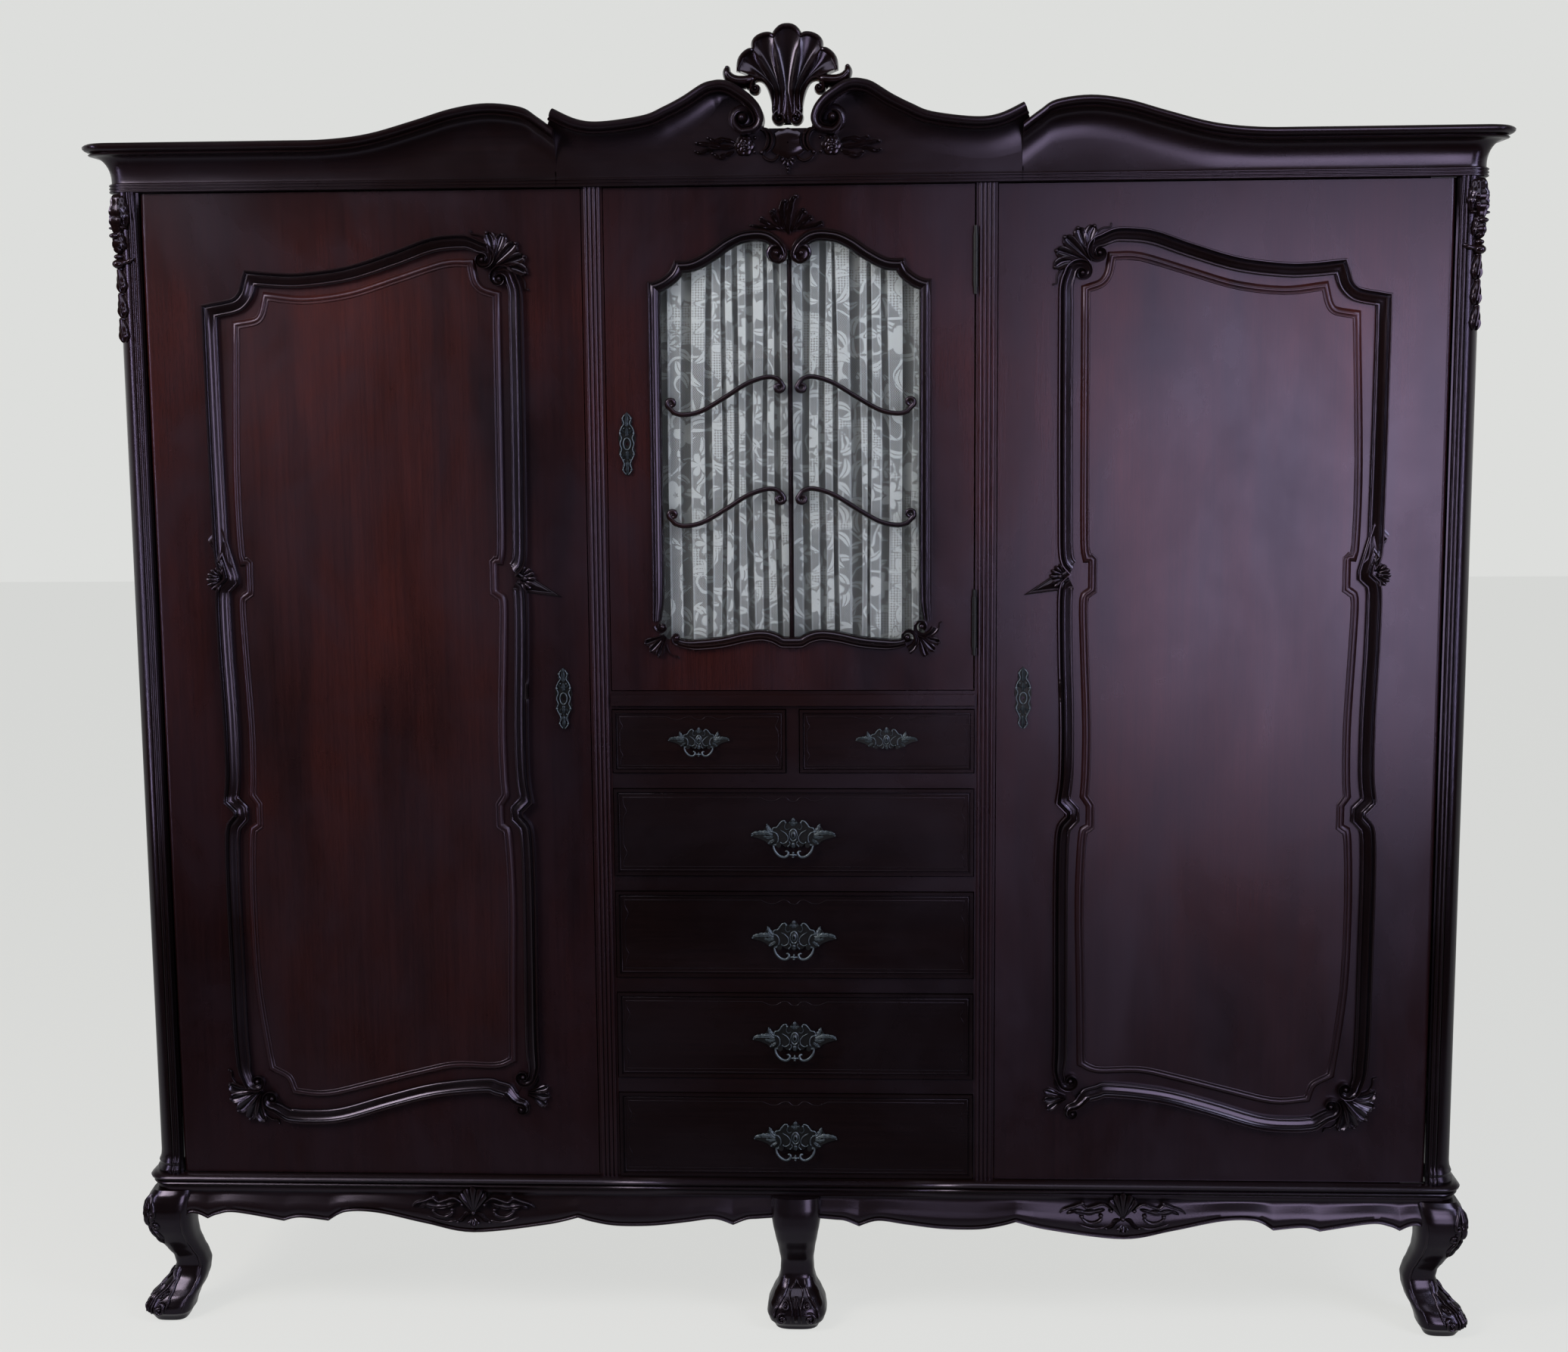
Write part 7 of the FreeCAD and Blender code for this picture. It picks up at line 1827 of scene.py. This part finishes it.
# %% Escutcheons, plates and bails
def escutcheon(name, middle, body):
    work = Carving()
    place = on_front(plate_front)

    def at(x, z, side=1):
        return (middle[0] + side * x * 0.001, middle[1] + z * 0.001)

    edge = [(2.5, 48), (7, 41), (4.6, 33), (9, 26), (11.6, 17), (8.6, 9), (11.4, 0), (8.8, -9), (11.4, -17),
            (7.4, -26), (4.6, -34), (7.2, -42), (2, -50)]
    for side in (1, -1):
        line = through([at(x, z, side) for x, z in edge], 4)
        reed(work, line, [0.0013] * len(line), [0.0030] * len(line), place)
        for x, z, radius in ((6.8, 41, 2.4), (11, 17, 2.6), (11, -17, 2.4), (6.8, -42, 2.2), (5, 25, 1.8),
                             (5, -26, 1.8)):
            boss(work, at(x, z, side), radius * 0.001, 0.0036, place, 10, 4)
        for root, tip in (((2, 30), (8, 37)), ((3, 17), (9, 24)), ((3, -17), (9, -24)), ((2, -31), (7, -38))):
            leaf(work, [at(*root, side), at((root[0] + tip[0]) / 2 + 1, (root[1] + tip[1]) / 2, side),
                        at(*tip, side)],
                 0.0019, 0.0032, place, lobes=2, tip=0.3)
    for points, wide in (([(0, 28), (0, 40), (0, 51)], 3.4), ([(0, -29), (0, -41), (0, -51)], 3.0),
                         ([(0, 12), (0, 19), (0, 26)], 3.2), ([(0, -12), (0, -19), (0, -26)], 3.0)):
        leaf(work, [at(x, z) for x, z in points], wide * 0.001, 0.0036, place, lobes=3, deep=0.3, tip=0.3,
             root=0.7)
    ring = [at(6.0 * math.cos(math.radians(15 * j)), 9.5 * math.sin(math.radians(15 * j))) for j in range(24)]
    run_profile(work, ring, [0.0014] * 24, [0.0032] * 24, half_round, place, closed=True)
    return work.piece(name, brass, sharp=45, body=body)


for name, middle in handle_places.items():
    plate_relief(name + "_plate_relief", middle, handle_size(name), name)
    if name != "drawer_small_right":
        handle_bail(name + "_bail", middle, handle_size(name))
for name, middle in keyholes.items():
    escutcheon(name + "_escutcheon_relief", middle, name)

# %% [markdown]
# Every plate is fixed by round headed pins, two to an escutcheon and four to a handle. One pin is made by
# a node group and set at each point of a small mesh.


# %% Pins
def pin_group():
    tree = bpy.data.node_groups.new("round headed pins", "GeometryNodeTree")
    given = inputs_of(tree, [("Geometry", "NodeSocketGeometry"), ("Head radius", "NodeSocketFloat"),
                             ("Head height", "NodeSocketVector"), ("Material", "NodeSocketMaterial")])
    ball = add(tree, "GeometryNodeMeshUVSphere", Segments=12, Rings=8, Radius=given["Head radius"])
    head = add(tree, "GeometryNodeTransform", Geometry=ball, Scale=given["Head height"])
    head = add(tree, "GeometryNodeSetShadeSmooth", Geometry=head)
    made = add(tree, "GeometryNodeInstanceOnPoints", Points=given["Geometry"], Instance=head)
    made = add(tree, "GeometryNodeRealizeInstances", Geometry=made)
    made = add(tree, "GeometryNodeSetMaterial", Geometry=made, Material=given["Material"])
    add(tree, "NodeGroupOutput", made)
    return tree


pin_tree = pin_group()


def pins(name, points, body):
    spots = bpy.data.meshes.new(name + "_spots")
    spots.from_pydata(points, [], [])
    mesh = grow(pin_tree, spots, {"Head radius": 0.0017, "Head height": (1.0, 0.6, 1.0), "Material": brass})
    mesh.name = name
    return settle(bpy.data.objects.new(name, mesh), body)


pin_y = plate_front - 0.0003
for name, (x, z) in handle_places.items():
    share = handle_size(name) * 0.001
    spots = [(x + side * reach * share, pin_y, z + rise * share) for side in (1, -1)
             for reach, rise in ((60, 7.5), (22.5, 22))]
    pins(name + "_plate_pins", spots, name)
for name, (x, z) in keyholes.items():
    pins(name + "_escutcheon_pins", [(x, pin_y, z + 0.0275), (x, pin_y, z - 0.0275)], name)

# %% [markdown]
# Two widths of machine lace hang behind the glass, gathered on a rod at the top and at the foot. Lace is
# a net, here with holes 1.6 mm wide and 3.4 mm apart, filled in where there is a pattern. The folds stand
# close, so each has a flat front of 15 to 30 mm and a narrow dark gap beside it. The cloth has 1.6 times
# the width that it covers. Its pattern is drawn on the flat cloth, so it bends round the folds with it.


# %% Machine lace
def machine_lace(name):
    made = blank(name)
    tree = made.node_tree
    flat = add(tree, "UVMap", uv_map="flat cloth")

    def near_lattice(pitch, shift):
        """Distance, in metres, from the nearest point of a grid."""
        cells = add(tree, "VectorMath ADD", add(tree, "VectorMath DIVIDE", flat, pitch), shift)
        inside = add(tree, "VectorMath SUBTRACT", add(tree, "VectorMath FRACTION", cells), (0.5, 0.5, 0.0))
        return add(tree, "VectorMath LENGTH", add(tree, "VectorMath MULTIPLY", inside, pitch))

    # The net: two grids of holes, one set in the middle of the other.
    net_pitch = (0.0034, 0.0027, 1.0)
    hole = add(tree, "Math MINIMUM", near_lattice(net_pitch, (0, 0, 0)),
               near_lattice(net_pitch, (0.5, 0.5, 0)))
    net = add(tree, "MapRange", hole, 0.00062, 0.00098)

    # Stems run where a bent noise crosses its middle value.
    bent = add(tree, "TexNoise", Vector=flat, Scale=26.0, Detail=1.0).outputs["Color"]
    bent = add(tree, "VectorMath SUBTRACT", bent, (0.5, 0.5, 0.5))
    bent = add(tree, "VectorMath MULTIPLY", bent, (0.016, 0.016, 0.0))
    wavy = add(tree, "VectorMath ADD", flat, bent)
    stems = add(tree, "TexNoise", Vector=wavy, Scale=17.0, Detail=0.0)
    stems = add(tree, "Math ABSOLUTE", add(tree, "Math SUBTRACT", stems, 0.5))

    # Leaves 36 mm long and 12 mm broad: one in each cell, turned its own way and bent, with a vein.
    cells = add(tree, "TexVoronoi", feature="F1", Vector=flat, Scale=26.0, Randomness=0.8).outputs
    lean = add(tree, "Math MULTIPLY", add(tree, "SeparateColor", Color=cells["Color"]), 2 * math.pi)
    from_leaf = add(tree, "VectorMath SUBTRACT", flat, cells["Position"])
    lying = add(tree, "VectorRotate", rotation_type="Z_AXIS", Vector=from_leaf, Angle=lean)
    in_leaf = add(tree, "SeparateXYZ", Vector=lying).outputs
    length, breadth = in_leaf[0], in_leaf[1]
    bend = add(tree, "Math MULTIPLY", add(tree, "Math MULTIPLY", length, length), 22.0)
    breadth = add(tree, "Math SUBTRACT", breadth, bend)
    length_share = add(tree, "Math ABSOLUTE", add(tree, "Math DIVIDE", length, 0.018))
    length_share = add(tree, "Math POWER", length_share, 2.0)
    breadth_share = add(tree, "Math ABSOLUTE", add(tree, "Math DIVIDE", breadth, 0.0062))
    breadth_share = add(tree, "Math POWER", breadth_share, 2.0)
    outline = add(tree, "Math ADD", length_share, breadth_share)
    vein = add(tree, "MapRange", add(tree, "Math ABSOLUTE", breadth), 0.0005, 0.0009)
    leaf_mark = add(tree, "Math MULTIPLY", add(tree, "MapRange", outline, 0.92, 1.0, 1.0, 0.0), vein)
    leaf_rim = add(tree, "Math MULTIPLY", add(tree, "MapRange", outline, 1.0, 1.05),
                   add(tree, "MapRange", outline, 1.28, 1.34, 1.0, 0.0))

    # Flowers with five petals and an open eye.
    flowers = add(tree, "TexVoronoi", feature="F1", Vector=flat, Scale=15.0, Randomness=0.7)
    from_eye = add(tree, "VectorMath SUBTRACT", flat, flowers.outputs["Position"])
    eye = add(tree, "SeparateXYZ", Vector=from_eye).outputs
    round_eye = add(tree, "Math MULTIPLY", add(tree, "Math ARCTAN2", eye[1], eye[0]), 2.5)
    petal = add(tree, "Math ABSOLUTE", add(tree, "Math COSINE", round_eye))
    reach = add(tree, "Math DIVIDE", flowers.outputs["Distance"],
                add(tree, "Math MULTIPLY_ADD", petal, 0.15, 0.24))
    flower = add(tree, "Math MULTIPLY", add(tree, "MapRange", reach, 0.92, 1.0, 1.0, 0.0),
                 add(tree, "MapRange", reach, 0.2, 0.28))
    rim = add(tree, "Math MULTIPLY", add(tree, "MapRange", reach, 1.0, 1.05),
              add(tree, "MapRange", reach, 1.22, 1.28, 1.0, 0.0))
    stem = add(tree, "MapRange", stems, 0.014, 0.022, 1.0, 0.0)

    # Between them, patches of close cloth with small open squares.
    square = add(tree, "VectorMath FRACTION", add(tree, "VectorMath DIVIDE", flat, (0.0046, 0.0042, 1.0)))
    cell = add(tree, "SeparateXYZ", Vector=square).outputs
    open_across = add(tree, "Math ABSOLUTE", add(tree, "Math SUBTRACT", cell[0], 0.5))
    open_across = add(tree, "MapRange", open_across, 0.26, 0.32, 1.0, 0.0)
    open_up = add(tree, "Math ABSOLUTE", add(tree, "Math SUBTRACT", cell[1], 0.5))
    open_up = add(tree, "MapRange", open_up, 0.26, 0.32, 1.0, 0.0)
    open_square = add(tree, "Math MULTIPLY", open_across, open_up)
    zone = add(tree, "TexNoise", Vector=flat, Scale=9.0, Detail=0.0)
    filet = add(tree, "Math MULTIPLY", add(tree, "MapRange", zone, 0.56, 0.57),
                add(tree, "Math SUBTRACT", 1.0, open_square))

    # Round each leaf and flower runs a rim of plain net, and the solid parts cover a little unevenly.
    solid = add(tree, "Math MAXIMUM", add(tree, "Math MAXIMUM", flower, stem),
                add(tree, "Math MAXIMUM", leaf_mark, filet))
    leaf_rim = add(tree, "Math MULTIPLY", leaf_rim, add(tree, "Math SUBTRACT", 1.0, flower))
    rim = add(tree, "Math MAXIMUM", rim, leaf_rim)
    solid = add(tree, "Math MULTIPLY", solid, add(tree, "Math SUBTRACT", 1.0, rim))
    woven = add(tree, "TexNoise", Vector=flat, Scale=700.0, Detail=1.0)
    woven = add(tree, "MapRange", woven, 0.3, 0.6, 0.88, 1.0)
    cover = add(tree, "Math MAXIMUM", add(tree, "Math MULTIPLY", solid, woven),
                add(tree, "Math MULTIPLY", net, 0.98))

    # The tone is that of washed cotton, and a painted shade greys it at the back of the folds.
    tone = add(tree, "Mix", solid, data_type="RGBA", A=linear("#ebedf6"), B=linear("#f8f9ff"))
    fold_depth = add(tree, "Attribute", attribute_name="fold depth").outputs["Fac"]
    # Painted shade: the cloth turns dark grey towards the back of each fold.
    fold_shade = add(tree, "MapRange", fold_depth, 0.35, 0.8, 1.0, 0.34)
    tone = add(tree, "Mix", fold_shade, data_type="RGBA", A=linear("#2d2c2e"), B=tone)
    yarn = add(tree, "TexNoise", Vector=flat, Scale=1500.0, Detail=1.0)
    height = add(tree, "Math MULTIPLY_ADD", yarn, 0.4, cover)
    bump = add(tree, "Bump", Height=height, Strength=0.35, Distance=0.0004)
    front = add(tree, "BsdfDiffuse", Color=tone, Roughness=0.6, Normal=bump)
    back = add(tree, "BsdfTranslucent", Color=tone, Normal=bump)
    cloth = add(tree, "MixShader", 0.08, front, back)
    clear = add(tree, "BsdfTransparent")
    shade(tree, add(tree, "MixShader", cover, clear, cloth))
    return made


lace = machine_lace("machine lace, white cotton")

# %% [markdown]
# A fold runs forward, turns under at both edges and runs back, like the letter omega. Each fold has its
# own width and leans a little. Where a rod gathers the cloth, the folds are shallower.


# %% Lace curtains
lace_low, lace_high = 1.1742, 1.8368
lace_middle = -0.2320


def lace_width(side, name, seed):
    chance = random.Random(seed)
    folds = 8
    shares = [chance.uniform(0.6, 1.45) for k in range(folds)]
    total = sum(shares)
    leans = [0.0] + [chance.uniform(-0.0035, 0.0035) for k in range(folds - 1)] + [0.0]
    swings = [chance.uniform(0, 2 * math.pi) for k in range(folds + 1)]
    depths = [chance.uniform(0.85, 1.0) for k in range(folds)]
    inner, outer = 0.0040, 0.2178
    steps, levels = 26, 66
    rows = []
    for j in range(levels + 1):
        v = j / levels
        edges = [inner]
        for k in range(folds):
            edges.append(edges[-1] + (outer - inner) * shares[k] / total)
        edges = [x + lean * (2 * v - 1) + (0.0014 * math.sin(7 * v + s) if 0 < k < folds else 0.0)
                 for k, (x, lean, s) in enumerate(zip(edges, leans, swings))]
        gather = 1 - 0.35 * math.exp(-((v - 0.014) / 0.02) ** 2) - 0.35 * math.exp(-((v - 0.986) / 0.02) ** 2)
        row = []
        for k in range(folds):
            wide = edges[k + 1] - edges[k]
            curl = wide * 0.15
            for i in range(steps + (k == folds - 1)):
                t = 2 * math.pi * i / steps
                drift = 0.25 * math.sin(5 * v + swings[k]) * math.sin(t / 2)
                gentle = 0.7 if i < 3 or i > steps - 3 else 1.0
                x = edges[k] + wide * i / steps - curl * math.sin(2 * t) * gentle
                y = math.tanh(2.0 * (math.sin(t + drift) + 0.62)) * 0.0047 * depths[k] * gather
                row.append((side * min(max(x, inner - 0.0008), outer + 0.0008), lace_middle - y,
                            lace_low + (lace_high - lace_low) * v))
        rows.append(row)
    middle = rows[levels // 2]
    far = [0.0]
    for a, b in zip(middle, middle[1:]):
        far.append(far[-1] + math.dist(a, b))
    mesh = bpy.data.meshes.new(name)
    count = len(middle)
    faces = [(j * count + i, j * count + i + 1, (j + 1) * count + i + 1, (j + 1) * count + i)
             for j in range(levels) for i in range(count - 1)]
    mesh.from_pydata([p for row in rows for p in row], [], faces)
    drawn = mesh.uv_layers.new(name="flat cloth")
    for loop in mesh.loops:
        j, i = divmod(loop.vertex_index, count)
        drawn.data[loop.index].uv = (far[i] + 0.31 * (side > 0), rows[j][i][2] - lace_low)
    depth = mesh.attributes.new("fold depth", "FLOAT", "POINT")
    depth.data.foreach_set("value", [(p[1] - lace_middle + 0.005) / 0.010 for row in rows for p in row])
    mesh.polygons.foreach_set("use_smooth", [True] * len(mesh.polygons))
    mesh.materials.append(lace)
    made = bpy.data.objects.new(name, mesh)
    print(name, "is", round(far[-1], 3), "m wide when it is flat")
    return made, (far[-1], lace_high - lace_low)


left_lace, left_flat = lace_width(-1, "lace_curtain_left", 4)
right_lace, right_flat = lace_width(1, "lace_curtain_right", 9)
settle(left_lace, "glazed_door", ["glazed_door_curtain"])
settle(right_lace, "glazed_door", [])

# %% [markdown]
# The studio is plain: a pale floor that keeps the shadow, a pale background, one large soft lamp high
# on the left, a second, weaker one on the right, and a little light from all round. The background is
# pale only to the eye, to polished metal and through glass, so it adds no light to the wood. French
# polish looks deep because flat fronts mirror a dark room: behind the camera and overhead it is unlit,
# and the pale floor shows in the polish only near the cupboard. Rounded edges catch two tall windows.
# A wide, slightly violet one gives the flat fronts their sheen, so it is seen by reflections alone.

# %% Studio
def seen_directly(tree):
    """1 for what the eye sees, also in polished metal and through glass, and 0 for light on the object."""
    ray = add(tree, "LightPath").outputs
    shown = add(tree, "Math MAXIMUM", ray["Is Camera Ray"], ray["Is Glossy Ray"])
    return add(tree, "Math MAXIMUM", shown, ray["Is Transmission Ray"])


studio_grey = linear("#dddedc")
floor_mesh = bpy.data.meshes.new("studio_floor")
floor_mesh.from_pydata([(-14, -9, 0), (14, -9, 0), (14, 14, 0), (-14, 14, 0)], [], [(0, 1, 2, 3)])
studio_floor = bpy.data.objects.new("studio_floor", floor_mesh)
bpy.context.scene.collection.objects.link(studio_floor)
floor_paint = blank("matt pale floor paint")
floor_tree = floor_paint.node_tree
floor_skin = add(floor_tree, "BsdfDiffuse", Color=studio_grey)
floor_glow = add(floor_tree, "Emission", Color=linear("#e1e2e0"), Strength=1.0)
near_room = add(floor_tree, "SeparateXYZ", Vector=add(floor_tree, "TexCoord").outputs["Object"]).outputs[1]
on_paper = add(floor_tree, "MapRange", near_room, -1.2, -0.5, To_Max=0.5)
mirrored = add(floor_tree, "LightPath").outputs["Is Glossy Ray"]
paper_share = add(floor_tree, "MapRange", mirrored, To_Min=1.0, To_Max=on_paper)
glow_share = add(floor_tree, "Math MULTIPLY", seen_directly(floor_tree), 0.86)
paper = add(floor_tree, "MixShader", glow_share, floor_skin, floor_glow)
unlit_floor = add(floor_tree, "BsdfDiffuse", Color=linear("#1c1b1c"))
shade(floor_tree, add(floor_tree, "MixShader", paper_share, unlit_floor, paper))
floor_mesh.materials.append(floor_paint)

world = bpy.data.worlds.new("studio")
world.use_nodes = True
sky_tree = world.node_tree
sky_tree.nodes.clear()
toward_room = add(sky_tree, "SeparateXYZ", Vector=add(sky_tree, "NewGeometry").outputs["Incoming"]).outputs[1]
unlit = add(sky_tree, "MapRange", toward_room, -0.15, 0.3, 1.0, 0.05)
overhead = add(sky_tree, "SeparateXYZ", Vector=add(sky_tree, "NewGeometry").outputs["Incoming"]).outputs[2]
ceiling = add(sky_tree, "MapRange", overhead, -0.6, -0.1, 0.15, 1.0)
unlit = add(sky_tree, "Math MULTIPLY", unlit, ceiling)
mirrored_ray = add(sky_tree, "LightPath").outputs["Is Glossy Ray"]
polish_sees = add(sky_tree, "MapRange", mirrored_ray, To_Min=1.0, To_Max=unlit)
strength = add(sky_tree, "MapRange", seen_directly(sky_tree), To_Min=0.32, To_Max=polish_sees)
sky = add(sky_tree, "Background", Color=studio_grey, Strength=strength)
add(sky_tree, "OutputWorld", Surface=sky)
bpy.context.scene.world = world


def lamp(name, place, target, size, power, colour):
    data = bpy.data.lights.new(name, "AREA")
    data.shape = "RECTANGLE"
    data.size = size[0]
    data.size_y = size[1]
    data.energy = power
    data.color = linear(colour)[:3]
    made = bpy.data.objects.new(name, data)
    made.location = place
    made.rotation_euler = (Vector(target) - Vector(place)).to_track_quat("-Z", "Y").to_euler()
    bpy.context.scene.collection.objects.link(made)
    return made


lamp("key_lamp", (-2.6, -2.5, 3.1), (-0.2, -0.2, 1.5), (1.0, 1.6), 105, "#fff6ec")
lamp("fill_lamp", (2.9, -2.6, 2.9), (0.4, -0.2, 1.4), (1.0, 1.6), 58, "#eef2ff")
lamp("top_lamp", (0, -1.7, 3.4), (0, -0.1, 1.4), (3.0, 0.8), 22, "#ffffff")
lamp("left_window", (-2.9, -1.5, 1.6), (-0.6, -0.2, 1.2), (0.16, 2.2), 20, "#efe6ff")
lamp("right_window", (2.9, -1.8, 1.7), (0.6, -0.2, 1.2), (0.16, 2.2), 20, "#e9e2ff")
violet_window = lamp("violet_window", (1.85, -4.5, 1.2), (0.8, -0.2, 1.2), (1.9, 1.8), 78, "#fbf0ff")
violet_window.visible_diffuse = False
print("studio ready")

# %% Finish
bpy.context.scene.view_settings.view_transform = "Standard"
